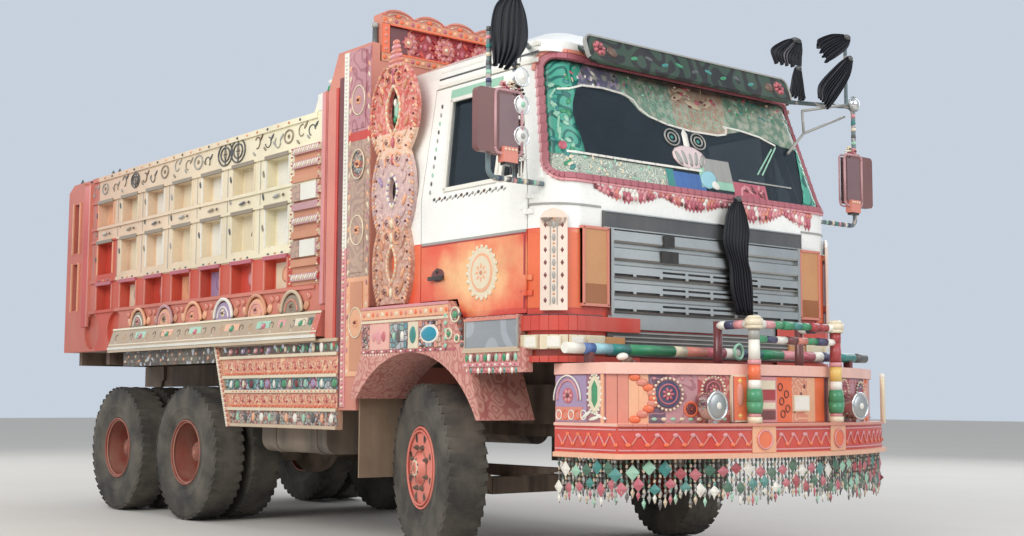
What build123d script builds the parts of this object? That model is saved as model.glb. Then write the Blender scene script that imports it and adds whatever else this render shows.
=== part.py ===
from build123d import *
import os
from math import atan2, cos, degrees, radians, sin, sqrt

os.makedirs("parts", exist_ok=True)

# Frame: origin on the ground under the middle of the truck, +X forwards, +Y to its left, +Z up.
# Every x below is written as the front axle's x plus or minus a distance.
front_axle_x = 1830
wheelbase = 3168
bogie_spacing = 1305
second_axle_x = front_axle_x - wheelbase
third_axle_x = second_axle_x - bogie_spacing
bogie_x = (second_axle_x + third_axle_x) / 2

# Clearances
seat_gap = 0.3
panel_gap = 8
moving_gap = 12

# Tyres and rims
tyre_radius = 529
tyre_width = 272
rim_radius = 254
rim_wall = 12
twin_pitch = 330
hand_holes = 8
hand_hole_at = 200
hand_hole_radius = 22
rear_outer_y = 1215
front_outer_y = 1150
steer_angle = -16

# Kingpins
kingpin_y = 860
kingpin_radius = 24
wheel_offset = front_outer_y - tyre_width / 2 - kingpin_y

# Chassis rails
rail_outer_y = 430
rail_flange = 80
rail_height = 250
rail_wall = 9
rail_top_z = 1050
rail_bottom_z = rail_top_z - rail_height
rail_front_x = front_axle_x + 1640
tail_x = front_axle_x - 5220
axle_beam = 110
axle_tube_radius = 85
diff_radius = 190

# Cab body
cab_half_width = 1235
cab_wall = 50
cab_front_x = front_axle_x + 1310
cab_back_x = front_axle_x - 380
cab_corner = 210
cab_bottom_z = 1160
cab_floor_z = 1300
cab_floor_thick = 40
belt_z = 2190
eave_z = 2960
eave_lean = 123
eave_half_width = cab_half_width - eave_lean
screen_rake = 215
roof_edge_z = 3028
roof_top_z = 3180
roof_shoulder = 330
door_rear_x = front_axle_x + 70
door_front_x = front_axle_x + 1085
door_bottom_z = 1435
door_step_z = 1548
door_step_x = front_axle_x + 445
door_top_z = 2885
window_sill_z = 2217
window_top_z = 2790
glass_thick = 6

# Door hinges: a knuckle on the door around a pin that the pillar carries
hinge_x = door_front_x + panel_gap / 2
hinge_radius = 16
hinge_pin_radius = 8
hinge_y = cab_half_width + hinge_radius
hinge_heights = (1560, 2020)
hinge_length = 56
hinge_strap = 12
hinge_reach = 55

# Fender and steps
fender_top_z = 1535
fender_arch_z = 1240
fender_reach = 55
fender_outer_y = cab_half_width + fender_reach
fender_inner_y = 880
fender_sheet = 30
step_front_x = cab_front_x - 170
step_top_z = 1427
step_hem_z = 1245
hem_bottom_z = 1105

# Bumper: its front bows forwards in plan
bumper_half_width = 1145
bumper_back_x = front_axle_x + 1222
ledge_end_x = front_axle_x + 1735
ledge_bow = 315
ledge_bottom_z = 645
ledge_thick = 25
band_top_z = 815
panel_setback = 115
panel_top_z = 1090
bumper_top_z = panel_top_z + 62
bumper_wall = 40

# Guard posts on the bumper
post_x = front_axle_x + 1975
post_y = 355
post_radius = 40
post_top_z = 1400

# Tipping body
bed_front_x = front_axle_x - 1060
bed_rear_x = front_axle_x - 5700
bed_half_width = 1220
bed_wall = 105
pocket_depth = 80
bed_bottom_z = 1375
bed_top_z = 2945
bed_floor_thick = 45
bearer_height = 120
sill_bottom_z = rail_top_z + 15
bed_pivot_x = front_axle_x - 5300
bed_pivot_z = 1015
bed_pin_radius = 25
bed_boss_radius = 38
ledge_board_top_z = 1550
ledge_board_y = 1300

# Hoist: barrel pivot on the chassis, rod eye under the body
hoist_foot_x = front_axle_x - 3700
hoist_foot_z = 770
hoist_eye_x = front_axle_x - 2100
hoist_eye_z = 1220
hoist_radius = 85
hoist_rod_radius = 52
hoist_eye_width = 60
hoist_pin_radius = 22
turning_gap = 0.8
pipe_turn_x = front_axle_x - 740

# Headboard and crown behind the cab
board_front_x = front_axle_x - 500
board_rear_x = front_axle_x - 1035
board_half_width = cab_half_width + 5
board_wall = 60
board_bottom_z = 880
board_top_z = 3300
crown_bottom_z = 3180
crown_top_z = 3550
crown_half_width = board_half_width - 70
crown_thick = 100
crown_recess = 40
crown_border = 65
crown_bosses = 7
crest_arches = 9
crest_rise = 45

# Skirts between the wheels
skirt_front_x = front_axle_x - 850
skirt_rear_x = front_axle_x - 2370
skirt_rear_top_x = front_axle_x - 2600
skirt_top_z = 1360
skirt_bottom_z = 750
skirt_outer_y = 1245
skirt_thick = 40

# Mirrors
mirror_x = front_axle_x + 1200
mirror_stand_off = 185
mirror_tube_y = cab_half_width + mirror_stand_off
mirror_tube_radius = 15
pole_radius = mirror_tube_radius - 2
mirror_half_height = 175
mirror_mid_z = 2450
mirror_width = 245
mirror_frame_width = 185
mirror_outer_y = mirror_tube_y + mirror_frame_width
mirror_thick = 45
mirror_corner = 30
mirror_pole_z = 3150
arm_z = 2150
frame_top_z = 2980
lamp_heights = (2385, 2560, 2715)
lamp_radius = 52
lamp_depth = 60


def side_plane(y):
    """Sketch plane seen from the truck's right: local x is X, local y is Z, normal is -Y."""
    return Plane(origin=(0, y, 0), x_dir=(1, 0, 0), z_dir=(0, -1, 0))


def front_plane(x):
    """Sketch plane seen from the front: local x is Y, local y is Z, normal is +X."""
    return Plane(origin=(x, 0, 0), x_dir=(0, 1, 0), z_dir=(1, 0, 0))


def block(x_from, x_to, y_from, y_to, z_from, z_to, mode=Mode.ADD):
    """Box between two corners, added to the part that is open."""
    middle = ((x_from + x_to) / 2, (y_from + y_to) / 2, (z_from + z_to) / 2)
    with Locations(middle):
        Box(x_to - x_from, y_to - y_from, z_to - z_from, mode=mode)


def side_shape(points, y_from, y_to, mode=Mode.ADD):
    """Polygon of (x, z) points, carried from one y to another."""
    with BuildSketch(side_plane(y_to)) as outline:
        with BuildLine():
            Polyline(*points, close=True)
        make_face()
    extrude(outline.sketch, amount=y_to - y_from, mode=mode)


def front_shape(points, x_from, x_to, mode=Mode.ADD):
    """Polygon of (y, z) points, carried from one x to another."""
    with BuildSketch(front_plane(x_from)) as outline:
        with BuildLine():
            Polyline(*points, close=True)
        make_face()
    extrude(outline.sketch, amount=x_to - x_from, mode=mode)


def rod(start, end, radius):
    """Round bar between two points, added to the part that is open."""
    way = Vector(*end) - Vector(*start)
    with BuildSketch(Plane(origin=start, z_dir=way)) as disc:
        Circle(radius)
    extrude(disc.sketch, amount=way.length)




def save(builder, label):
    builder.part.label = label
    export_step(builder.part, "parts/" + label + ".step")


# Chassis rails, joined by their cross members
channel = (
    (rail_outer_y, rail_bottom_z),
    (rail_outer_y, rail_top_z),
    (rail_outer_y - rail_flange, rail_top_z),
    (rail_outer_y - rail_flange, rail_top_z - rail_wall),
    (rail_outer_y - rail_wall, rail_top_z - rail_wall),
    (rail_outer_y - rail_wall, rail_bottom_z + rail_wall),
    (rail_outer_y - rail_flange, rail_bottom_z + rail_wall),
    (rail_outer_y - rail_flange, rail_bottom_z),
)
cross_member_x = (
    front_axle_x + 1250,
    front_axle_x - 1090,
    front_axle_x - 1600,
    front_axle_x - 2350,
    tail_x + 60,
)
cross_half_length = 40
cross_bottom_z = rail_bottom_z + 145
cross_top_z = rail_top_z - 15
web_y = rail_outer_y - rail_wall
lamp_bar_height = 70
lamp_bar_half_width = 1080
bogie_mount_half = 90


def bow_x(y, setback, half_width):
    """Front of the bumper at a distance y from its middle, `setback` behind the ledge."""
    radius = (half_width**2 + ledge_bow**2) / (2 * ledge_bow)
    return ledge_end_x - setback + ledge_bow - radius + sqrt(radius**2 - y**2)


hoist_tube_radius = 45
horn_bottom_z = rail_bottom_z + 40
horn_top_z = rail_top_z - 40
with BuildPart() as chassis_frame:
    front_shape(channel, tail_x, rail_front_x)
    mirror(about=Plane.XZ)
    for x in cross_member_x:
        block(x - cross_half_length, x + cross_half_length, -web_y, web_y, cross_bottom_z, cross_top_z)
    # Tube between the rails at the bogie, which also carries the hoist's foot
    with BuildSketch(side_plane(web_y)):
        with Locations((bogie_x, rail_bottom_z + 70)):
            Circle(hoist_tube_radius)
    extrude(amount=2 * web_y)
    # Bumper horns ahead of the rails
    horn_front_x = bow_x(rail_outer_y, panel_setback + bumper_wall, bumper_half_width - bumper_wall) - seat_gap
    for side in (-1, 1):
        y = side * (rail_outer_y - rail_flange / 2)
        block(rail_front_x, horn_front_x, y - rail_flange / 2, y + rail_flange / 2, horn_bottom_z, horn_top_z)
    # Hinge bosses at the tail and the lamp bar hung from it
    for side in (-1, 1):
        y = side * (rail_outer_y - rail_flange / 2)
        block(bed_pivot_x, tail_x, y - 36, y + 36, bed_pivot_z - bed_boss_radius + 2, bed_pivot_z + 20)
        with BuildSketch(side_plane(y + 36)):
            with Locations((bed_pivot_x, bed_pivot_z)):
                Circle(bed_boss_radius)
        extrude(amount=72)
    block(tail_x, tail_x + 60, -lamp_bar_half_width, lamp_bar_half_width,
          rail_bottom_z - lamp_bar_height, rail_bottom_z)
    with BuildSketch(side_plane(rail_outer_y + 10)):
        with Locations((bed_pivot_x, bed_pivot_z)):
            Circle(bed_pin_radius + seat_gap)
    extrude(amount=2 * rail_outer_y + 20, mode=Mode.SUBTRACT)
    # Ears for the hoist's foot
    for y in (-75, 55):
        side_shape(((bogie_x - 60, rail_bottom_z + 20), (bogie_x - 45, rail_bottom_z + 65),
                    (bogie_x + 40, rail_bottom_z + 65), (bogie_x + 60, rail_bottom_z + 20),
                    (hoist_foot_x + 36, hoist_foot_z + 30), (hoist_foot_x + 36, hoist_foot_z - 36),
                    (hoist_foot_x - 30, hoist_foot_z - 45)), y, y + 20)
    with BuildSketch(side_plane(100)):
        with Locations((hoist_foot_x, hoist_foot_z)):
            Circle(hoist_pin_radius + turning_gap)
    extrude(amount=200, mode=Mode.SUBTRACT)
save(chassis_frame, "chassis_frame")

# Axle beams: the front one ends in kingpin eyes, the rear ones in spindles
beam_half_height = axle_beam / 2
axle_z = tyre_radius
beam_z = axle_z - 120
nose_radius = 62
nose_reach = diff_radius + 70
eye_radius = 48
eye_height = 90
spindle_radius = 45
rear_spindle_y = 540
shaft_rise = 20
with BuildPart() as axles:
    block(front_axle_x - 45, front_axle_x + 45, -640, 640, beam_z - beam_half_height, beam_z + beam_half_height)
    for side in (-1, 1):
        rise_y = kingpin_y - eye_radius - 18
        front_shape(((side * 640, beam_z - beam_half_height), (side * 640, beam_z + beam_half_height),
                     (side * rise_y, axle_z + eye_height / 2), (side * kingpin_y, axle_z + eye_height / 2),
                     (side * kingpin_y, axle_z - eye_height / 2), (side * rise_y, axle_z - eye_height / 2)),
                    front_axle_x - 40, front_axle_x + 40)
        with BuildSketch(Plane.XY.offset(axle_z - eye_height / 2)):
            with Locations((front_axle_x, side * kingpin_y)):
                Circle(eye_radius)
        extrude(amount=eye_height)
        with BuildSketch(Plane.XY.offset(axle_z - eye_height)):
            with Locations((front_axle_x, side * kingpin_y)):
                Circle(kingpin_radius + seat_gap)
        extrude(amount=2 * eye_height, mode=Mode.SUBTRACT)
    for x in (second_axle_x, third_axle_x):
        rod((x, -rear_spindle_y, axle_z), (x, rear_spindle_y, axle_z), axle_tube_radius)
        rod((x, -1060, axle_z), (x, 1060, axle_z), spindle_radius)
        with Locations((x, 0, axle_z)):
            Sphere(diff_radius)
        rod((x, 0, axle_z + shaft_rise), (x + nose_reach, 0, axle_z + shaft_rise), nose_radius)
    rod((second_axle_x, 0, axle_z + shaft_rise), (second_axle_x - nose_reach, 0, axle_z + shaft_rise), nose_radius)
save(axles, "axles")

# Leaf springs: packs of leaves, each shorter than the one above it
spring_width = 76
spring_y = rail_outer_y + spring_width / 2
leaf = 14
front_spring_half = 620
rear_spring_half = bogie_spacing / 2 - 30
with BuildPart() as leaf_springs:
    for side in (-1, 1):
        y_from = side * spring_y - spring_width / 2
        y_to = side * spring_y + spring_width / 2
        seat = beam_z + beam_half_height
        for step in range(5):
            half = front_spring_half - 110 * step
            block(front_axle_x - half, front_axle_x + half, y_from, y_to,
                  seat + leaf * (4 - step), seat + leaf * (5 - step))
        for end in (-1, 1):
            x = front_axle_x + end * (front_spring_half - 30)
            block(x - 30, x + 30, y_from, y_to, seat + leaf * 5, rail_bottom_z + 60)
        seat = axle_z + axle_tube_radius
        for step in range(7):
            half = rear_spring_half + 30 - 85 * step
            block(bogie_x - half, bogie_x + half, y_from, y_to,
                  seat + leaf * step, seat + leaf * (step + 1))
        block(bogie_x - bogie_mount_half, bogie_x + bogie_mount_half, y_from, y_to,
              seat + leaf * 7, rail_bottom_z + 100)
save(leaf_springs, "leaf_springs")

# Engine and gearbox as one plain mass
gearbox_back_x = front_axle_x - 1000
gearbox_half_width = 200
engine_bottom_z = 720
with BuildPart() as engine_block:
    block(front_axle_x - 350, front_axle_x + 900, -330, 330, engine_bottom_z, cab_floor_z - 30)
    block(gearbox_back_x, front_axle_x - 350, -gearbox_half_width, gearbox_half_width, engine_bottom_z, 1020)
save(engine_block, "engine_block")

# Propeller shafts with round joints at both ends: gearbox to second axle, second axle to third
joint_radius = 52
shaft_z = axle_z + shaft_rise
shaft_runs = (
    ((gearbox_back_x - joint_radius - seat_gap, 860), (second_axle_x + nose_reach + joint_radius + seat_gap, shaft_z)),
    ((second_axle_x - nose_reach - joint_radius - seat_gap, shaft_z),
     (third_axle_x + nose_reach + joint_radius + seat_gap, shaft_z)),
)
with BuildPart() as propshafts:
    for (x_from, z_from), (x_to, z_to) in shaft_runs:
        rod((x_from, 0, z_from), (x_to, 0, z_to), 38)
        with Locations((x_from, 0, z_from), (x_to, 0, z_to)):
            Sphere(joint_radius)
save(propshafts, "propshafts")

# Fuel tank on the right and its bracket to the rail
tank_z = 780
with BuildPart() as fuel_tank:
    with BuildSketch(front_plane(front_axle_x - 2150)):
        with Locations((-820, tank_z)):
            RectangleRounded(520, 420, 90)
    extrude(amount=900)
    for x in (front_axle_x - 2000, front_axle_x - 1430):
        with BuildSketch(front_plane(x)) as strap:
            with Locations((-820, tank_z)):
                RectangleRounded(532, 432, 96)
        extrude(strap.sketch, amount=60)
    with BuildSketch(Plane(origin=(front_axle_x - 1330, -960, tank_z + 200))) as filler:
        Circle(50)
    extrude(filler.sketch, amount=55)
    for x in (front_axle_x - 2050, front_axle_x - 1400):
        block(x - 30, x + 30, -600, -rail_outer_y, rail_bottom_z + 40, rail_bottom_z + 120)
save(fuel_tank, "fuel_tank")

# Exhaust: silencer on the left with its pipes
silencer_z = 748
silencer_y = 700
pipe_radius = 38
with BuildPart() as exhaust:
    rod((front_axle_x - 2100, silencer_y, silencer_z), (front_axle_x - 1100, silencer_y, silencer_z), 130)
    rod((front_axle_x - 1100, silencer_y, silencer_z), (pipe_turn_x + 30, silencer_y, silencer_z), pipe_radius)
    rod((pipe_turn_x, silencer_y + 60, silencer_z), (pipe_turn_x, gearbox_half_width, silencer_z), pipe_radius + 6)
    rod((front_axle_x - 2400, silencer_y, silencer_z), (front_axle_x - 2100, silencer_y, silencer_z), pipe_radius)
    for x in (front_axle_x - 1900, front_axle_x - 1300):
        block(x - 25, x + 25, rail_outer_y, silencer_y, silencer_z + 80, silencer_z + 150)
save(exhaust, "exhaust")

# Mud flaps behind the front wheels
flap_top_z = 957
with BuildPart() as mud_flaps:
    block(front_axle_x - 632, front_axle_x - 620, -1220, -fender_inner_y, 445, flap_top_z - seat_gap)
    mirror(about=Plane.XZ)
save(mud_flaps, "mud_flaps")


# Cab walls follow one cross-section: upright to the belt, then leaning in to the eaves
def wall_section(side, depth, thick):
    """(y, z) outline of the cab's side wall, from `depth` inside its face, `thick` deep."""
    low_outer = cab_half_width - depth
    low_inner = low_outer - thick
    top_outer = eave_half_width - depth
    top_inner = top_outer - thick
    return (
        (side * low_outer, cab_floor_z),
        (side * low_outer, belt_z),
        (side * top_outer, eave_z),
        (side * top_inner, eave_z),
        (side * low_inner, belt_z),
        (side * low_inner, cab_floor_z),
    )


def side_span(side):
    """The y range that reaches through one side wall."""
    return (-cab_half_width - 5, -900) if side < 0 else (900, cab_half_width + 5)


pillar_slope = screen_rake / (eave_z - belt_z)


def pillar_x(z):
    """Line of the door's front edge above the belt."""
    return door_front_x - pillar_slope * max(0, z - belt_z)


# Cab floor with sills and its mounts on the rails
sill_top_z = door_bottom_z - panel_gap
mount_half = 60
with BuildPart() as cab_floor:
    with BuildSketch(Plane.XY.offset(cab_floor_z)) as floor_plan:
        with Locations(((cab_back_x + cab_front_x - cab_wall) / 2, 0)):
            Rectangle(cab_front_x - cab_wall - cab_back_x, 2 * (cab_half_width - cab_wall))
        fillet(floor_plan.vertices().group_by(Axis.X)[-1], radius=cab_corner - cab_wall)
    extrude(amount=cab_floor_thick)
    for side in (-1, 1):
        y_in, y_out = side * (cab_half_width - cab_wall), side * cab_half_width
        block(door_rear_x, door_front_x, min(y_in, y_out), max(y_in, y_out), cab_floor_z, sill_top_z)
        for x in (front_axle_x - 250, front_axle_x + 1050):
            y = side * (rail_outer_y - rail_flange / 2)
            block(x - mount_half, x + mount_half, y - 35, y + 35, rail_top_z, cab_floor_z)
save(cab_floor, "cab_floor")

# Cab back with the side walls behind the doors
with BuildPart() as cab_back:
    front_shape(((-cab_half_width, cab_floor_z + cab_floor_thick), (cab_half_width, cab_floor_z + cab_floor_thick),
                 (cab_half_width, belt_z), (eave_half_width, eave_z), (-eave_half_width, eave_z),
                 (-cab_half_width, belt_z)), cab_back_x, cab_back_x + cab_wall)
    for side in (-1, 1):
        front_shape(wall_section(side, 0, cab_wall), cab_back_x + cab_wall, door_rear_x - panel_gap)
    block(cab_back_x, door_rear_x, -cab_half_width, cab_half_width,
          cab_floor_z - 1, cab_floor_z + cab_floor_thick, mode=Mode.SUBTRACT)
    block(cab_back_x - 1, cab_back_x + cab_wall + 1, -430, 430, 2300, 2640, mode=Mode.SUBTRACT)
save(cab_back, "cab_back")


def nose_plan(z, front, half_width, back, corner):
    """Plan of the cab's nose at height z: square behind, rounded at both front corners."""
    with BuildSketch(Plane.XY.offset(z)) as plan:
        with Locations(((back + front) / 2, 0)):
            Rectangle(front - back, 2 * half_width)
        fillet(plan.vertices().group_by(Axis.X)[-1], radius=corner)
    return plan.sketch


nose_back_x = door_front_x + panel_gap


def lower_nose(depth, mode):
    """Upright part of the nose, `depth` inside its face."""
    plan = nose_plan(cab_bottom_z, cab_front_x - depth, cab_half_width - depth, nose_back_x, cab_corner - depth)
    extrude(plan, amount=belt_z - cab_bottom_z, mode=mode)


def upper_nose(depth, mode):
    """Raked part of the nose, `depth` inside its face."""
    low = nose_plan(belt_z, cab_front_x - depth, cab_half_width - depth, nose_back_x, cab_corner - depth)
    high = nose_plan(eave_z, cab_front_x - screen_rake - depth, eave_half_width - depth,
                     nose_back_x - screen_rake, cab_corner - depth)
    loft((low, high), mode=mode)


# Grille, name strip and trims on the nose
grille_half_width = 830
grille_bottom_z = 1428
grille_top_z = 1925
grille_depth = 35
strip_half_width = 870
strip_top_z = 2019
strip_depth = 14
trim_depth = 18
trim_bottom_z = 1355
band_rows = (
    # bottom, top, how far it stands out, half width left free in the middle
    (1335, 1415, 30, 600),
    (1231, 1309, 34, 880),
    (1160, 1192, 26, 600),
)
panel_out = 22
corner_panel = (846, 1030, 1480, 1915)
panel_rim = 14
panel_slats = 7
vane_width = 150
vane_bottom_z = 1443
vane_top_z = 2010
vane_off = 15
vane_thick = 14


def nose_band(bottom, top, proud, middle_half):
    """Band round the nose, `proud` of its face and open over the middle."""
    with BuildPart(mode=Mode.PRIVATE) as band:
        extrude(nose_plan(bottom, cab_front_x + proud, cab_half_width + proud, nose_back_x, cab_corner + proud),
                amount=top - bottom)
        extrude(nose_plan(bottom - 1, cab_front_x - proud, cab_half_width - proud, nose_back_x - 1,
                          cab_corner - proud), amount=top - bottom + 2, mode=Mode.SUBTRACT)
        block(cab_front_x - 2 * proud, cab_front_x + proud + 1, -middle_half, middle_half, bottom - 1, top + 1,
              mode=Mode.SUBTRACT)
        block(nose_back_x - 1, step_front_x + panel_gap, -fender_outer_y, fender_outer_y, bottom - 1, top + 1,
              mode=Mode.SUBTRACT)
    add(band.part)


def corner_plane(side, reach):
    """Plane across the nose's corner at 45 degrees, `reach` from the corner's own axis."""
    outward = Vector(1, side, 0).normalized()
    corner = Vector(cab_front_x - cab_corner, side * (cab_half_width - cab_corner), (vane_bottom_z + vane_top_z) / 2)
    return Plane(origin=corner + outward * reach, x_dir=(-outward.Y, outward.X, 0), z_dir=outward)


# Cab front: rounded nose panel, raked windscreen frame above it
screen_bottom_z = 2205
screen_top_z = 2925
screen_bottom_half = cab_half_width - 38
screen_top_half = eave_half_width - 30
screen_corner = 80
screen_outline = ((-screen_bottom_half, screen_bottom_z), (screen_bottom_half, screen_bottom_z),
                  (screen_top_half, screen_top_z), (-screen_top_half, screen_top_z))


def screen_shape(mode):
    """Outline of the windscreen seen from ahead, carried through the nose."""
    with BuildSketch(front_plane(cab_front_x - 500)) as outline:
        with BuildLine():
            Polyline(*screen_outline, close=True)
        make_face()
        fillet(outline.vertices(), radius=screen_corner)
    extrude(outline.sketch, amount=510, mode=mode)


with BuildPart() as cab_front:
    lower_nose(0, Mode.ADD)
    upper_nose(0, Mode.ADD)
    lower_nose(cab_wall, Mode.SUBTRACT)
    upper_nose(cab_wall, Mode.SUBTRACT)
    screen_shape(Mode.SUBTRACT)
    # Name strip, lower trim, bands round the corners and the corner panels with their slats
    block(cab_front_x - 1, cab_front_x + strip_depth, -strip_half_width, strip_half_width,
          grille_top_z + seat_gap, strip_top_z)
    block(cab_front_x - 1, cab_front_x + trim_depth, -grille_half_width, grille_half_width,
          trim_bottom_z, grille_bottom_z - seat_gap)
    for bottom, top, proud, middle_half in band_rows:
        nose_band(bottom, top, proud, middle_half)
    near_y, far_y, low_z, high_z = corner_panel
    block(cab_front_x - 1, cab_front_x + panel_out, near_y - 8, far_y + 8, low_z - 8, high_z + 8)
    block(cab_front_x + panel_out - 12, cab_front_x + panel_out + 1, near_y + panel_rim - 8, far_y - panel_rim + 8,
          low_z + panel_rim - 8, high_z - panel_rim + 8, mode=Mode.SUBTRACT)
    slat_pitch = (high_z - low_z - 150) / panel_slats
    for slat in range(panel_slats):
        z = low_z + 130 + slat * slat_pitch
        block(cab_front_x + panel_out - 13, cab_front_x + panel_out - 4, near_y, far_y, z, z + 12)
    # Upright vane on two feet at the corner
    for z in (-170, 170):
        with BuildSketch(corner_plane(1, cab_corner - 20)) as foot:
            with Locations((0, z)):
                Rectangle(60, 40)
        extrude(foot.sketch, amount=20 + vane_off + 1)
    with BuildSketch(corner_plane(1, cab_corner + vane_off)) as vane:
        RectangleRounded(vane_width, vane_top_z - vane_bottom_z, 45)
    extrude(vane.sketch, amount=vane_thick)
    # Hinge pins with a strap above and below each door knuckle
    for z in hinge_heights:
        rod((hinge_x, hinge_y, z - 30), (hinge_x, hinge_y, z + hinge_length + 30), hinge_pin_radius)
        for z_from in (z - 30, z + hinge_length + 1):
            rod((hinge_x, hinge_y, z_from), (hinge_x, hinge_y, z_from + 29), hinge_radius)
            block(hinge_x, hinge_x + hinge_reach, cab_half_width - 20, cab_half_width + hinge_strap,
                  z_from, z_from + 29)
    split(bisect_by=Plane.XZ, keep=Keep.BOTTOM)
    mirror(about=Plane.XZ)
save(cab_front, "cab_front")

# Windscreen, bent to the same nose
screen_depth = 20
with BuildPart() as windscreen:
    upper_nose(screen_depth, Mode.ADD)
    upper_nose(screen_depth + glass_thick, Mode.SUBTRACT)
    screen_shape(Mode.INTERSECT)
save(windscreen, "windscreen")

# Cab roof: rails over the doors and a shallow vault
roof_front_x = cab_front_x - screen_rake
roof_wall = 45
with BuildPart() as cab_roof:
    with BuildSketch(Plane.XY.offset(eave_z)):
        with Locations(((cab_back_x + roof_front_x) / 2, 0)):
            RectangleRounded(roof_front_x - cab_back_x, 2 * eave_half_width, 120)
    extrude(amount=roof_edge_z - eave_z)
    with BuildSketch(Plane.XY.offset(roof_edge_z)):
        with Locations(((cab_back_x + roof_front_x) / 2, 0)):
            RectangleRounded(roof_front_x - cab_back_x, 2 * eave_half_width, 120)
    with BuildSketch(Plane.XY.offset(roof_top_z)):
        with Locations(((cab_back_x + roof_front_x) / 2 - 100, 0)):
            RectangleRounded(roof_front_x - cab_back_x - 360, 2 * (eave_half_width - roof_shoulder), 120)
    loft()
    with BuildSketch(Plane.XY.offset(eave_z)):
        with Locations(((cab_back_x + roof_front_x) / 2, 0)):
            RectangleRounded(roof_front_x - cab_back_x - 2 * roof_wall, 2 * (eave_half_width - roof_wall), 80)
    with BuildSketch(Plane.XY.offset(roof_top_z - roof_wall)):
        with Locations(((cab_back_x + roof_front_x) / 2 - 100, 0)):
            RectangleRounded(roof_front_x - cab_back_x - 360 - 2 * roof_wall,
                             2 * (eave_half_width - roof_shoulder - roof_wall), 80)
    loft(mode=Mode.SUBTRACT)
    for side in (-1, 1):
        front_shape(wall_section(side, 0, cab_wall), door_rear_x - panel_gap, door_front_x - screen_rake)
        y_from, y_to = side_span(side)
        block(cab_back_x, cab_front_x, y_from, y_to, cab_floor_z - 1, door_top_z + panel_gap, mode=Mode.SUBTRACT)
save(cab_roof, "cab_roof")


def door_outline(inset):
    """(x, z) outline of the door, drawn in by `inset` where it meets the cab."""
    low = door_bottom_z + inset
    return (
        (door_step_x + 55, low),
        (door_front_x - inset, low),
        (door_front_x - inset, belt_z),
        (pillar_x(door_top_z) - inset, door_top_z - inset),
        (door_rear_x + inset, door_top_z - inset),
        (door_rear_x + inset, door_step_z + inset),
        (door_step_x, door_step_z + inset),
    )


vent_rear_x = door_front_x - 245
vent_top_z = window_top_z - 90
divider = 40
window_outlines = (
    ((door_rear_x + 235, window_sill_z), (vent_rear_x - divider, window_sill_z),
     (vent_rear_x - divider, window_top_z), (door_rear_x + 185, window_top_z)),
    ((vent_rear_x, window_sill_z), (door_front_x - 55, window_sill_z),
     (pillar_x(vent_top_z) - 60, vent_top_z), (vent_rear_x, vent_top_z)),
)
handle_x = front_axle_x + 246
handle_z = 1683


def make_door(side):
    """Door leaf with its window cut."""
    y_from, y_to = side_span(side)
    with BuildPart() as leaf_part:
        front_shape(wall_section(side, 0, cab_wall), door_rear_x, door_front_x)
        side_shape(door_outline(0), y_from, y_to, mode=Mode.INTERSECT)
        for window in window_outlines:
            side_shape(window, y_from, y_to, mode=Mode.SUBTRACT)
        # Handle with its two feet
        y_near, y_far = side * (cab_half_width + 12), side * (cab_half_width + 24)
        block(handle_x - 75, handle_x + 75, min(y_near, y_far), max(y_near, y_far), handle_z - 11, handle_z + 11)
        for x in (handle_x - 60, handle_x + 60):
            y_skin = side * cab_half_width
            block(x - 12, x + 12, min(y_skin, y_far), max(y_skin, y_far), handle_z - 9, handle_z + 9)
        for z in hinge_heights:
            y_skin, y_strap = side * cab_half_width, side * (cab_half_width + hinge_strap)
            block(hinge_x - hinge_reach, hinge_x, min(y_skin, y_strap), max(y_skin, y_strap), z, z + hinge_length)
            rod((hinge_x, side * hinge_y, z), (hinge_x, side * hinge_y, z + hinge_length), hinge_radius)
            with BuildSketch(Plane.XY.offset(z)) as bore:
                with Locations((hinge_x, side * hinge_y)):
                    Circle(hinge_pin_radius + seat_gap)
            extrude(bore.sketch, amount=hinge_length, mode=Mode.SUBTRACT)
    return leaf_part


def make_door_glass(side):
    """Window pane in the middle of the leaf's thickness."""
    y_from, y_to = side_span(side)
    with BuildPart() as panes:
        for window in window_outlines:
            with BuildPart(mode=Mode.PRIVATE) as pane:
                front_shape(wall_section(side, cab_wall / 2 - glass_thick / 2, glass_thick),
                            door_rear_x, door_front_x)
                side_shape(window, y_from, y_to, mode=Mode.INTERSECT)
            add(pane.part)
    return panes


for side, word in ((-1, "right"), (1, "left")):
    save(make_door(side), "door_" + word)
    save(make_door_glass(side), "door_glass_" + word)

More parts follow.
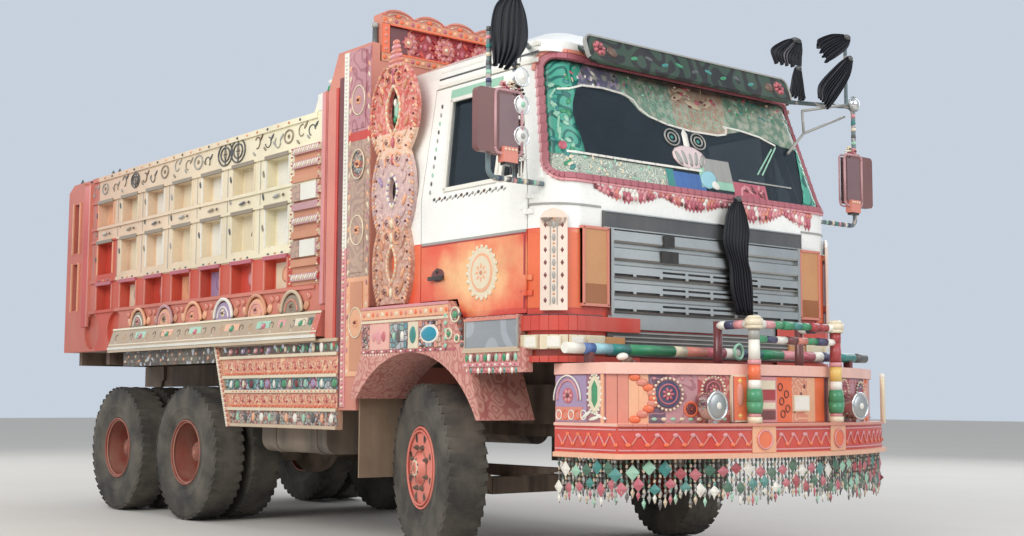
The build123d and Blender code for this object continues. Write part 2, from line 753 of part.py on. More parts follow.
# Grille: slats of one profile between end frames, with air slots in the lower rows
slat_rows = 5
slotted_rows = 3
grille_end = 22
slot_length = 190
slot_gap = 25
with BuildPart() as grille:
    slat_height = (grille_top_z - grille_bottom_z) / slat_rows
    block(cab_front_x, cab_front_x + 9, -grille_half_width, grille_half_width, grille_bottom_z, grille_top_z)
    for side in (-1, 1):
        y_in, y_out = side * (grille_half_width - grille_end), side * grille_half_width
        block(cab_front_x, cab_front_x + grille_depth, min(y_in, y_out), max(y_in, y_out),
              grille_bottom_z, grille_top_z)
    for row in range(slat_rows):
        z = grille_bottom_z + row * slat_height
        side_shape(((cab_front_x + 8, z + 14), (cab_front_x + grille_depth - 6, z + 20),
                    (cab_front_x + grille_depth, z + 30), (cab_front_x + grille_depth - 4, z + slat_height - 14),
                    (cab_front_x + 8, z + slat_height - 4)), -grille_half_width + 1, grille_half_width - 1)
    for row in range(slotted_rows):
        z = grille_bottom_z + row * slat_height + 26
        for column in range(-4, 4):
            y = column * (slot_length + slot_gap) + slot_gap / 2
            block(cab_front_x + 14, cab_front_x + grille_depth + 1, max(y, -grille_half_width + grille_end + 4),
                  min(y + slot_length, grille_half_width - grille_end - 4), z, z + 15, mode=Mode.SUBTRACT)
            if column in (-2, -1, 0, 1):
                block(cab_front_x + 14, cab_front_x + grille_depth + 1, y, y + slot_length, z + 33, z + 46,
                      mode=Mode.SUBTRACT)
save(grille, "grille")

# Sun visor above the windscreen
visor_half_width = 900
visor_back_x = roof_front_x
with BuildPart() as sun_visor:
    side_shape(((visor_back_x, 3000), (visor_back_x, 3024), (visor_back_x + 90, 3000), (cab_front_x - 60, 2925),
                (cab_front_x - 68, 2902), (visor_back_x + 88, 2982)), -visor_half_width, visor_half_width)
    for side in (-1, 1):
        y_in, y_out = side * (visor_half_width - 8), side * visor_half_width
        side_shape(((visor_back_x + 12, 3002), (visor_back_x + 88, 2990), (cab_front_x - 66, 2912),
                    (cab_front_x - 70, 2876), (visor_back_x + 40, 2960)), min(y_in, y_out), max(y_in, y_out))
save(sun_visor, "sun_visor")

# Dashboard, steering wheel and seats
driver_y = -520
with BuildPart() as dashboard:
    side_shape(((cab_front_x - cab_wall, 1900), (cab_front_x - cab_wall, 2180), (cab_front_x - 330, 2120),
                (cab_front_x - 360, 1960), (cab_front_x - 300, 1880)), -1000, 1000)
save(dashboard, "dashboard")

wheel_rim_radius = 235
with BuildPart() as steering_wheel:
    hub_place = Plane(origin=(cab_front_x - 430, driver_y, 2150), x_dir=(0, 1, 0), z_dir=(-0.5, 0, 0.866))
    with BuildSketch(Plane(origin=hub_place.origin, x_dir=(0, 1, 0), z_dir=(0.866, 0, 0.5))):
        with Locations((wheel_rim_radius, 0)):
            Circle(16)
    revolve(axis=Axis(hub_place.origin, hub_place.z_dir))
    with BuildSketch(hub_place.offset(-12)):
        Circle(45)
        Rectangle(2 * wheel_rim_radius, 26)
        Rectangle(26, 2 * wheel_rim_radius)
    extrude(amount=24)
    with BuildSketch(hub_place.offset(-280)):
        Circle(24)
    extrude(amount=270)
    add(dashboard.part, mode=Mode.SUBTRACT)
save(steering_wheel, "steering_wheel")

seat_base_z = cab_floor_z + cab_floor_thick
with BuildPart() as seats:
    for y, half in ((driver_y, 260), (400, 560)):
        block(front_axle_x - 40, front_axle_x + 430, y - half, y + half, seat_base_z, seat_base_z + 430)
        side_shape(((front_axle_x - 90, seat_base_z + 430), (front_axle_x + 60, seat_base_z + 430),
                    (front_axle_x - 60, seat_base_z + 980), (front_axle_x - 180, seat_base_z + 980)),
                   y - half, y + half)
        block(front_axle_x - 90, front_axle_x - 40, y - half, y + half, seat_base_z + 200, seat_base_z + 430)
save(seats, "seats")

# Fenders over the front wheels, with the step panels ahead of them
leg_tip = (front_axle_x + 741, 833)
leg_foot = (front_axle_x + 700, 833)
arch_crown = (front_axle_x + 20, fender_arch_z)
arch_rear = (front_axle_x - 560, flap_top_z)
step_panel_x = front_axle_x + 590
slope_ribs = 4
slope_head_x = front_axle_x + 430
slope_foot = (front_axle_x + 610, fender_arch_z - 30)


def fender_shape(skin, y_from, y_to):
    """Fender outline: an arched edge over the wheel under `skin`, a list of outer points."""
    with BuildSketch(side_plane(y_to)) as outline:
        with BuildLine():
            ThreePointArc(leg_foot, arch_crown, arch_rear)
            Polyline(arch_rear, *skin, leg_tip, leg_foot)
        make_face()
    extrude(outline.sketch, amount=y_to - y_from)


with BuildPart() as front_fenders:
    fender_shape(((front_axle_x - 634, flap_top_z), (front_axle_x - 510, 1240), (front_axle_x - 510, fender_top_z),
                  (slope_head_x, fender_top_z), slope_foot),
                 cab_half_width, fender_outer_y)
    fender_shape(((front_axle_x - 634, flap_top_z), (front_axle_x - 330, fender_arch_z + 2 * fender_sheet),
                  (front_axle_x + 360, fender_arch_z + 2 * fender_sheet), (front_axle_x + 600, fender_arch_z - 60)),
                 fender_inner_y, fender_outer_y)
    # Ribs across the slope of the front leg
    fall = (fender_top_z - slope_foot[1]) / (slope_foot[0] - slope_head_x)
    for rib in range(slope_ribs):
        x = slope_head_x + 22 + rib * 38
        z = fender_top_z - (x - slope_head_x) * fall
        block(x, x + 22, cab_half_width, fender_outer_y, z - 50, z + 6)
    block(step_panel_x, door_front_x - 10, cab_half_width, fender_outer_y - 5, step_hem_z, step_top_z)
    block(step_panel_x - 20, step_front_x, cab_half_width, fender_outer_y - 5, hem_bottom_z, step_hem_z)
    mirror(about=Plane.XZ)
save(front_fenders, "front_fenders")


def bumper_plan(z, setback, half_width, back):
    """Plan of the bumper: straight sides and a front bowed forwards."""
    end_x = ledge_end_x - setback
    with BuildSketch(Plane.XY.offset(z)) as plan:
        with BuildLine():
            Line((back, -half_width), (end_x, -half_width))
            ThreePointArc((end_x, -half_width), (end_x + ledge_bow, 0), (end_x, half_width))
            Line((end_x, half_width), (back, half_width))
            Line((back, half_width), (back, -half_width))
        make_face()
    return plan.sketch


# Bumper: ledge, band, panel and top rail, open behind
bumper_layers = (
    # bottom, top, setback of the front, change of the half width
    (ledge_bottom_z, ledge_bottom_z + ledge_thick, 0, 15),
    (ledge_bottom_z + ledge_thick, band_top_z, 22, 0),
    (band_top_z, band_top_z + 15, 12, 8),
    (band_top_z + 15, panel_top_z, panel_setback, -5),
    (panel_top_z, bumper_top_z, panel_setback - 18, 5),
)
bow_radius = (bumper_half_width**2 + ledge_bow**2) / (2 * ledge_bow)
plate_y = 410
plate_width = 105
plate_out = 18
medallion_y = 830
medallion_z = 985
medallion_radius = 85
registration_y = 70
with BuildPart() as bumper:
    for bottom, top, setback, wider in bumper_layers:
        extrude(bumper_plan(bottom, setback, bumper_half_width + wider, bumper_back_x), amount=top - bottom)
    extrude(bumper_plan(ledge_bottom_z - 1, panel_setback + bumper_wall, bumper_half_width - bumper_wall,
                        bumper_back_x - 1), amount=panel_top_z + 70 - ledge_bottom_z, mode=Mode.SUBTRACT)
    # Upright plates beside the posts, round medallions at the corners and a blank plate off the middle
    for side in (-1, 1):
        y = side * plate_y
        face_x = bow_x(plate_y, panel_setback, bumper_half_width)
        block(face_x - 20, face_x + plate_out, y - plate_width / 2, y + plate_width / 2,
              band_top_z + 18, panel_top_z - 4)
        bow_y = side * medallion_y
        centre = Vector(bow_x(medallion_y, panel_setback, bumper_half_width), bow_y, medallion_z)
        outward = Vector(sqrt(bow_radius**2 - medallion_y**2), bow_y, 0).normalized()
        rod(centre - outward * 20, centre + outward * 8, medallion_radius)
    face_x = bow_x(registration_y, panel_setback, bumper_half_width)
    block(face_x - 20, face_x + 20, registration_y - 70, registration_y + 70, 895, 985)
save(bumper, "bumper")

# Guard: two turned posts on the ledge, rails between them, and the long tube behind
tube_foot_y = bumper_half_width - bumper_wall / 2
long_tube_x = front_axle_x + 1480
long_tube_z = 1230
back_post_x = front_axle_x + 1710
post_profile = (
    # height above the post's foot, radius
    (0, 40), (20, 40), (20, 34), (55, 34), (70, 44), (115, 48), (160, 44), (178, 36), (235, 34), (320, 34),
    (320, 38), (345, 38), (345, 33), (500, 31), (515, 44), (535, 50), (560, 50), (570, 30),
)
with BuildPart() as guard_rail:
    for side in (-1, 1):
        y = side * post_y
        with BuildSketch(side_plane(y)) as half_post:
            with BuildLine():
                Polyline((post_x, band_top_z + 15), *((post_x + radius, band_top_z + 15 + height)
                                                     for height, radius in post_profile),
                         (post_x, post_top_z), close=True)
            make_face()
        revolve(half_post.sketch, axis=Axis((post_x, y, 0), (0, 0, 1)))
        rod((post_x, y, 1372), (back_post_x, y, 1372), 24)
        rod((back_post_x, y, horn_top_z), (back_post_x, y, 1396), 26)
        block(long_tube_x - 25, long_tube_x + 25, side * tube_foot_y - 15, side * tube_foot_y + 15,
              bumper_top_z, long_tube_z)
    rod((post_x, -post_y, 1372), (post_x, post_y, 1372), 22)
    rod((post_x, -post_y, 1290), (post_x, post_y, 1290), 20)
    rod((long_tube_x, -1300, long_tube_z), (long_tube_x, 1300, long_tube_z), 30)
save(guard_rail, "guard_rail")

# Round headlamps on the bumper's panel
headlamp_y = 620
headlamp_z = 925
headlamp_radius = 76
headlamp_back_x = bow_x(headlamp_y - headlamp_radius, panel_setback, bumper_half_width) + 4
with BuildPart() as headlamps:
    for side in (-1, 1):
        rod((headlamp_back_x, side * headlamp_y, headlamp_z),
            (headlamp_back_x + 75, side * headlamp_y, headlamp_z), headlamp_radius)
        block(headlamp_back_x + 20, headlamp_back_x + 55, side * headlamp_y - 18, side * headlamp_y + 18,
              band_top_z + 15, headlamp_z)
save(headlamps, "headlamps")

# Beaded fringe under the bumper, as one thin curtain
fringe_bottom_z = 370
with BuildPart() as fringe:
    extrude(bumper_plan(fringe_bottom_z, 40, bumper_half_width - 8, bumper_back_x + 10),
            amount=ledge_bottom_z - fringe_bottom_z)
    extrude(bumper_plan(fringe_bottom_z - 1, 52, bumper_half_width - 20, bumper_back_x + 9),
            amount=ledge_bottom_z - fringe_bottom_z + 2, mode=Mode.SUBTRACT)
save(fringe, "fringe")

# Mirror frames: a bent tube each side from the cab's corner to the roof, with a pole and three lamps
corner_reach = mirror_x - mirror_tube_radius - (cab_front_x - cab_corner)
arm_root_y = cab_half_width - cab_corner + sqrt(cab_corner**2 - corner_reach**2) + seat_gap
roof_root = (roof_front_x - 130, eave_half_width + 12, frame_top_z + 10)
inner_pole_foot = (mirror_x - 150, mirror_tube_y - 200, frame_top_z)
inner_pole_top = (mirror_x - 150, mirror_tube_y - 200, 3400)
outer_pole_y = mirror_tube_y + 110
outer_pole_top = 3440
lamp_profile = (
    # distance ahead of the pole, radius
    (0, 18), (14, 30), (lamp_depth - 16, lamp_radius), (lamp_depth, lamp_radius), (lamp_depth, lamp_radius - 7),
    (lamp_depth - 8, lamp_radius - 10),
)
with BuildPart() as mirror_frames:
    with BuildLine() as tube_way:
        FilletPolyline((mirror_x, arm_root_y, arm_z), (mirror_x, mirror_outer_y, arm_z),
                       (mirror_x, mirror_outer_y, frame_top_z), inner_pole_foot, roof_root, radius=50)
    with BuildSketch(Plane(origin=(mirror_x, arm_root_y, arm_z), z_dir=(0, 1, 0))):
        Circle(mirror_tube_radius)
    sweep(path=tube_way.wires()[0])
    mirror(about=Plane.XZ)
    # Right: a pole with three lamps and the cloth's stub; left: two poles for the cloths
    rod((mirror_x, -mirror_tube_y, arm_z), (mirror_x, -mirror_tube_y, mirror_pole_z), pole_radius)
    for z in lamp_heights:
        with BuildSketch(side_plane(-mirror_tube_y)) as bowl:
            with BuildLine():
                Polyline((mirror_x, z), *((mirror_x + ahead, z + radius) for ahead, radius in lamp_profile),
                         (mirror_x + lamp_depth - 4, z), close=True)
            make_face()
        revolve(bowl.sketch, axis=Axis((mirror_x, -mirror_tube_y, z), (1, 0, 0)))
    rod(inner_pole_foot, inner_pole_top, pole_radius)
    rod((mirror_x, outer_pole_y, frame_top_z), (mirror_x, outer_pole_y, outer_pole_top), pole_radius)
save(mirror_frames, "mirror_frames")

# Mirror heads ahead of the frames' outer tubes
with BuildPart() as mirrors:
    with BuildSketch(front_plane(mirror_x + mirror_tube_radius + seat_gap)):
        with Locations((mirror_outer_y, mirror_mid_z)):
            RectangleRounded(mirror_width, 2 * mirror_half_height, mirror_corner)
    extrude(amount=mirror_thick)
    mirror(about=Plane.XZ)
save(mirrors, "mirrors")

# Skirts between the wheels with their outriggers
skirt_rail = 24
skirt_rail_out = 16
skirt_rails = (1348, 1256, 1112, 1006, 880, 762)


def skirt_edge(z):
    """Line of the skirt's slanted rear edge."""
    return skirt_rear_top_x + (skirt_rear_x - skirt_rear_top_x) * (skirt_top_z - z) / (skirt_top_z - skirt_bottom_z)


with BuildPart() as side_skirts:
    side_shape(((skirt_front_x, skirt_top_z), (skirt_rear_top_x, skirt_top_z), (skirt_rear_x, skirt_bottom_z),
                (skirt_front_x, skirt_bottom_z)), skirt_outer_y - skirt_thick, skirt_outer_y)
    for z in skirt_rails:
        top, bottom = z + skirt_rail / 2, z - skirt_rail / 2
        side_shape(((skirt_front_x, bottom), (skirt_front_x, top), (skirt_edge(top), top), (skirt_edge(bottom), bottom)),
                   skirt_outer_y, skirt_outer_y + skirt_rail_out)
    low_z, high_z = skirt_bottom_z, skirt_top_z
    side_shape(((skirt_edge(low_z), low_z), (skirt_edge(low_z) + 60, low_z), (skirt_edge(high_z) + 60, high_z),
                (skirt_edge(high_z), high_z)), skirt_outer_y, skirt_outer_y + skirt_rail_out)
    for x in (front_axle_x - 2300, front_axle_x - 1650, front_axle_x - 1000):
        block(x - 25, x + 25, rail_outer_y, skirt_outer_y - skirt_thick, 990, 1045)
    mirror(about=Plane.XZ)
save(side_skirts, "side_skirts")

# Headboard frame behind the cab, standing on the rails and carrying the crown
beam_depth = 140
board_foot_x = front_axle_x - 640
board_foot_rear_x = skirt_front_x + seat_gap
board_recess = 12
board_panels = ((1640, 2080), (2140, 2640), (2700, 3000))
with BuildPart() as headboard:
    for side in (-1, 1):
        y_in, y_out = side * (board_half_width - board_wall), side * board_half_width
        side_shape(((board_foot_x, board_bottom_z), (board_foot_x, fender_top_z - 200),
                    (board_front_x, fender_top_z + 20), (board_front_x, board_top_z),
                    (board_rear_x + 120, board_top_z), (board_rear_x, 3060), (board_rear_x, bed_bottom_z),
                    (board_foot_rear_x, bed_bottom_z), (board_foot_rear_x, board_bottom_z)),
                   min(y_in, y_out), max(y_in, y_out))
    for x, z_from, z_to in ((board_foot_x, rail_top_z, rail_top_z + 120), (board_front_x, 3050, crown_bottom_z)):
        block(x - beam_depth, x, -board_half_width + board_wall, board_half_width - board_wall, z_from, z_to)
    # Shallow panels in the side boards
    for side in (-1, 1):
        y_in, y_out = side * (board_half_width - board_recess), side * (board_half_width + 1)
        for z_from, z_to in board_panels:
            block(board_rear_x + 110, board_front_x - 50, min(y_in, y_out), max(y_in, y_out), z_from, z_to,
                  mode=Mode.SUBTRACT)
    # Crown: an arched crest over a sunk field with bosses
    crest_z = crown_top_z - crest_rise
    arch_width = 2 * crown_half_width / crest_arches
    with BuildSketch(front_plane(board_front_x - crown_thick)) as crown:
        with BuildLine():
            Polyline((crown_half_width, crest_z), (crown_half_width, crown_bottom_z),
                     (-crown_half_width, crown_bottom_z), (-crown_half_width, crest_z))
            for arch in range(crest_arches):
                y = -crown_half_width + arch * arch_width
                ThreePointArc((y, crest_z), (y + arch_width / 2, crown_top_z), (y + arch_width, crest_z))
        make_face()
    extrude(crown.sketch, amount=crown_thick)
    block(board_front_x - crown_recess, board_front_x + 1, -crown_half_width + crown_border,
          crown_half_width - crown_border, crown_bottom_z + crown_border, crest_z - crown_border, mode=Mode.SUBTRACT)
    boss_pitch = 2 * (crown_half_width - crown_border) / crown_bosses
    boss_z = (crown_bottom_z + crest_z) / 2
    for boss in range(crown_bosses):
        y = -crown_half_width + crown_border + (boss + 0.5) * boss_pitch
        rod((board_front_x - crown_recess - 1, y, boss_z), (board_front_x - crown_recess + 14, y, boss_z), 85)
        rod((board_front_x - crown_recess - 1, y, boss_z), (board_front_x - 10, y, boss_z), 34)
save(headboard, "headboard")

# Cut-out side panels between cab and headboard
panel_sheet = 28
panel_mid_x = front_axle_x - 212
panel_foot_z = fender_top_z + 15
panel_waists = (
    # height, half width at the waist
    (panel_foot_z, 150), (1800, 215), (2020, 165), (2270, 235), (2520, 165), (2790, 265), (3080, 110),
)
panel_eyes = (
    # middle height, half width, half height of a pointed opening
    (2790, 60, 150), (2270, 40, 95), (1800, 34, 110),
)


def panel_edge(side):
    """One edge of the cut-out panel: arcs bulging between its waists."""
    for (z_low, low_half), (z_mid, mid_half), (z_high, high_half) in zip(panel_waists[::2], panel_waists[1::2],
                                                                          panel_waists[2::2]):
        ThreePointArc((panel_mid_x + side * low_half, z_low), (panel_mid_x + side * mid_half, z_mid),
                      (panel_mid_x + side * high_half, z_high))


with BuildPart() as curved_panels:
    with BuildSketch(side_plane(cab_half_width + panel_sheet)) as outline:
        with BuildLine():
            panel_edge(-1)
            panel_edge(1)
            for z, half in (panel_waists[0], panel_waists[-1]):
                Line((panel_mid_x - half, z), (panel_mid_x + half, z))
        make_face()
        for z, half, tall in panel_eyes:
            with BuildSketch(side_plane(cab_half_width + panel_sheet), mode=Mode.PRIVATE) as eye:
                with BuildLine():
                    ThreePointArc((panel_mid_x, z - tall), (panel_mid_x - half, z), (panel_mid_x, z + tall))
                    ThreePointArc((panel_mid_x, z - tall), (panel_mid_x + half, z), (panel_mid_x, z + tall))
                make_face()
            add(eye.sketch, mode=Mode.SUBTRACT)
    extrude(outline.sketch, amount=panel_sheet)
    mirror(about=Plane.XZ)
save(curved_panels, "curved_panels")

# Black cloths on the poles and over the grille, as plain soft solids
cloth_thick = 50
cloth_front_x = mirror_x + mirror_tube_radius + seat_gap
inner_cloth_x = mirror_x - 150 + pole_radius + seat_gap
cloth_blocks = (
    # back face x, y from, y to, z from, z to
    (cloth_front_x, -mirror_tube_y - 200, -mirror_tube_y + 60, 2780, 3150),
    (inner_cloth_x, mirror_tube_y - 550, mirror_tube_y - 185, 3200, 3395),
    (inner_cloth_x, mirror_tube_y - 340, mirror_tube_y - 185, 3000, 3185),
    (mirror_x + pole_radius + seat_gap, mirror_tube_y - 240, outer_pole_y + 20, 3260, 3430),
    (mirror_x + pole_radius + seat_gap, mirror_tube_y - 200, outer_pole_y + 20, 3000, 3245),
    (cab_front_x + grille_depth + seat_gap, 110, 350, 1480, 2170),
)
with BuildPart() as cloths:
    for back_x, y_from, y_to, z_from, z_to in cloth_blocks:
        block(back_x, back_x + cloth_thick, y_from, y_to, z_from, z_to)
save(cloths, "cloths")

# Tipping body: floor on bearers and two sills
bearer_x = tuple(bed_rear_x + 150 + step * 620 for step in range(8))
sill_y = (rail_outer_y - rail_flange, rail_outer_y)
floor_top_z = bed_bottom_z + bed_floor_thick
inner_half_width = bed_half_width - bed_wall
eye_lug = 24
with BuildPart() as bed_floor:
    block(bed_rear_x + 10, bed_front_x - 90, -inner_half_width, inner_half_width, bed_bottom_z, floor_top_z)
    for x in bearer_x:
        block(x - 35, x + 35, -inner_half_width, inner_half_width, bed_bottom_z - bearer_height, bed_bottom_z)
    for side in (-1, 1):
        y_in, y_out = side * sill_y[0], side * sill_y[1]
        block(bed_rear_x + 60, bed_front_x - 20, min(y_in, y_out), max(y_in, y_out),
              sill_bottom_z, bed_bottom_z - bearer_height)
        # Hinge plate outside the chassis boss, with its pin into the boss
        y_in, y_out = side * (rail_outer_y + 6), side * (rail_outer_y + 30)
        side_shape(((bed_pivot_x - 60, bed_pivot_z - 20), (bed_pivot_x + 60, bed_pivot_z - 20),
                    (bed_pivot_x + 130, bed_bottom_z - bearer_height), (bed_pivot_x - 130, bed_bottom_z - bearer_height)),
                   min(y_in, y_out), max(y_in, y_out))
        block(bed_pivot_x - 130, bed_pivot_x + 130, min(side * rail_outer_y, y_out), max(side * rail_outer_y, y_out),
              sill_bottom_z + 60, bed_bottom_z - bearer_height)
        rod((bed_pivot_x, side * (rail_outer_y + 8), bed_pivot_z),
            (bed_pivot_x, side * (rail_outer_y - rail_flange + 10), bed_pivot_z), bed_pin_radius)
        # Lug beside the hoist's eye
        y_in, y_out = side * (hoist_eye_width / 2 + 4), side * (hoist_eye_width / 2 + 4 + eye_lug)
        side_shape(((hoist_eye_x - 55, hoist_eye_z - 45), (hoist_eye_x + 55, hoist_eye_z - 45),
                    (hoist_eye_x + 90, bed_bottom_z), (hoist_eye_x - 90, bed_bottom_z)),
                   min(y_in, y_out), max(y_in, y_out))
save(bed_floor, "bed_floor")

# Pin that the tailgate hangs from, held in both body sides
gate_pivot_x = bed_rear_x + 50
gate_pivot_z = 2830
gate_pin_radius = 22
gate_pin_depth = 35

# Body sides: pocketed walls, one row of pockets above another
pocket_pitch = 510
pocket_width = 315
pocket_first_x = front_axle_x - 1750
pocket_rows = ((2490, 2700), (2056, 2337), (1740, 1960))
rail_out = 14
side_rails = ((1712, 1736), (1984, 2012), (2346, 2372), (2462, 2486), (2706, 2730), (2905, bed_top_z))
half_round_radius = 160
side_ribs = 10
side_outline = (
    (bed_rear_x, bed_bottom_z), (bed_rear_x, 2880), (bed_rear_x + 120, bed_top_z),
    (bed_front_x - 200, bed_top_z), (bed_front_x - 130, 3070), (bed_front_x, 3070), (bed_front_x, bed_bottom_z),
)
board_section = (
    (bed_half_width, bed_bottom_z), (bed_half_width, ledge_board_top_z + 10), (1250, ledge_board_top_z),
    (ledge_board_y, bed_bottom_z + 20), (ledge_board_y, bed_bottom_z),
)
with BuildPart() as bed_sides:
    side_shape(side_outline, inner_half_width, bed_half_width)
    for column in range(7):
        x = pocket_first_x - column * pocket_pitch
        for z_from, z_to in pocket_rows:
            block(x - pocket_width / 2, x + pocket_width / 2, bed_half_width - pocket_depth, bed_half_width + 1,
                  z_from, z_to, mode=Mode.SUBTRACT)
    front_shape(board_section, front_axle_x - 4500, bed_front_x)
    # Rails along the rows, half rounds above the ledge board and ribs ahead of the last column
    for z_from, z_to in side_rails:
        block(pocket_first_x - 6.6 * pocket_pitch, bed_front_x - 140, bed_half_width - 1, bed_half_width + rail_out,
              z_from, z_to)
    for column in range(8):
        with BuildSketch(side_plane(bed_half_width + rail_out)) as half_round:
            with Locations((pocket_first_x + (0.5 - column) * pocket_pitch, ledge_board_top_z)):
                Circle(half_round_radius)
        extrude(half_round.sketch, amount=rail_out + 1)
    for rib in range(side_ribs):
        z = 1775 + rib * 100
        block(pocket_first_x + 240, bed_front_x - 80, bed_half_width - 1, bed_half_width + 24, z, z + 48)
    for z_from, z_to in ((1760, 2192), (2296, 2755)):
        block(bed_rear_x + 150, bed_rear_x + 280, bed_half_width - pocket_depth, bed_half_width + 1,
              z_from, z_to, mode=Mode.SUBTRACT)
    with BuildSketch(side_plane(inner_half_width + gate_pin_depth + seat_gap)):
        with Locations((gate_pivot_x, gate_pivot_z)):
            Circle(gate_pin_radius + seat_gap)
    extrude(amount=gate_pin_depth + 10, mode=Mode.SUBTRACT)
    mirror(about=Plane.XZ)
save(bed_sides, "bed_sides")

# Front wall of the body
with BuildPart() as bed_bulkhead:
    block(bed_front_x - 90, bed_front_x - 30, -inner_half_width, inner_half_width, bed_bottom_z, 3040)
    for y in (-700, 0, 700):
        block(bed_front_x - 30, bed_front_x, y - 40, y + 40, bed_bottom_z, 3000)
save(bed_bulkhead, "bed_bulkhead")

# Tailgate, hung from its upper edge between the body sides
gate_half_width = inner_half_width - moving_gap
gate_bottom_z = floor_top_z + moving_gap
with BuildPart() as tailgate:
    block(bed_rear_x + 20, bed_rear_x + 80, -gate_half_width, gate_half_width, gate_bottom_z, 2800)
    for y in (-900, -450, 0, 450, 900):
        block(bed_rear_x - 20, bed_rear_x + 20, y - 45, y + 45, gate_bottom_z, 2800)
    for z in (gate_bottom_z, 2080, 2730):
        block(bed_rear_x - 8, bed_rear_x + 20, -gate_half_width, gate_half_width, z, z + 70)
    rod((gate_pivot_x, -inner_half_width - gate_pin_depth, gate_pivot_z),
        (gate_pivot_x, inner_half_width + gate_pin_depth, gate_pivot_z), gate_pin_radius)
    for y in (-800, 0, 800):
        block(gate_pivot_x - 20, gate_pivot_x + 20, y - 40, y + 40, 2790, gate_pivot_z)
save(tailgate, "tailgate")

# Hoist barrel and rod, drawn along their own axis
hoist_way = Vector(hoist_eye_x - hoist_foot_x, 0, hoist_eye_z - hoist_foot_z)
hoist_length = hoist_way.length
hoist_dir = hoist_way.normalized()
foot = Vector(hoist_foot_x, 0, hoist_foot_z)
neck_length = 260
barrel_length = hoist_length - neck_length - 20
rod_depth = barrel_length - 110


def along_hoist(distance):
    """Plane across the hoist, at a distance from its foot."""
    return Plane(origin=foot + hoist_dir * distance, x_dir=(0, 1, 0), z_dir=hoist_dir)


with BuildPart() as hoist_barrel:
    with BuildSketch(along_hoist(60)):
        Circle(hoist_radius)
    extrude(amount=barrel_length - 60)
    with BuildSketch(along_hoist(100)):
        Circle(hoist_rod_radius + seat_gap)
    extrude(amount=barrel_length - 60, mode=Mode.SUBTRACT)
    with BuildSketch(side_plane(50)):
        with Locations((hoist_foot_x, hoist_foot_z)):
            Circle(40)
    extrude(amount=100)
    with BuildSketch(along_hoist(0)):
        Rectangle(100, 70)
    extrude(amount=65)
    with BuildSketch(side_plane(76)):
        with Locations((hoist_foot_x, hoist_foot_z)):
            Circle(hoist_pin_radius)
    extrude(amount=152)
save(hoist_barrel, "hoist_barrel")

with BuildPart() as hoist_rod:
    with BuildSketch(along_hoist(barrel_length - rod_depth)):
        Circle(hoist_rod_radius)
    extrude(amount=hoist_length - neck_length - barrel_length + rod_depth)
    with BuildSketch(along_hoist(hoist_length - neck_length)):
        Rectangle(hoist_eye_width, 76)
    extrude(amount=neck_length)
    with BuildSketch(side_plane(hoist_eye_width / 2)):
        with Locations((hoist_eye_x, hoist_eye_z)):
            Circle(42)
    extrude(amount=hoist_eye_width)
save(hoist_rod, "hoist_rod")


def wheel_plane(centre, outward):
    """Section plane of a wheel: local x runs outwards along the axle, local y runs up."""
    return Plane(origin=centre, x_dir=outward, z_dir=outward.cross(Vector(0, 0, 1)))


tyre_section = (
    (0.40, rim_radius + seat_gap),
    (0.48, rim_radius + 80),
    (0.50, rim_radius + 160),
    (0.46, tyre_radius - 30),
    (0.40, tyre_radius - 4),
    (0.00, tyre_radius),
)


def tyre_face(plane, middle):
    """Tyre section about a middle along the axle."""
    with BuildSketch(plane) as section:
        with BuildLine():
            right = [(middle + share * tyre_width, radius) for share, radius in tyre_section]
            left = [(middle - share * tyre_width, radius) for share, radius in reversed(tyre_section[:-1])]
            Polyline(*right, *left, close=True)
        make_face()
    return section.sketch


def make_tyres(plane, middles, axis):
    with BuildPart() as tyres:
        for middle in middles:
            revolve(tyre_face(plane, middle), axis=axis)
    return tyres


def make_rim(plane, middles, axis, disc_at, hub_from, hub_to, bore):
    """Rim barrels under the tyres, one disc and a hub with a bore for the spindle."""
    half = 0.42 * tyre_width
    with BuildPart() as rim:
        with BuildSketch(plane):
            with BuildLine():
                Polyline((middles[0] - half, rim_radius - rim_wall), (middles[-1] + half, rim_radius - rim_wall),
                         (middles[-1] + half, rim_radius), (middles[0] - half, rim_radius), close=True)
            make_face()
        revolve(axis=axis)
        with BuildSketch(plane):
            with BuildLine():
                Polyline((disc_at, rim_radius - 6), (disc_at - 15, rim_radius - 6), (disc_at - 25, 150),
                         (disc_at - 25, bore), (disc_at - 10, bore), (disc_at - 10, 150), close=True)
            make_face()
        revolve(axis=axis)
        with BuildSketch(Plane(origin=plane.origin + plane.x_dir * (disc_at - 40), z_dir=plane.x_dir)):
            with PolarLocations(hand_hole_at, hand_holes):
                Circle(hand_hole_radius)
        extrude(amount=60, mode=Mode.SUBTRACT)
        with BuildSketch(plane):
            with BuildLine():
                Polyline((hub_from, bore), (hub_from, 110), (hub_to - 60, 110), (hub_to, 70), (hub_to, bore),
                         close=True)
            make_face()
        revolve(axis=axis)
    return rim


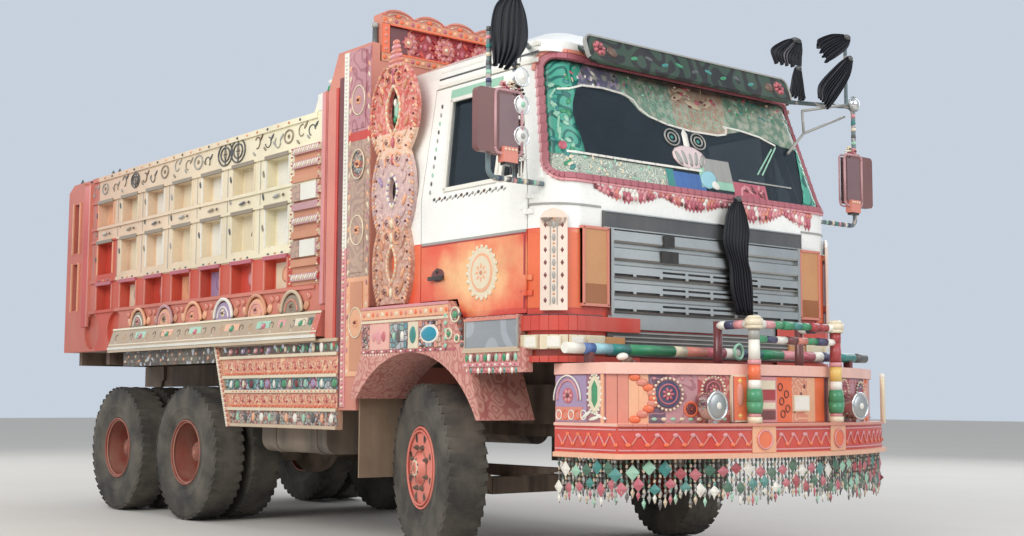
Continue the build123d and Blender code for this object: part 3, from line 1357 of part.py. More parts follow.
# Front wheels, turned to the right about their kingpins
turn = radians(steer_angle)
knuckle_spindle = 70
for side, word in ((-1, "right"), (1, "left")):
    outward = Vector(-side * sin(turn), side * cos(turn), 0)
    kingpin = Vector(front_axle_x, side * kingpin_y, axle_z)
    centre = kingpin + outward * wheel_offset
    plane = wheel_plane(centre, outward)
    axis = Axis(centre, outward)
    save(make_tyres(plane, (0,), axis), "front_tyre_" + word)
    save(make_rim(plane, (0,), axis, 75, -50, 150, 32 + seat_gap), "front_rim_" + word)
    with BuildPart() as knuckle:
        with BuildSketch(Plane(origin=kingpin - Vector(0, 0, 110), x_dir=outward, z_dir=(0, 0, 1))):
            Circle(kingpin_radius)
        extrude(amount=220)
        for z in (axle_z - 105, axle_z + eye_height / 2 + 8):
            with BuildSketch(Plane(origin=(kingpin.X, kingpin.Y, z), x_dir=outward, z_dir=(0, 0, 1))):
                Circle(44)
                with Locations((42, 0)):
                    Rectangle(84, 60)
            extrude(amount=50)
        with BuildSketch(Plane(origin=kingpin + outward * 70 - Vector(0, 0, 105), x_dir=outward, z_dir=(0, 0, 1))):
            Rectangle(30, 60)
        extrude(amount=210)
        rod(kingpin + outward * 60, kingpin + outward * (wheel_offset + 140), 32)
    save(knuckle, "knuckle_" + word)

# Rear wheels: twin tyres on one rim piece at each end of both rear axles
outer_middle = rear_outer_y - tyre_width / 2
for number, x in ((2, second_axle_x), (3, third_axle_x)):
    for side, word in ((-1, "right"), (1, "left")):
        outward = Vector(0, side, 0)
        centre = Vector(x, side * (outer_middle - twin_pitch / 2), axle_z)
        plane = wheel_plane(centre, outward)
        axis = Axis(centre, outward)
        middles = (-twin_pitch / 2, twin_pitch / 2)
        label = "_axle_" + str(number) + "_" + word
        save(make_tyres(plane, middles, axis), "tyres" + label)
        save(make_rim(plane, middles, axis, 25, -200, 190, spindle_radius + seat_gap), "rims" + label)
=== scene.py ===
import math
import random

import bmesh
import bpy
from mathutils import Matrix, Vector


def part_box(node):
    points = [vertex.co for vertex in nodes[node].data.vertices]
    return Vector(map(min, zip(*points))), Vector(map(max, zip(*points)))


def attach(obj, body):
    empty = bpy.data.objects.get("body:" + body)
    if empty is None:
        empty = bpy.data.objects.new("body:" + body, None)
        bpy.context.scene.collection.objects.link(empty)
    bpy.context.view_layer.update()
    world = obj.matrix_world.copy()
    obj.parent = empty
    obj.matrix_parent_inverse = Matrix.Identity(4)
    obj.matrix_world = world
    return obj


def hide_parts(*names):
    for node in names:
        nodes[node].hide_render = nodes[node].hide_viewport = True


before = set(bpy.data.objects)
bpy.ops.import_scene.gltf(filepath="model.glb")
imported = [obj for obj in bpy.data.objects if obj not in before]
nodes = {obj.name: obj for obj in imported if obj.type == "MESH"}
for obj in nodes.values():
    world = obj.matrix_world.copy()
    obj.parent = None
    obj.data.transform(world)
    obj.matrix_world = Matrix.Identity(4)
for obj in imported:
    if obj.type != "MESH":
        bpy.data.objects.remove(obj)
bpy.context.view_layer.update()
frontAxle = 1.83  # x of the front axle; every x below is this plus or minus a distance
print("frame loaded:", len(nodes), "nodes")

# The photograph's viewpoint, in metres and degrees
cameraPlace = {"spot": (8.807, -6.155, 0.945), "yaw": 140.751, "pitch": 5.516, "roll": -0.259,
               "lens": 48.43}
yaw, pitch, roll = (math.radians(cameraPlace[k]) for k in ("yaw", "pitch", "roll"))
ahead = Vector((math.cos(yaw) * math.cos(pitch), math.sin(yaw) * math.cos(pitch), math.sin(pitch)))
level = Vector((math.sin(yaw), -math.cos(yaw), 0))
down = ahead.cross(level)
across = level * math.cos(roll) + down * math.sin(roll)
below = down * math.cos(roll) - level * math.sin(roll)
cameraData = bpy.data.cameras.new("camera")
cameraData.lens = cameraPlace["lens"]
cameraData.sensor_width = 36
camera = bpy.data.objects.new("camera", cameraData)
turned = Matrix((across, -below, -ahead)).transposed().to_4x4()
turned.translation = Vector(cameraPlace["spot"])
camera.matrix_world = turned
bpy.context.scene.collection.objects.link(camera)
bpy.context.scene.camera = camera
bpy.context.scene.view_settings.view_transform = "Standard"

# Soft studio light: a broad key from the truck's right, and fills from ahead, the left and behind
studio = {
    "key": {"spot": (5.5, -11.0, 8.5), "size": 8.0, "power": 1150, "tint": (1.0, 0.97, 0.92)},
    "fill": {"spot": (11.5, 1.5, 6.5), "size": 8.0, "power": 420, "tint": (0.95, 0.97, 1.0)},
    "left": {"spot": (-2.0, 12.0, 8.0), "size": 9.0, "power": 480, "tint": (0.97, 0.98, 1.0)},
    "back": {"spot": (-13.0, -2.0, 8.0), "size": 8.0, "power": 420, "tint": (1.0, 0.98, 0.95)},
}
for label, values in studio.items():
    lamp = bpy.data.lights.new(label, "AREA")
    lamp.size, lamp.energy, lamp.color = values["size"], values["power"], values["tint"]
    holder = bpy.data.objects.new(label, lamp)
    holder.location = values["spot"]
    aim = Vector((-0.5, 0, 1.5)) - Vector(values["spot"])
    holder.rotation_euler = aim.to_track_quat("-Z", "Y").to_euler()
    bpy.context.scene.collection.objects.link(holder)


# Node tools
def feed(tree, value, socket):
    if isinstance(value, bpy.types.NodeSocket):
        tree.links.new(value, socket)
    elif socket.type == "RGBA" and len(value) == 3:
        socket.default_value = (*value, 1)
    else:
        socket.default_value = value


def addNode(tree, kind, **values):
    node = tree.nodes.new("ShaderNode" + kind)
    for key, value in values.items():
        setattr(node, key, value)
    return node


def mixed(tree, factor, first, second, blend="MIX"):
    node = addNode(tree, "Mix", data_type="RGBA", blend_type=blend)
    for value, socket in zip((factor, first, second), (node.inputs[0], node.inputs[6], node.inputs[7])):
        feed(tree, value, socket)
    return node.outputs[2]


def worked(tree, operation, *values, clamp=False):
    node = addNode(tree, "Math", operation=operation, use_clamp=clamp)
    for value, socket in zip(values, node.inputs):
        feed(tree, value, socket)
    return node.outputs[0]


def spread(tree, value, low, high, toLow=0.0, toHigh=1.0):
    node = addNode(tree, "MapRange")
    for entry, socket in zip((value, low, high, toLow, toHigh), node.inputs):
        feed(tree, entry, socket)
    return node.outputs[0]


def noise(tree, where, scale, detail=3.0, rough=0.55):
    node = addNode(tree, "TexNoise")
    wire(tree, node, {"Vector": where, "Scale": scale, "Detail": detail, "Roughness": rough})
    return node.outputs["Fac"]


def newGroup(name, inputs, outputs):
    tree = bpy.data.node_groups.new(name, "ShaderNodeTree")
    for label, kind, value in inputs:
        socket = tree.interface.new_socket(label, in_out="INPUT", socket_type="NodeSocket" + kind)
        socket.default_value = (*value, 1) if kind == "Color" else value
    for label, kind in outputs:
        tree.interface.new_socket(label, in_out="OUTPUT", socket_type="NodeSocket" + kind)
    return tree, tree.nodes.new("NodeGroupInput").outputs, tree.nodes.new("NodeGroupOutput").inputs


def wire(tree, node, values):
    for name, value in values.items():
        feed(tree, value, node.inputs[name])


def useGroup(tree, group, **values):
    node = addNode(tree, "Group", node_tree=group)
    wire(tree, node, values)
    return node.outputs


def addBump(tree, shader, height, strength, distance):
    rise = addNode(tree, "Bump")
    wire(tree, rise, {"Strength": strength, "Distance": distance, "Height": height})
    feed(tree, rise.outputs[0], shader.inputs["Normal"])


# Wear that every painted surface shares: fading, chips down to primer, streaks and road dust
wearTree, wearIn, wearOut = newGroup(
    "paintWear",
    (("Colour", "Color", (0.8, 0.8, 0.8)), ("Under", "Color", (0.22, 0.15, 0.12)),
     ("Chips", "Float", 0.3), ("Dust", "Float", 0.4), ("Gloss", "Float", 0.35)),
    (("Colour", "Color"), ("Roughness", "Float"), ("Height", "Float")),
)
spot = addNode(wearTree, "TexCoord").outputs["Object"]
tall = addNode(wearTree, "Mapping")
tall.inputs["Scale"].default_value = (9, 9, 0.8)
wearTree.links.new(spot, tall.inputs["Vector"])
faded = noise(wearTree, spot, 2.2, 4)
fine = noise(wearTree, spot, 60, 4, 0.65)
speck = noise(wearTree, spot, 26, 5, 0.7)
runs = noise(wearTree, tall.outputs[0], 1.0, 3)
tone = spread(wearTree, faded, 0.3, 0.7, 0.86, 1.07)
grainTone = spread(wearTree, fine, 0.3, 0.7, 0.95, 1.04)
shade = addNode(wearTree, "CombineColor")
for socket in shade.inputs:
    wearTree.links.new(worked(wearTree, "MULTIPLY", tone, grainTone), socket)
shaded = mixed(wearTree, 1.0, wearIn["Colour"], shade.outputs[0], "MULTIPLY")
chipEdge = worked(wearTree, "SUBTRACT", 0.78, worked(wearTree, "MULTIPLY", wearIn["Chips"], 0.22))
chip = spread(wearTree, speck, chipEdge, worked(wearTree, "ADD", chipEdge, 0.02))
chipped = mixed(wearTree, chip, shaded, wearIn["Under"])
height = addNode(wearTree, "SeparateXYZ")
wearTree.links.new(spot, height.inputs[0])
low = spread(wearTree, height.outputs[2], 0.3, 2.2, 1.0, 0.35)
cloud = spread(wearTree, worked(wearTree, "ADD", faded, runs), 0.7, 1.35)
dust = worked(wearTree, "MULTIPLY", worked(wearTree, "MULTIPLY", low, cloud), wearIn["Dust"], clamp=True)
dusted = mixed(wearTree, dust, chipped, (0.42, 0.33, 0.25))
wearTree.links.new(dusted, wearOut["Colour"])
wearTree.links.new(worked(wearTree, "ADD", wearIn["Gloss"], worked(wearTree, "MULTIPLY", dust, 0.5),
                          clamp=True), wearOut["Roughness"])
wearTree.links.new(worked(wearTree, "SUBTRACT", worked(wearTree, "MULTIPLY", fine, 0.25), chip),
                   wearOut["Height"])

# Small cut pieces of coloured foil and mirror, as set by hand on such trucks
foilTree, foilIn, foilOut = newGroup(
    "foilMosaic",
    (("First", "Color", (0.8, 0.4, 0.4)), ("Second", "Color", (0.7, 0.7, 0.7)),
     ("Third", "Color", (0.1, 0.4, 0.4)),
     ("Seam", "Color", (0.25, 0.15, 0.12)), ("Scale", "Float", 30.0)),
    (("Colour", "Color"), ("Mirror", "Float"), ("Height", "Float")),
)
spot = addNode(foilTree, "TexCoord").outputs["Object"]
cells = addNode(foilTree, "TexVoronoi", feature="F1")
edges = addNode(foilTree, "TexVoronoi", feature="DISTANCE_TO_EDGE")
for cell in (cells, edges):
    foilTree.links.new(spot, cell.inputs["Vector"])
    foilTree.links.new(foilIn["Scale"], cell.inputs["Scale"])
    cell.inputs["Randomness"].default_value = 0.75
split = addNode(foilTree, "SeparateColor")
foilTree.links.new(cells.outputs["Color"], split.inputs[0])
second = worked(foilTree, "GREATER_THAN", split.outputs[0], 0.55)
third = worked(foilTree, "GREATER_THAN", split.outputs[1], 0.72)
bright = worked(foilTree, "GREATER_THAN", split.outputs[2], 0.86)
tiles = mixed(foilTree, second, foilIn["First"], foilIn["Second"])
tiles = mixed(foilTree, third, tiles, foilIn["Third"])
tiles = mixed(foilTree, bright, tiles, (0.75, 0.74, 0.72))
seam = worked(foilTree, "LESS_THAN", edges.outputs["Distance"], 0.07)
foilTree.links.new(mixed(foilTree, seam, tiles, foilIn["Seam"]), foilOut["Colour"])
foilTree.links.new(worked(foilTree, "MULTIPLY", bright, worked(foilTree, "SUBTRACT", 1.0, seam)),
                   foilOut["Mirror"])
foilTree.links.new(worked(foilTree, "SUBTRACT", split.outputs[0], seam), foilOut["Height"])

# Curling brush lines: level lines of a smooth noise
scrollTree, scrollIn, scrollOut = newGroup(
    "scrollLines",
    (("Scale", "Float", 6.0), ("Lines", "Float", 5.0), ("Width", "Float", 0.12)),
    (("Mask", "Float"),),
)
spot = addNode(scrollTree, "TexCoord").outputs["Object"]
swirl = addNode(scrollTree, "TexNoise")
swirl.inputs["Detail"].default_value = 0.0
scrollTree.links.new(spot, swirl.inputs["Vector"])
scrollTree.links.new(scrollIn["Scale"], swirl.inputs["Scale"])
steps = worked(scrollTree, "FRACT", worked(scrollTree, "MULTIPLY", swirl.outputs["Fac"], scrollIn["Lines"]))
away = worked(scrollTree, "ABSOLUTE", worked(scrollTree, "SUBTRACT", steps, 0.5))
scrollTree.links.new(worked(scrollTree, "LESS_THAN", away, scrollIn["Width"]), scrollOut["Mask"])


def plainColour(red, green, blue):
    return tuple(((c + 0.055) / 1.055) ** 2.4 if c > 0.04 else c / 12.92 for c in (red, green, blue))


def newMaterial(name):
    material = bpy.data.materials.new(name)
    material.use_nodes = True
    tree = material.node_tree
    shader = tree.nodes["Principled BSDF"]
    return material, tree, shader


def wornPaint(name, colour, chips=0.3, dust=0.4, gloss=0.35, metal=0.0, bump=0.15, coat=0.0):
    material, tree, shader = newMaterial(name)
    colour = plainColour(*colour) if isinstance(colour, tuple) else colour(tree)
    worn = useGroup(tree, wearTree, Colour=colour, Chips=chips, Dust=dust, Gloss=gloss)
    wire(tree, shader, {"Base Color": worn["Colour"], "Roughness": worn["Roughness"], "Metallic": metal,
                        "Coat Weight": coat, "Coat Roughness": 0.15})
    addBump(tree, shader, worn["Height"], bump, 0.002)
    return material


def foilPaint(name, first, second, third, scale):
    material, tree, shader = newMaterial(name)
    foil = useGroup(tree, foilTree, First=plainColour(*first), Second=plainColour(*second),
                    Third=plainColour(*third), Seam=plainColour(0.25, 0.15, 0.12), Scale=scale)
    worn = useGroup(tree, wearTree, Colour=foil["Colour"], Chips=0.15, Dust=0.45, Gloss=0.3)
    shine = worked(tree, "MULTIPLY", foil["Mirror"], 0.15)
    wire(tree, shader,
         {"Base Color": worn["Colour"], "Roughness": worked(tree, "SUBTRACT", worn["Roughness"], shine),
          "Metallic": worked(tree, "MULTIPLY", foil["Mirror"], 0.8)})
    addBump(tree, shader, foil["Height"], 0.4, 0.003)
    return material


def scrolled(base, line, scale=6.0, lines=5.0, width=0.1):
    def build(tree):
        mask = useGroup(tree, scrollTree, Scale=scale, Lines=lines, Width=width)["Mask"]
        return mixed(tree, mask, plainColour(*base), plainColour(*line))
    return build


def axisValue(tree, axis):
    spot = addNode(tree, "TexCoord").outputs["Object"]
    parts = addNode(tree, "SeparateXYZ")
    tree.links.new(spot, parts.inputs[0])
    return parts.outputs["XYZ".index(axis)], spot


def banded(tree, value, low, high, bands):
    ramp = addNode(tree, "ValToRGB")
    ramp.color_ramp.interpolation = "CONSTANT"
    feed(tree, spread(tree, value, low, high), ramp.inputs[0])
    stops = ramp.color_ramp.elements
    for index, (start, colour) in enumerate(bands):
        stop = stops[index] if index < 2 else stops.new(1.0)
        stop.position = (start - low) / (high - low)
        stop.color = (*plainColour(*colour), 1)
    return ramp.outputs[0]


# Enamels of the ornaments, as (red, green, blue) seen on a screen
enamels = {
    "white": (0.93, 0.92, 0.88), "cream": (0.9, 0.85, 0.74),
    "peach": (0.93, 0.69, 0.54), "salmon": (0.85, 0.52, 0.45), "pink": (0.86, 0.58, 0.6),
    "rose": (0.74, 0.36, 0.42), "red": (0.8, 0.25, 0.2), "crimson": (0.66, 0.14, 0.19),
    "maroon": (0.42, 0.16, 0.18), "orange": (0.92, 0.42, 0.24), "yellow": (0.92, 0.76, 0.4),
    "green": (0.14, 0.56, 0.38), "teal": (0.13, 0.52, 0.5), "mint": (0.6, 0.8, 0.7),
    "navy": (0.15, 0.2, 0.37), "blue": (0.2, 0.4, 0.66), "cyan": (0.58, 0.79, 0.84),
    "lavender": (0.64, 0.55, 0.7), "purple": (0.34, 0.23, 0.4), "grey": (0.63, 0.63, 0.61),
    "slate": (0.3, 0.31, 0.32), "black": (0.05, 0.05, 0.055), "brown": (0.38, 0.26, 0.2),
    "tan": (0.8, 0.57, 0.37), "beige": (0.8, 0.72, 0.61),
}
palette = {}


def paintNamed(name):
    if name not in palette:
        palette[name] = wornPaint(name + "Enamel", enamels[name], chips=0.2, dust=0.3, gloss=0.3, coat=0.2)
    return palette[name]


def brightMetal(name, colour, gloss, dust=0.2):
    return wornPaint(name, colour, chips=0.1, dust=dust, gloss=gloss, metal=1.0, bump=0.05)


palette["chrome"] = brightMetal("chromePlate", (0.88, 0.88, 0.87), 0.08, 0.12)
palette["silver"] = brightMetal("silverPaint", (0.72, 0.73, 0.72), 0.38)
foils = (  # ink, material, three colours of tile, scale
    ("foilPink", "pinkFoil", (0.85, 0.6, 0.58), (0.8, 0.72, 0.68), (0.7, 0.42, 0.42), 34),
    ("foilSalmon", "salmonFoil", (0.86, 0.58, 0.5), (0.88, 0.72, 0.64), (0.66, 0.6, 0.66), 30),
    ("foilDark", "darkFoil", (0.27, 0.24, 0.2), (0.38, 0.4, 0.36), (0.55, 0.42, 0.34), 24),
    ("foilTeal", "tealFoil", (0.5, 0.66, 0.66), (0.68, 0.72, 0.76), (0.3, 0.56, 0.62), 26),
    ("foilMixed", "mixedFoil", (0.8, 0.66, 0.62), (0.62, 0.66, 0.62), (0.72, 0.4, 0.36), 40),
)
for ink, *values in foils:
    palette[ink] = foilPaint(*values)
wornPaints = (  # ink, material, colour, then chips, dust, gloss, metal, bump and coat as far as they differ
    ("scrollSalmon", "salmonScrolls", scrolled((0.86, 0.55, 0.46), (0.93, 0.78, 0.62), 14, 6, 0.11)),
    ("scrollPurple", "purpleScrolls", scrolled((0.36, 0.24, 0.38), (0.7, 0.46, 0.52), 9, 6, 0.08)),
    ("bandRose", "bandRose", scrolled((0.7, 0.3, 0.32), (0.82, 0.56, 0.52), 9, 4, 0.14), 0.3, 0.3),
    ("mauve", "mauvePink", scrolled((0.76, 0.55, 0.58), (0.66, 0.42, 0.46), 9, 4, 0.15), 0.3, 0.3),
    ("postTan", "postTan", scrolled((0.74, 0.62, 0.55), (0.66, 0.55, 0.5), 12, 4, 0.2), 0.4, 0.4),
    ("emerald", "emeraldPaint", scrolled((0.05, 0.4, 0.36), (0.28, 0.64, 0.55), 9, 4, 0.3), 0.0, 0.1, 0.25),
    ("paleLace", "paleLace", scrolled((0.6, 0.66, 0.6), (0.86, 0.88, 0.82), 26, 6, 0.15), 0.0, 0.1),
    ("visorFace", "visorFace", scrolled((0.075, 0.085, 0.085), (0.17, 0.27, 0.21), 6, 4, 0.22), 0.1, 0.15),
    ("stepGrey", "stepGrey", scrolled((0.64, 0.67, 0.7), (0.56, 0.59, 0.62), 5, 3, 0.3), 0.4, 0.2),
    # grey-brown: painted shade over the body's pockets, and also an ornament colour
    ("lintel", "lintelPaint", (0.56, 0.51, 0.44), 0.4, 0.4),
    ("crownRed", "crownRed", (0.64, 0.16, 0.2), 0.3, 0.25),
    ("peachTan", "peachTan", (0.82, 0.57, 0.44), 0.3, 0.3),
    ("tanDark", "tanDark", (0.62, 0.36, 0.17), 0.3, 0.3),
    ("vaneCream", "vaneCream", (0.92, 0.84, 0.78), 0.25, 0.2),
    ("fringeGreen", "fringeGreen", (0.22, 0.42, 0.34), 0.2, 0.3),
    ("fringeRose", "fringeRose", (0.66, 0.24, 0.3), 0.2, 0.3),
    ("shellPink", "shellPink", (0.88, 0.8, 0.8), 0.0, 0.1, 0.3),
    ("framePink", "framePink", (0.68, 0.38, 0.42), 0.3, 0.2),
    ("palePinkRim", "palePinkRim", (0.76, 0.58, 0.6), 0.2, 0.35, 0.4),
    ("slotDark", "slotDark", (0.26, 0.07, 0.07), 0.1, 0.3),
    ("palePink", "palePinkPaint", (0.9, 0.68, 0.64), 0.3, 0.3, 0.4),
    ("hubDust", "hubDust", (0.66, 0.42, 0.36), 0.4, 0.6, 0.6),
    ("hubSteel", "hubSteel", (0.4, 0.36, 0.33), 0.3, 0.6, 0.5, 0.3),
    ("blackCloth", "blackCloth", (0.022, 0.03, 0.08), 0.0, 0.03, 0.55, 0.0, 0.3),
    ("paleCloth", "paleStripe", (0.42, 0.39, 0.42), 0.0, 0.15, 0.55, 0.0, 0.3),
    ("ovalBlue", "ovalBlue", (0.1, 0.56, 0.66), 0.1, 0.1, 0.2, 0.0, 0.15, 0.4),
    ("mirrorFace", "mirrorFacePaint", (0.46, 0.34, 0.36), 0.05, 0.35, 0.28, 0.0, 0.15, 0.3),
    ("lampGlow", "lampLens", (0.9, 0.9, 0.88), 0.0, 0.12, 0.08, 0.0, 0.15, 0.8),
)
for ink, *values in wornPaints:
    palette[ink] = wornPaint(*values)
palette["mirrorGlass"] = brightMetal("mirrorGlass", (0.86, 0.88, 0.9), 0.04, 0.1)
print("paints made")

# Shape tools: a piece gathers points and faces with their paints, and a face is where ornament lies
shapes = {}


def newPiece():
    return {"points": [], "faces": [], "paints": [], "soft": [], "inks": []}


def takeShape(mesh, around=0, angle=math.tau):
    # points and faces of a bmesh, after a spin of its open outline where one is asked
    if around:
        whole = angle > math.tau - 0.02
        bmesh.ops.spin(mesh, geom=mesh.verts[:] + mesh.edges[:], cent=(0, 0, 0), axis=(0, 0, 1),
                       dvec=(0, 0, 0), angle=math.tau if whole else angle, steps=around, use_merge=whole)
        if not whole:
            bmesh.ops.holes_fill(mesh, edges=[edge for edge in mesh.edges if edge.is_boundary])
    bmesh.ops.recalc_face_normals(mesh, faces=mesh.faces[:])
    mesh.verts.index_update()
    shape = [v.co.copy() for v in mesh.verts], [tuple(v.index for v in f.verts) for f in mesh.faces]
    mesh.free()
    return shape


def shapeOf(kind, first=0, second=0):
    # plain forms of unit size, made once and placed many times
    key = (kind, first, second)
    if key not in shapes:
        mesh = bmesh.new()
        if kind == "box":
            bmesh.ops.create_cube(mesh, size=1)
        elif kind == "dome":
            bmesh.ops.create_uvsphere(mesh, u_segments=first, v_segments=second, radius=1)
        elif kind == "bead":
            bmesh.ops.create_icosphere(mesh, subdivisions=1, radius=1)
        elif kind == "ring":
            around, section, angle = first
            bmesh.ops.create_circle(mesh, segments=section, radius=second)
            bmesh.ops.rotate(mesh, verts=mesh.verts[:], cent=(0, 0, 0),
                             matrix=Matrix.Rotation(math.pi / 2, 3, "X"))
            bmesh.ops.translate(mesh, verts=mesh.verts[:], vec=(1, 0, 0))
        else:
            bmesh.ops.create_cone(mesh, cap_ends=True, segments=first, radius1=0.5,
                                  radius2=0.5 * second, depth=1)
        shapes[key] = takeShape(mesh, *((first[0], first[2]) if kind == "ring" else ()))
    return shapes[key]


def addShape(piece, shape, place, ink, smooth=False):
    if ink not in piece["inks"]:
        piece["inks"].append(ink)
    number, start = piece["inks"].index(ink), len(piece["points"])
    piece["points"].extend([place @ point for point in shape[0]])
    piece["faces"].extend([tuple(start + index for index in face) for face in shape[1]])
    piece["paints"].extend([number] * len(shape[1]))
    piece["soft"].extend([smooth and len(face) < 5 for face in shape[1]])


def faceAt(spot, right, up):
    right, up = Vector(right).normalized(), Vector(up).normalized()
    frameOf = Matrix((right, up, right.cross(up))).transposed().to_4x4()
    frameOf.translation = Vector(spot)
    return frameOf


def rightFace(y):
    return faceAt((0, y, 0), (1, 0, 0), (0, 0, 1))


def frontFace(x):
    return faceAt((x, 0, 0), (0, 1, 0), (0, 0, 1))


def placed(face, u, v, w=0.0, turn=0.0, size=(1, 1, 1)):
    return (face @ Matrix.Translation((u, v, w)) @ Matrix.Rotation(turn, 4, "Z")
            @ Matrix.Diagonal((*size, 1)))


def addBox(piece, face, u, v, w, size, ink, turn=0.0):
    addShape(piece, shapeOf("box"), placed(face, u, v, w, turn, size), ink)


def addStrip(piece, face, uFrom, uTo, vFrom, vTo, depth, ink, sunk=0.002):
    addBox(piece, face, (uFrom + uTo) / 2, (vFrom + vTo) / 2, (depth - sunk) / 2,
           (uTo - uFrom, vTo - vFrom, depth + sunk), ink)


def addDome(piece, face, u, v, w, wide, tall, depth, ink, turn=0.0, around=8, rings=4):
    addShape(piece, shapeOf("dome", around, rings),
             placed(face, u, v, w, turn, (wide / 2, tall / 2, depth)), ink, True)


def addBead(piece, face, u, v, w, radius, ink):
    addShape(piece, shapeOf("bead"), placed(face, u, v, w, 0, (radius, radius, radius)), ink, True)


def addDisc(piece, face, u, v, w, wide, tall, depth, ink, around=24, taper=0.94, turn=0.0):
    addShape(piece, shapeOf("cone", around, taper),
             placed(face, u, v, w + depth / 2, turn, (wide, tall, depth)), ink)


def addDiamond(piece, face, u, v, w, wide, tall, depth, ink, turn=0.0, sides=4):
    addShape(piece, shapeOf("cone", sides, 0.12),
             placed(face, u, v, w + depth / 2, turn, (wide, tall, depth)), ink)


def addRing(piece, face, u, v, w, wide, tall, tube, ink, turn=0.0, around=22, section=5, angle=math.tau):
    ratio = round(2 * tube / max(wide, tall), 2) or 0.01
    size = (wide / 2, tall / 2, tube / ratio)
    addShape(piece, shapeOf("ring", (around, section, round(angle, 2)), ratio),
             placed(face, u, v, w, turn, size), ink, True)


def addLathe(piece, face, w, outline, ink, around=48):
    # a closed outline of (radius, height) spun about the face's normal
    mesh = bmesh.new()
    corners = [mesh.verts.new((radius, 0, height)) for radius, height in outline]
    for first, second in zip(corners, corners[1:] + corners[:1]):
        mesh.edges.new((first, second))
    shape = takeShape(mesh, around)
    addShape(piece, shape, placed(face, 0, 0, w), ink, True)


def addSleeve(piece, start, end, radius, ink, endRadius=None, around=18):
    start, end = Vector(start), Vector(end)
    way = end - start
    place = Matrix.Translation((start + end) / 2) @ way.to_track_quat("Z", "Y").to_matrix().to_4x4()
    share = 1.0 if endRadius is None else endRadius / radius
    addShape(piece, shapeOf("cone", around, share),
             place @ Matrix.Diagonal((2 * radius, 2 * radius, way.length, 1)), ink, True)


def addRosette(piece, face, u, v, radius, petals, petalInk, heartInk, backInk=None, depth=0.008, turn=0.0):
    if backInk:
        addDisc(piece, face, u, v, 0, 2 * radius, 2 * radius, depth * 0.5, backInk)
    for step in range(petals):
        angle = turn + math.tau * step / petals
        addDome(piece, face, u + 0.55 * radius * math.cos(angle), v + 0.55 * radius * math.sin(angle),
                depth * 0.4, 0.72 * radius, 0.46 * radius, depth * 0.7, petalInk, angle)
    addDome(piece, face, u, v, depth * 0.6, 0.5 * radius, 0.5 * radius, depth, heartInk)


def addBar(piece, face, u, v, wide, tall, depth, ink, sunk=0.002):
    # a strip given by its middle
    addBox(piece, face, u, v, (depth - sunk) / 2, (wide, tall, depth + sunk), ink)


def inLine(u, v, uStep, vStep, count):
    return [(u + uStep * step, v + vStep * step) for step in range(count)]


def inCircle(u, v, wide, tall, count):
    angles = [math.tau * step / count for step in range(count)]
    return [(u + wide * math.cos(angle), v + tall * math.sin(angle)) for angle in angles]


def domeRow(piece, face, spots, w, size, inks, turn=0.0, around=8, rings=4):
    # a dome on each (u, v) spot; the enamels take turns
    for step, (u, v) in enumerate(spots):
        addDome(piece, face, u, v, w, *size, inks[step % len(inks)], turn, around, rings)


def beadRow(piece, face, spots, w, radius, inks):
    for step, (u, v) in enumerate(spots):
        addBead(piece, face, u, v, w, radius, inks[step % len(inks)])


def placeBox(piece, low, high, ink):
    low, high = Vector(low), Vector(high)
    addShape(piece, shapeOf("box"),
             Matrix.Translation((low + high) / 2) @ Matrix.Diagonal((*(high - low), 1)), ink)


def addRun(piece, face, outline, depth, ink, sunk=0.0):
    # flat plate cut to an outline of (u, v) points that run anticlockwise
    mesh = bmesh.new()
    plate = mesh.faces.new([mesh.verts.new((u, v, -sunk)) for u, v in outline])
    raised = bmesh.ops.extrude_face_region(mesh, geom=[plate])["geom"]
    top = [part for part in raised if isinstance(part, bmesh.types.BMVert)]
    bmesh.ops.translate(mesh, verts=top, vec=(0, 0, depth + sunk))
    addShape(piece, takeShape(mesh), face, ink)


def finishPiece(piece, name, body, both=False, flip=False, bevel=0.0, stands=()):
    points, faces = [tuple(point) for point in piece["points"]], list(piece["faces"])
    paints, soft = list(piece["paints"]), list(piece["soft"])
    if both or flip:
        turned = [tuple(reversed(face)) for face in faces]
        mirrored = [(x, -y, z) for x, y, z in points]
        if flip:
            points, faces = mirrored, turned
        else:
            start = len(points)
            points += mirrored
            faces += [tuple(start + index for index in face) for face in turned]
            paints, soft = paints * 2, soft * 2
    data = bpy.data.meshes.new(name)
    data.from_pydata(points, [], faces)
    for ink in piece["inks"]:
        data.materials.append(palette[ink] if ink in palette else paintNamed(ink))
    data.polygons.foreach_set("material_index", paints)
    data.polygons.foreach_set("use_smooth", soft)
    data.update()
    made = bpy.data.objects.new(name, data)
    bpy.context.scene.collection.objects.link(made)
    if bevel:
        edges = made.modifiers.new("edges", "BEVEL")
        edges.width, edges.segments, edges.limit_method = bevel, 2, "ANGLE"
    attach(made, body)
    if stands:
        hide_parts(*stands)
    return made


def bothSides(build, name, bodies, bevel=0.0):
    for word, flip in (("Right", False), ("Left", True)):
        piece = newPiece()
        build(piece)
        finishPiece(piece, name + word, bodies[flip], flip=flip, bevel=bevel)


def repaint(material, *names):
    for name in names:
        for slotOf in nodes[name].material_slots:
            slotOf.link = "OBJECT"
            slotOf.material = material
        if not nodes[name].material_slots:
            nodes[name].data.materials.append(material)


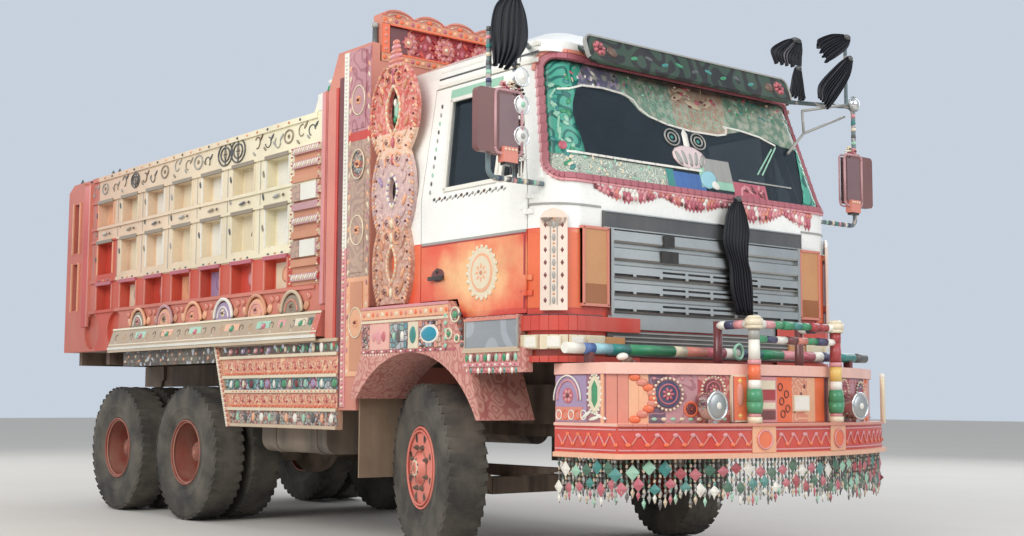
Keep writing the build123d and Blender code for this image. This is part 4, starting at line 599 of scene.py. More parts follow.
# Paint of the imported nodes: colours change with height and along the truck
def cabColour(tree):
    high, spot = axisValue(tree, "Z")
    along, _ = axisValue(tree, "X")
    bands = banded(tree, high, 1.0, 3.3, ((1.0, (0.62, 0.24, 0.18)), (1.31, (0.82, 0.26, 0.19)),
                                          (1.46, (0.9, 0.33, 0.22)), (1.9, (0.97, 0.97, 0.95))))
    blotch = noise(tree, spot, 3.4, 2)
    glow = worked(tree, "MULTIPLY", spread(tree, blotch, 0.38, 0.62),
                  spread(tree, high, 1.44, 1.75), clamp=True)
    front = spread(tree, along, frontAxle + 0.1, frontAxle + 0.75, 0.35, 1.0)
    below = worked(tree, "LESS_THAN", high, 1.9)
    # a wide glow round the door's medallion
    aside = worked(tree, "MULTIPLY", worked(tree, "SUBTRACT", along, frontAxle + 0.6), 2.2)
    rise = worked(tree, "MULTIPLY", worked(tree, "SUBTRACT", high, 1.68), 3.8)
    reach = worked(tree, "SQRT", worked(tree, "ADD", worked(tree, "MULTIPLY", aside, aside),
                                        worked(tree, "MULTIPLY", rise, rise)))
    door = spread(tree, worked(tree, "ADD", reach, noise(tree, spot, 6, 3)), 0.9, 1.6, 1.0, 0.0)
    glow = worked(tree, "MAXIMUM", worked(tree, "MULTIPLY", worked(tree, "MULTIPLY", glow, front), 0.6),
                  door)
    amount = worked(tree, "MULTIPLY", glow, below, clamp=True)
    return mixed(tree, amount, bands, plainColour(0.97, 0.76, 0.54))


def bedColour(tree):
    high, spot = axisValue(tree, "Z")
    along, _ = axisValue(tree, "X")
    aside, _ = axisValue(tree, "Y")
    bands = banded(tree, high, 1.3, 3.1, ((1.3, (0.7, 0.62, 0.52)), (1.56, (0.82, 0.47, 0.4)),
                                          (1.74, (0.8, 0.3, 0.22)), (1.975, (0.95, 0.93, 0.81))))
    warm = spread(tree, along, frontAxle - 4.9, frontAxle - 1.4)
    upper = worked(tree, "MULTIPLY", worked(tree, "GREATER_THAN", high, 1.975),
                   worked(tree, "SUBTRACT", 1.0, warm))
    tinted = mixed(tree, worked(tree, "MULTIPLY", upper, 0.85), bands, plainColour(0.88, 0.72, 0.62))
    low = worked(tree, "MULTIPLY", worked(tree, "LESS_THAN", along, frontAxle - 4.55),
                 worked(tree, "LESS_THAN", high, 2.36))
    tinted = mixed(tree, low, tinted, plainColour(0.8, 0.3, 0.23))
    ends = worked(tree, "LESS_THAN", along, frontAxle - 4.98)
    rear = mixed(tree, ends, tinted, plainColour(0.8, 0.42, 0.36))
    post = worked(tree, "MULTIPLY", worked(tree, "GREATER_THAN", along, frontAxle - 1.13),
                  worked(tree, "LESS_THAN", high, 2.95))
    rear = mixed(tree, post, rear, plainColour(0.8, 0.42, 0.37))
    inside = worked(tree, "LESS_THAN", worked(tree, "ABSOLUTE", aside), 1.125)
    rust = mixed(tree, noise(tree, spot, 5, 5), plainColour(0.42, 0.34, 0.28), plainColour(0.3, 0.2, 0.15))
    return mixed(tree, inside, rear, rust)


def rusty(first, second, scale=6):
    def build(tree):
        spot = addNode(tree, "TexCoord").outputs["Object"]
        return mixed(tree, noise(tree, spot, scale, 5, 0.65), plainColour(*first), plainColour(*second))
    return build


def bumperColour(tree):
    high, _ = axisValue(tree, "Z")
    return banded(tree, high, 0.6, 1.2, ((0.6, (0.92, 0.7, 0.58)), (0.672, (0.8, 0.22, 0.18)),
                                         (0.813, (0.92, 0.72, 0.66)), (0.83, (0.64, 0.42, 0.47)),
                                         (1.09, (0.95, 0.75, 0.69))))


def carvedColour(tree):
    high, spot = axisValue(tree, "Z")
    bands = banded(tree, high, 1.5, 3.3, ((1.5, (0.76, 0.56, 0.48)), (2.04, (0.78, 0.66, 0.66)),
                                          (2.48, (0.9, 0.76, 0.66)), (2.64, (0.82, 0.38, 0.34))))
    mottle = spread(tree, noise(tree, spot, 30, 4, 0.6), 0.44, 0.6, 0.0, 0.55)
    return mixed(tree, mottle, bands, plainColour(0.93, 0.8, 0.74))


def makeGlass():
    material, tree, shader = newMaterial("tintedGlass")
    streaks = noise(tree, addNode(tree, "TexCoord").outputs["Object"], 3.0, 4)
    tint = mixed(tree, streaks, plainColour(0.07, 0.13, 0.17), plainColour(0.12, 0.19, 0.23))
    wire(tree, shader, {"Base Color": tint, "Roughness": spread(tree, streaks, 0.3, 0.7, 0.03, 0.16),
                        "Alpha": spread(tree, streaks, 0.3, 0.7, 0.5, 0.62), "Specular IOR Level": 0.6})
    return material


def makeRubber():
    material, tree, shader = newMaterial("tyreRubber")
    _, spot = axisValue(tree, "Z")
    grain = noise(tree, spot, 45, 4, 0.6)
    dirt = worked(tree, "MULTIPLY", spread(tree, noise(tree, spot, 3.2, 4), 0.35, 0.65), 0.55)
    dusty = mixed(tree, dirt, plainColour(0.2, 0.195, 0.19), plainColour(0.5, 0.47, 0.42))
    wire(tree, shader, {"Base Color": dusty, "Roughness": spread(tree, grain, 0.2, 0.8, 0.75, 0.95)})
    addBump(tree, shader, grain, 0.3, 0.003)
    return material


glass, rubber = makeGlass(), makeRubber()
rimPaint = wornPaint("rimPaint", (0.9, 0.51, 0.45), 0.3, 0.3, 0.45)
rearRimPaint = wornPaint("rearRimPaint", (0.58, 0.24, 0.19), 0.5, 0.6, 0.5)
carvedPaint = wornPaint("carvedPaint", carvedColour, 0.25, 0.3, 0.45)
visorDark = wornPaint("visorDark", (0.05, 0.06, 0.07), 0.05, 0.2, 0.5)
palette["carving"] = carvedPaint
nodePaints = (  # material, colour, chips, dust and gloss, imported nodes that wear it
    ("bodyPaint", bedColour, (0.4, 0.4, 0.45), "bed_sides"),
    ("chassisPaint", rusty((0.16, 0.14, 0.13), (0.27, 0.2, 0.15)), (0.4, 0.7, 0.6),
     "chassis_frame", "leaf_springs", "propshafts", "exhaust", "hoist_barrel"),
    ("castIron", rusty((0.2, 0.17, 0.15), (0.3, 0.22, 0.17)), (0.3, 0.8, 0.6),
     "axles", "knuckle_left", "knuckle_right", "engine_block"),
    ("loadFloor", rusty((0.4, 0.33, 0.28), (0.28, 0.19, 0.14), 3), (0.5, 0.8, 0.6),
     "bed_floor", "bed_bulkhead", "cab_floor"),
    ("flapCanvas", rusty((0.58, 0.5, 0.41), (0.47, 0.38, 0.3), 4), (0.1, 0.7, 0.8), "mud_flaps"),
    ("headboardPaint", (0.82, 0.52, 0.45), (0.4, 0.4, 0.45), "headboard"),
    ("skirtPaint", (0.8, 0.62, 0.52), (0.4, 0.5, 0.5), "side_skirts"),
    ("fenderPaint", scrolled((0.83, 0.6, 0.55), (0.74, 0.44, 0.42), 14, 5, 0.2), (0.3, 0.35, 0.35),
     "front_fenders"),
    ("gatePaint", scrolled((0.7, 0.27, 0.2), (0.55, 0.2, 0.15), 3, 4, 0.15), (0.5, 0.5, 0.35), "tailgate"),
    ("bumperPaint", bumperColour, (0.35, 0.25, 0.35), "bumper"),
    ("darkTrim", (0.1, 0.1, 0.1), (0.1, 0.5, 0.6), "dashboard", "steering_wheel"),
    ("seatCloth", scrolled((0.5, 0.08, 0.1), (0.66, 0.2, 0.2), 20, 5, 0.15), (0.3, 0.3, 0.8), "seats"),
    ("tankPaint", (0.36, 0.34, 0.31), (0.4, 0.9, 0.5), "fuel_tank"),
    ("mirrorTubePaint", scrolled((0.7, 0.66, 0.64), (0.38, 0.46, 0.48), 9, 3, 0.4), (0.4, 0.3, 0.35),
     "mirror_frames"),
    ("mirrorShell", (0.46, 0.3, 0.3), (0.15, 0.4, 0.35), "mirrors"),
)
for name, colour, finish, *worn in nodePaints:
    repaint(wornPaint(name, colour, *finish), *worn)
repaint(wornPaint("cabPaint", cabColour, 0.1, 0.1, 0.25, coat=0.35),
        "door_right", "door_left", "cab_front", "cab_back", "cab_roof")
wheelEnds = ["axle_%s_%s" % (axle, side) for axle in ("2", "3") for side in ("left", "right")]
repaint(glass, "windscreen", "door_glass_left", "door_glass_right")
repaint(rubber, "front_tyre_left", "front_tyre_right", *("tyres_" + end for end in wheelEnds))
repaint(rimPaint, "front_rim_left", "front_rim_right")
repaint(rearRimPaint, *("rims_" + end for end in wheelEnds))
repaint(carvedPaint, "curved_panels")
repaint(visorDark, "sun_visor", "cloths", "fringe", "guard_rail")
repaint(palette["silver"], "grille")
repaint(palette["chrome"], "headlamps", "hoist_rod")
print("nodes painted")

# Cab doors: dotted ornament, handle, medallion, belt lines and raised frames round the panes
doorTrim = {"skin": 1.235, "beltZ": 1.9, "wallZ": 2.19, "stretch": 1.0127, "sillZ": 2.17,
            "handle": (frontAxle + 0.246, 1.683), "medal": (frontAxle + 0.679, 1.689),
            "medalWide": 0.3, "dots": 13}
lean = 0.123 / 0.77  # the wall leans in above the belt


def wallFace(z):
    if z < doorTrim["wallZ"]:
        return rightFace(-doorTrim["skin"])
    return faceAt((0, -doorTrim["skin"] + lean * (z - doorTrim["wallZ"]), z), (1, 0, 0), (0, lean, 1))


def buildDoor(piece):
    face = rightFace(-doorTrim["skin"])
    hx, hz = doorTrim["handle"]
    addDisc(piece, face, hx, hz + 0.018, 0, 0.13, 0.085, 0.006, "maroon", 20)
    addBox(piece, face, hx, hz, 0.018, (0.153, 0.025, 0.015), "black")
    addDome(piece, face, hx - 0.004, hz + 0.045, 0.004, 0.036, 0.036, 0.012, "black", 0, 10, 6)
    mx, mz = doorTrim["medal"]
    wide = doorTrim["medalWide"]
    for width, height, depth, ink in ((0.92, 1.0, 0.004, "cream"), (0.72, 0.8, 0.007, "peach"),
                                      (0.6, 0.68, 0.009, "cream")):
        addDisc(piece, face, mx, mz, 0, wide * width, wide * height, depth, ink, 36)
    domeRow(piece, face, inCircle(mx, mz, wide * 0.47, wide * 0.51, 20), 0.003,
            (0.028, 0.028, 0.005), ("cream",))
    addRosette(piece, face, mx, mz, 0.07, 8, "peach", "peachTan", "cream", 0.01)
    for step in range(doorTrim["dots"]):
        u = frontAxle + 0.2 + 0.055 * step
        ink = ("slate", "brown", "slate", "grey")[step % 4]
        addDome(piece, face, u, doorTrim["sillZ"], 0.002, 0.032, 0.022, 0.004, ink, 0.4, 6, 4)
        addBox(piece, face, u + 0.026, doorTrim["sillZ"] - 0.012, 0.002, (0.026, 0.006, 0.003), ink, 0.6)
    for step in range(11):
        z = 2.22 + 0.055 * step
        ink = ("grey", "slate", "mint")[step % 3]
        addDome(piece, wallFace(z), frontAxle + 0.15, 0, 0.002, 0.022, 0.036, 0.004, ink, 0.3, 6, 4)
    for z, tall, ink in ((doorTrim["beltZ"], 0.016, "grey"), (doorTrim["beltZ"] - 0.012, 0.008, "crimson")):
        addBar(piece, face, frontAxle + 0.5775, z, 1.005, tall, 0.004, ink)
    addStrip(piece, face, frontAxle + 1.06, frontAxle + 1.074, 1.46, 1.88, 0.004, "crimson")
    # raised frames round the window and the vent
    upperFace = wallFace(doorTrim["wallZ"])
    for outline in (((0.305, 2.217), (0.8, 2.217), (0.8, 2.79), (0.255, 2.79)),
                    ((0.84, 2.217), (1.03, 2.217), (0.965, 2.62), (0.84, 2.7))):
        for (x0, z0), (x1, z1) in zip(outline, outline[1:] + outline[:1]):
            tilt = math.atan2(z1 - z0, x1 - x0)
            rise = ((z0 + z1) / 2 - doorTrim["wallZ"]) * doorTrim["stretch"]
            addBox(piece, upperFace, frontAxle + (x0 + x1) / 2, rise, 0.005,
                   (math.hypot(x1 - x0, z1 - z0) + 0.022, 0.026, 0.013), "white", tilt)
    addBox(piece, wallFace(2.83), frontAxle + 0.49, 0, 0.005, (0.5, 0.055, 0.01), "mint")


bothSides(buildDoor, "doorTrim", ("right_door", "left_door"), bevel=0.0015)

# Cab nose: bare name strip, corner panels and vanes, lamp boxes, bands and the lower trim
nose = {"x": 3.14, "corner": 0.21, "strip": (1.925, 2.019, 0.87), "panel": (0.846, 1.03, 1.48, 1.915),
        "vane": (1.443, 2.01, 0.15), "lampZ": 1.27}
noseBands = (  # from height, to height, depth, enamel
    (1.334, 1.416, 0.032, "red"), (1.159, 1.193, 0.028, "red"), (1.23, 1.31, 0.036, "cream"),
    (1.416, 1.425, 0.02, "maroon"), (2.035, 2.047, 0.006, "grey"),
)


def cornerFace(share, out=0.0):
    angle = -math.pi / 2 * share  # 0 looks ahead, 1 looks to the truck's right
    centre = Vector((nose["x"] - nose["corner"], nose["corner"] - doorTrim["skin"], 0))
    outward = Vector((math.cos(angle), math.sin(angle), 0))
    return faceAt(centre + outward * (nose["corner"] + out), (-outward.y, outward.x, 0), (0, 0, 1))


def cornerBand(piece, low, high, depth, ink, steps=7):
    reach = nose["corner"] * math.pi / 2 / steps
    for step in range(steps):
        addBox(piece, cornerFace((step + 0.5) / steps), 0, (low + high) / 2, depth / 2,
               (reach * 1.06, high - low, depth), ink)


def addNoseBands(piece):
    front, face = frontFace(nose["x"]), rightFace(-doorTrim["skin"])
    for low, high, depth, ink in noseBands:
        cornerBand(piece, low, high, depth, ink)
        addStrip(piece, front, -1.03, -0.6 if low < 1.4 and low != 1.23 else -0.88, low, high, depth, ink)
        if low < 1.43:
            addStrip(piece, face, 2.865, 2.935, low, high, depth, ink)


def addCornerLamps(piece):
    front = frontFace(nose["x"])
    for share in (0.16, 0.5, 0.84):
        addBox(piece, cornerFace(share), 0, nose["lampZ"], 0.024, (0.085, 0.07, 0.05), "cream")
        addBox(piece, cornerFace(share), 0, nose["lampZ"], 0.049, (0.07, 0.056, 0.006), "white")
    addBox(piece, front, -0.96, nose["lampZ"], 0.024, (0.11, 0.07, 0.05), "cream")
    addBox(piece, front, -0.8, nose["lampZ"], 0.015, (0.16, 0.07, 0.03), "tan")


def addCornerPanel(piece):
    # tan in a salmon frame, dark at the foot
    front = frontFace(nose["x"])
    left, right, low, high = nose["panel"]
    addStrip(piece, front, -right, -left, low, high, 0.024, "tan")
    for z in (low, high):
        addBar(piece, front, -(left + right) / 2, z, right - left + 0.02, 0.016, 0.03, "salmon")
    for y in (-right, -left):
        addBar(piece, front, y, (low + high) / 2, 0.016, high - low, 0.03, "salmon")
    addStrip(piece, front, -right + 0.01, -left - 0.01, low + 0.01, low + 0.12, 0.0255, "tanDark")
    cornerBand(piece, 1.46, 1.88, 0.003, "orange")


def addVane(piece):
    # white, rounded at its head, with dark diamonds and a raised middle
    low, high, wide = nose["vane"]
    vane = cornerFace(0.5, 0.022)
    addBox(piece, vane, 0, (low + high - 0.05) / 2, 0, (wide + 0.002, high - low - 0.05, 0.017),
           "vaneCream")
    addDisc(piece, vane, 0, high - 0.055, -0.0085, wide + 0.002, 0.11, 0.017, "vaneCream", 24, 1.0)
    for z in (low + 0.1, high - 0.14):
        addBox(piece, vane, 0, z, -0.014, (0.05, 0.03, 0.022), "slate")
    for step in range(7):
        z = low + 0.055 + (high - low - 0.12) * step / 6.4
        for u in (-0.047, 0.047):
            addDiamond(piece, vane, u, z, 0.007, 0.026, 0.044, 0.006, "maroon")
        addDome(piece, vane, 0, z, 0.007, 0.022, 0.05, 0.008, "grey")
        addBead(piece, vane, 0, z + 0.036, 0.008, 0.008, "tan")
    for u in (-0.019, 0.019):
        addBox(piece, vane, u, (low + high - 0.04) / 2, 0.009, (0.006, high - low - 0.1, 0.005), "grey")


piece = newPiece()
for build in (addNoseBands, addCornerLamps, addCornerPanel, addVane):
    build(piece)
for z, tall, out, ink in ((2.905, 0.026, 0.014, "white"), (3.005, 0.026, 0.014, "white"),
                          (2.955, 0.012, 0.006, "slate")):
    addBox(piece, wallFace(z), frontAxle + 0.56, 0, 0.0, (0.96, tall, out), ink)
finishPiece(piece, "noseTrim", "chassis", both=True, bevel=0.0015)

piece = newPiece()
front = frontFace(nose["x"])
low, high, half = nose["strip"]
addStrip(piece, front, -half - 0.001, half + 0.001, low, high + 0.001, 0.016, "slate")
for z in (low, high):
    addBar(piece, front, 0, z, 2 * half, 0.008, 0.022, "silver")
for low, high, depth in ((1.354, 1.429, 0.02), (1.2, 1.345, 0.012)):
    addStrip(piece, front, -0.84, 0.84, low, high, depth, "slate" if depth < 0.015 else "silver")
for step in range(5):
    addBox(piece, front, 0, 1.235 + 0.025 * step, 0.014, (1.6, 0.008, 0.008), "grey")
# black floors of the air slots in the lower slats: painted shade inside the openings
for row in range(3):
    z = 1.4615 + 0.0994 * row
    for column in range(-4, 4):
        left, right = max(0.215 * column + 0.0125, -0.803), min(0.215 * column + 0.2025, 0.803)
        addBox(piece, front, (left + right) / 2, z, 0.0165, (right - left, 0.0145, 0.005), "black")
        if -3 < column < 2:
            addBox(piece, front, (left + right) / 2, z + 0.032, 0.0165, (right - left, 0.0125, 0.005),
                   "black")
finishPiece(piece, "nameStrip", "chassis", bevel=0.001)
print("cab trim made")

# Bumper: ornament on its bowed panel, side returns, band and ledge
bumper = {"half": 1.145, "returnY": 1.14, "bow": 0.315, "endX": frontAxle + 1.735, "panel": (0.83, 1.09),
          "setback": 0.115, "bandZ": 0.743, "bandBack": 0.022, "bandBorders": (0.69, 0.798)}
bowRadius = (bumper["half"] ** 2 + bumper["bow"] ** 2) / (2 * bumper["bow"])


def bowFace(y, setback=0.0):
    angle = math.asin(y / bowRadius)
    middle = bumper["endX"] - setback + bumper["bow"] - bowRadius
    outward = Vector((math.cos(angle), math.sin(angle), 0))
    return faceAt((middle + bowRadius * outward.x, y, 0), (-outward.y, outward.x, 0), (0, 0, 1))


def bowBoxes(piece, yFrom, yTo, low, high, depth, ink, setback, pitch=0.05):
    count = max(1, round(abs(yTo - yFrom) / pitch))
    step = (yTo - yFrom) / count
    for index in range(count):
        y = yFrom + step * (index + 0.5)
        face = bowFace(y, setback)
        addBox(piece, face, 0, (low + high) / 2, depth / 2, (abs(step) * 1.09, high - low, depth), ink)


def bowRing(piece, y, z, wide, setback, beadInk, heartInk, backInk, proud=0.0):
    face = bowFace(y, setback) @ Matrix.Translation((0, 0, proud))
    addDisc(piece, face, 0, z, 0, wide * 0.86, wide * 0.86, 0.006, backInk, 28)
    addRing(piece, face, 0, z, 0.006, wide * 0.62, wide * 0.62, 0.005, heartInk)
    addRosette(piece, face, 0, z, wide * 0.24, 7, heartInk, beadInk, None, 0.014)
    beadRow(piece, face, inCircle(0, z, wide / 2, wide / 2, 22), 0.004, 0.0085, (beadInk,))


def buildReturn(piece):
    # lavender panel with a flower under an arch, leaf in a bead ring, scrolls below
    side = rightFace(-bumper["returnY"])
    low, high = bumper["panel"]
    addStrip(piece, side, 3.06, 3.31, low + 0.005, high - 0.005, 0.004, "lavender")
    addRing(piece, side, 3.16, 0.95, 0.006, 0.17, 0.22, 0.007, "pink", 0, 20, 5, math.pi)
    addRing(piece, side, 3.16, 0.95, 0.01, 0.22, 0.27, 0.006, "white", 0, 20, 5, math.pi)
    addRosette(piece, side, 3.16, 0.975, 0.045, 6, "pink", "maroon", "rose", 0.012)
    addStrip(piece, side, 3.06, 3.28, low + 0.012, 0.915, 0.006, "salmon")
    for step in range(5):
        addRing(piece, side, 3.09 + 0.05 * step, 0.872, 0.007, 0.045, 0.05, 0.004,
                ("white", "orange")[step % 2])
    addDisc(piece, side, 3.375, 0.985, 0, 0.105, 0.2, 0.006, "cream", 28)
    addDiamond(piece, side, 3.375, 0.985, 0.006, 0.055, 0.15, 0.01, "green", 0, 6)
    beadRow(piece, side, inCircle(3.375, 0.985, 0.055, 0.105, 20), 0.004, 0.0085, ("white",))
    for u, z, turn in ((3.31, 0.875, 0.5), (3.37, 0.855, 0.2), (3.42, 0.865, -0.3)):
        addDome(piece, side, u, z, 0.003, 0.1, 0.022, 0.006, "white", turn, 10, 4)
    addStrip(piece, side, 3.425, 3.447, low, high, 0.008, "peach")


def buildPanelFront(piece):
    # from the corner inwards
    back, low, high = bumper["setback"], *bumper["panel"]
    bowBoxes(piece, -1.138, -1.03, low, high, 0.006, "salmon", back)
    bowBoxes(piece, -1.03, -0.93, low, high, 0.005, "peach", back)
    bowBoxes(piece, -0.93, -0.84, low + 0.002, high - 0.002, 0.004, "scrollPurple", back)
    bowBoxes(piece, -0.84, -0.66, low + 0.002, high - 0.002, 0.004, "mauve", back)
    for step in range(9):  # coral curve in front of the purple ground
        t = step / 8
        z = low + 0.02 + 0.225 * t
        face = bowFace(-1.0 + 0.1 * math.sin(math.pi * t), back)
        addDome(piece, face, 0, z, 0.005, 0.07, 0.045, 0.01, "salmon" if step % 2 else "orange")
    bowRing(piece, -0.83, 0.985, 0.17, back, "cream", "rose", "navy", 0.009)
    bowRing(piece, -0.7, 0.905, 0.075, back, "orange", "maroon", "rose")
    bowBoxes(piece, -0.66, -0.455, low + 0.002, high - 0.002, 0.004, "bandRose", back)
    bowRing(piece, -0.565, 1.01, 0.145, back, "cream", "rose", "maroon")
    for step in range(9):
        face = bowFace(-0.9 + 0.05 * step, back)
        addBead(piece, face, 0, high - 0.022, 0.004, 0.01, "pink")
        addDome(piece, face, 0, low + 0.022, 0.004, 0.035, 0.022, 0.006, ("mint", "cream")[step % 2])
    # upright panel beside the post, standing forward of the panel
    face = bowFace(-0.41, back)
    addBox(piece, face, 0, 0.965, 0.012, (0.107, 0.255, 0.026), "cream")
    addBox(piece, face, 0, 0.965, 0.026, (0.085, 0.235, 0.006), "orange")
    addDome(piece, face, 0, 0.985, 0.028, 0.05, 0.14, 0.008, "salmon", 0, 10, 6)
    for z in (0.87, 1.06):
        addDiamond(piece, face, 0, z, 0.028, 0.04, 0.035, 0.006, "yellow")
    # thin rails, ledge edge and top rail
    for z, depth, ink in ((0.823, 0.01, "salmon"), (0.664, 0.012, "peach")):
        bowBoxes(piece, -1.15, 0, z - 0.006, z + 0.006, depth, ink, 0.012, 0.07)


def addVine(piece, face, u, up, long, bud, inks):
    # one slanting stem of the band's vine with its bud
    addBox(piece, face, u, bumper["bandZ"], 0.002, (long, 0.007, 0.006), inks[0], 0.95 if up else -0.95)
    addDome(piece, face, u + 0.018, bumper["bandZ"] + (0.026 if up else -0.026), 0.002, bud, 0.026, 0.006,
            inks[1])


def buildBand(piece):
    # red with a pink vine, and a bright block beside the post
    middle, back, side = bumper["bandZ"], bumper["bandBack"], rightFace(-bumper["half"])
    for step in range(24):
        inks = ("salmon", "pink") if step % 2 else ("pink", "orange")
        addVine(piece, bowFace(-1.13 + 1.13 * (step + 0.5) / 24, back), 0, step % 2, 0.058, 0.036, inks)
    for step in range(11):
        addVine(piece, side, 3.08 + 0.46 * (step + 0.5) / 11, step % 2, 0.055, 0.034, ("pink", "orange"))
    for z in bumper["bandBorders"]:
        bowBoxes(piece, -1.14, 0, z - 0.004, z + 0.004, 0.004, "pink", back, 0.07)
        addBar(piece, side, 3.3, z, 0.48, 0.008, 0.004, "pink")
    bowBoxes(piece, -0.4, -0.24, 0.672, 0.815, 0.008, "peach", back)
    face = bowFace(-0.32, back)
    addDisc(piece, face, 0, middle, 0.008, 0.11, 0.11, 0.006, "orange", 24)
    addRing(piece, face, 0, middle, 0.014, 0.1, 0.1, 0.005, "pink")


piece = newPiece()
for build in (buildReturn, buildPanelFront, buildBand):
    build(piece)
finishPiece(piece, "bumperOrnament", "chassis", both=True)

piece = newPiece()
back, low, high = bumper["setback"], *bumper["panel"]
# panels between the posts, with a bare plate off the middle
for yFrom, yTo, ink in ((-0.3, -0.13, "pink"), (-0.13, 0.0, "orange"), (0.0, 0.14, "scrollSalmon"),
                        (0.14, 0.21, "peach"), (0.21, 0.31, "orange")):
    bowBoxes(piece, yFrom, yTo, low + 0.004, high - 0.004, 0.008, ink, back)
for z, tall, ink in ((1.04, 0.05, "cream"), (0.985, 0.055, "crimson"), (0.925, 0.035, "cream"),
                     (0.875, 0.05, "maroon")):
    bowBoxes(piece, -0.285, -0.145, z - tall / 2, z + tall / 2, 0.013, ink, back)
for y, z in ((-0.1, 1.03), (-0.05, 0.99), (-0.09, 0.95), (-0.04, 0.91), (-0.08, 0.88)):
    addRing(piece, bowFace(y, back), 0, z, 0.01, 0.035, 0.04, 0.004, "maroon", 0, 12, 4)
for step in range(4):
    face = bowFace(0.02 + 0.03 * step, back)
    addDome(piece, face, 0, 0.9 + 0.045 * step, 0.008, 0.022, 0.03, 0.006, "maroon")
plate = bowFace(0.07, back)
addBox(piece, plate, 0, 0.94, 0.012, (0.142, 0.092, 0.021), "cream")
addBox(piece, plate, 0, 0.94, 0.0225, (0.125, 0.075, 0.003), "white")
# small lamp cluster on the top rail and the pale post at the far corner
for dx, dz, wide, ink in ((0.0, 0.018, 0.085, "brown"), (-0.03, 0.04, 0.07, "white"),
                          (0.035, 0.004, 0.07, "maroon")):
    addDome(piece, frontFace(frontAxle + 1.615), -0.985 + dx, 1.145 + dz, 0.01, wide, wide * 0.6, 0.03,
            ink, 0.2, 12, 6)
addSleeve(piece, (frontAxle + 1.735, 1.132, 0.82), (frontAxle + 1.735, 1.132, 1.1), 0.016,
          "cream", None, 14)
addBead(piece, Matrix.Translation((frontAxle + 1.735, 1.132, 1.11)), 0, 0, 0, 0.021, "white")
finishPiece(piece, "bumperPlates", "chassis", bevel=0.001)

# Guard: striped tubes and turned posts, in place of the plain rods
guard = {"postX": frontAxle + 1.975, "postY": 0.355, "backX": frontAxle + 1.71, "tubeX": frontAxle + 1.48,
         "tubeZ": 1.23}
postShape = (  # from height, to height, lower radius, upper radius, enamel
    (0.83, 0.865, 0.04, 0.04, "cream"), (0.865, 0.885, 0.034, 0.034, "pink"),
    (0.885, 0.945, 0.04, 0.047, "green"), (0.945, 1.015, 0.047, 0.04, "green"),
    (1.015, 1.065, 0.036, 0.034, "white"), (1.065, 1.15, 0.034, 0.034, "orange"),
    (1.15, 1.175, 0.037, 0.037, "pink"), (1.175, 1.285, 0.033, 0.031, "white"),
    (1.285, 1.345, 0.031, 0.033, "grey"), (1.345, 1.362, 0.044, 0.05, "cream"),
    (1.362, 1.4, 0.05, 0.05, "cream"), (1.4, 1.418, 0.05, 0.03, "cream"),
)
piece = newPiece()
for side in (-1, 1):
    y = side * guard["postY"]
    for low, high, first, last, ink in postShape:
        if side > 0:
            ink = {"grey": "crimson", "white": "crimson" if low > 1.1 else "white",
                   "orange": "yellow"}.get(ink, ink)
        addSleeve(piece, (guard["postX"], y, low), (guard["postX"], y, high), first, ink, last, 20)
    addSleeve(piece, (guard["backX"], y, 1.01), (guard["backX"], y, 1.396), 0.026, "maroon")
    for index, ink in enumerate(("white", "pink", "navy", "white")):
        start, step = guard["postX"], (guard["backX"] - guard["postX"]) / 4
        addSleeve(piece, (start + step * index, y, 1.372), (start + step * (index + 1), y, 1.372), 0.024,
                  ink)
    placeBox(piece, (guard["tubeX"] - 0.025, side * 1.125 - 0.015, 1.152),
             (guard["tubeX"] + 0.025, side * 1.125 + 0.015, 1.21), "maroon")
railStripes = (  # height, radius, enamels from the truck's right to its left
    (1.372, 0.022, ("white", "pink", "green", "green", "teal", "green", "crimson", "crimson", "white")),
    (1.29, 0.02, ("green", "navy", "white", "maroon", "salmon", "green", "navy", "white")),
)
for z, radius, inks in railStripes:
    step = 2 * guard["postY"] / len(inks)
    for index, ink in enumerate(inks):
        y = -guard["postY"] + step * index
        addSleeve(piece, (guard["postX"], y, z), (guard["postX"], y + step, z),
                  radius * (1.12 if index % 3 == 0 else 1), ink)
tubeStripes = (  # share of the tube's length, enamel
    (0.045, "white"), (0.03, "blue"), (0.045, "cyan"), (0.05, "teal"), (0.13, "green"), (0.035, "cream"),
    (0.06, "salmon"), (0.06, "rose"), (0.045, "white"), (0.025, "navy"), (0.05, "teal"), (0.07, "green"),
    (0.06, "pink"), (0.05, "rose"), (0.03, "white"), (0.03, "navy"), (0.09, "teal"), (0.045, "slate"),
)
y = -1.3
for share, ink in tubeStripes:
    span = 2.6 * share / sum(s for s, _ in tubeStripes)
    addSleeve(piece, (guard["tubeX"], y, guard["tubeZ"]), (guard["tubeX"], y + span, guard["tubeZ"]), 0.03,
              ink)
    y += span
addRing(piece, faceAt((guard["tubeX"] + 0.036, 0.04, guard["tubeZ"] + 0.01), (0, 1, 0), (0, 0, 1)), 0, 0, 0,
        0.075, 0.085, 0.01, "mint")
finishPiece(piece, "guardTubes", "chassis", stands=("guard_rail",))

# Headlamps: chrome rim, silver lens and a white middle over the imported drums
piece = newPiece()
low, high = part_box("headlamps")
for side in (-1, 1):
    face = faceAt((high.x, side * 0.62, 0.925), (0, 1, 0), (0, 0, 1))
    addRing(piece, face, 0, 0, -0.004, 0.148, 0.148, 0.009, "chrome", 0, 28, 6)
    addDome(piece, face, 0, 0, -0.003, 0.135, 0.135, 0.014, "silver", 0, 20, 8)
    addDome(piece, face, 0, 0, 0.004, 0.045, 0.045, 0.012, "white", 0, 12, 6)
finishPiece(piece, "headlampGlasses", "chassis")

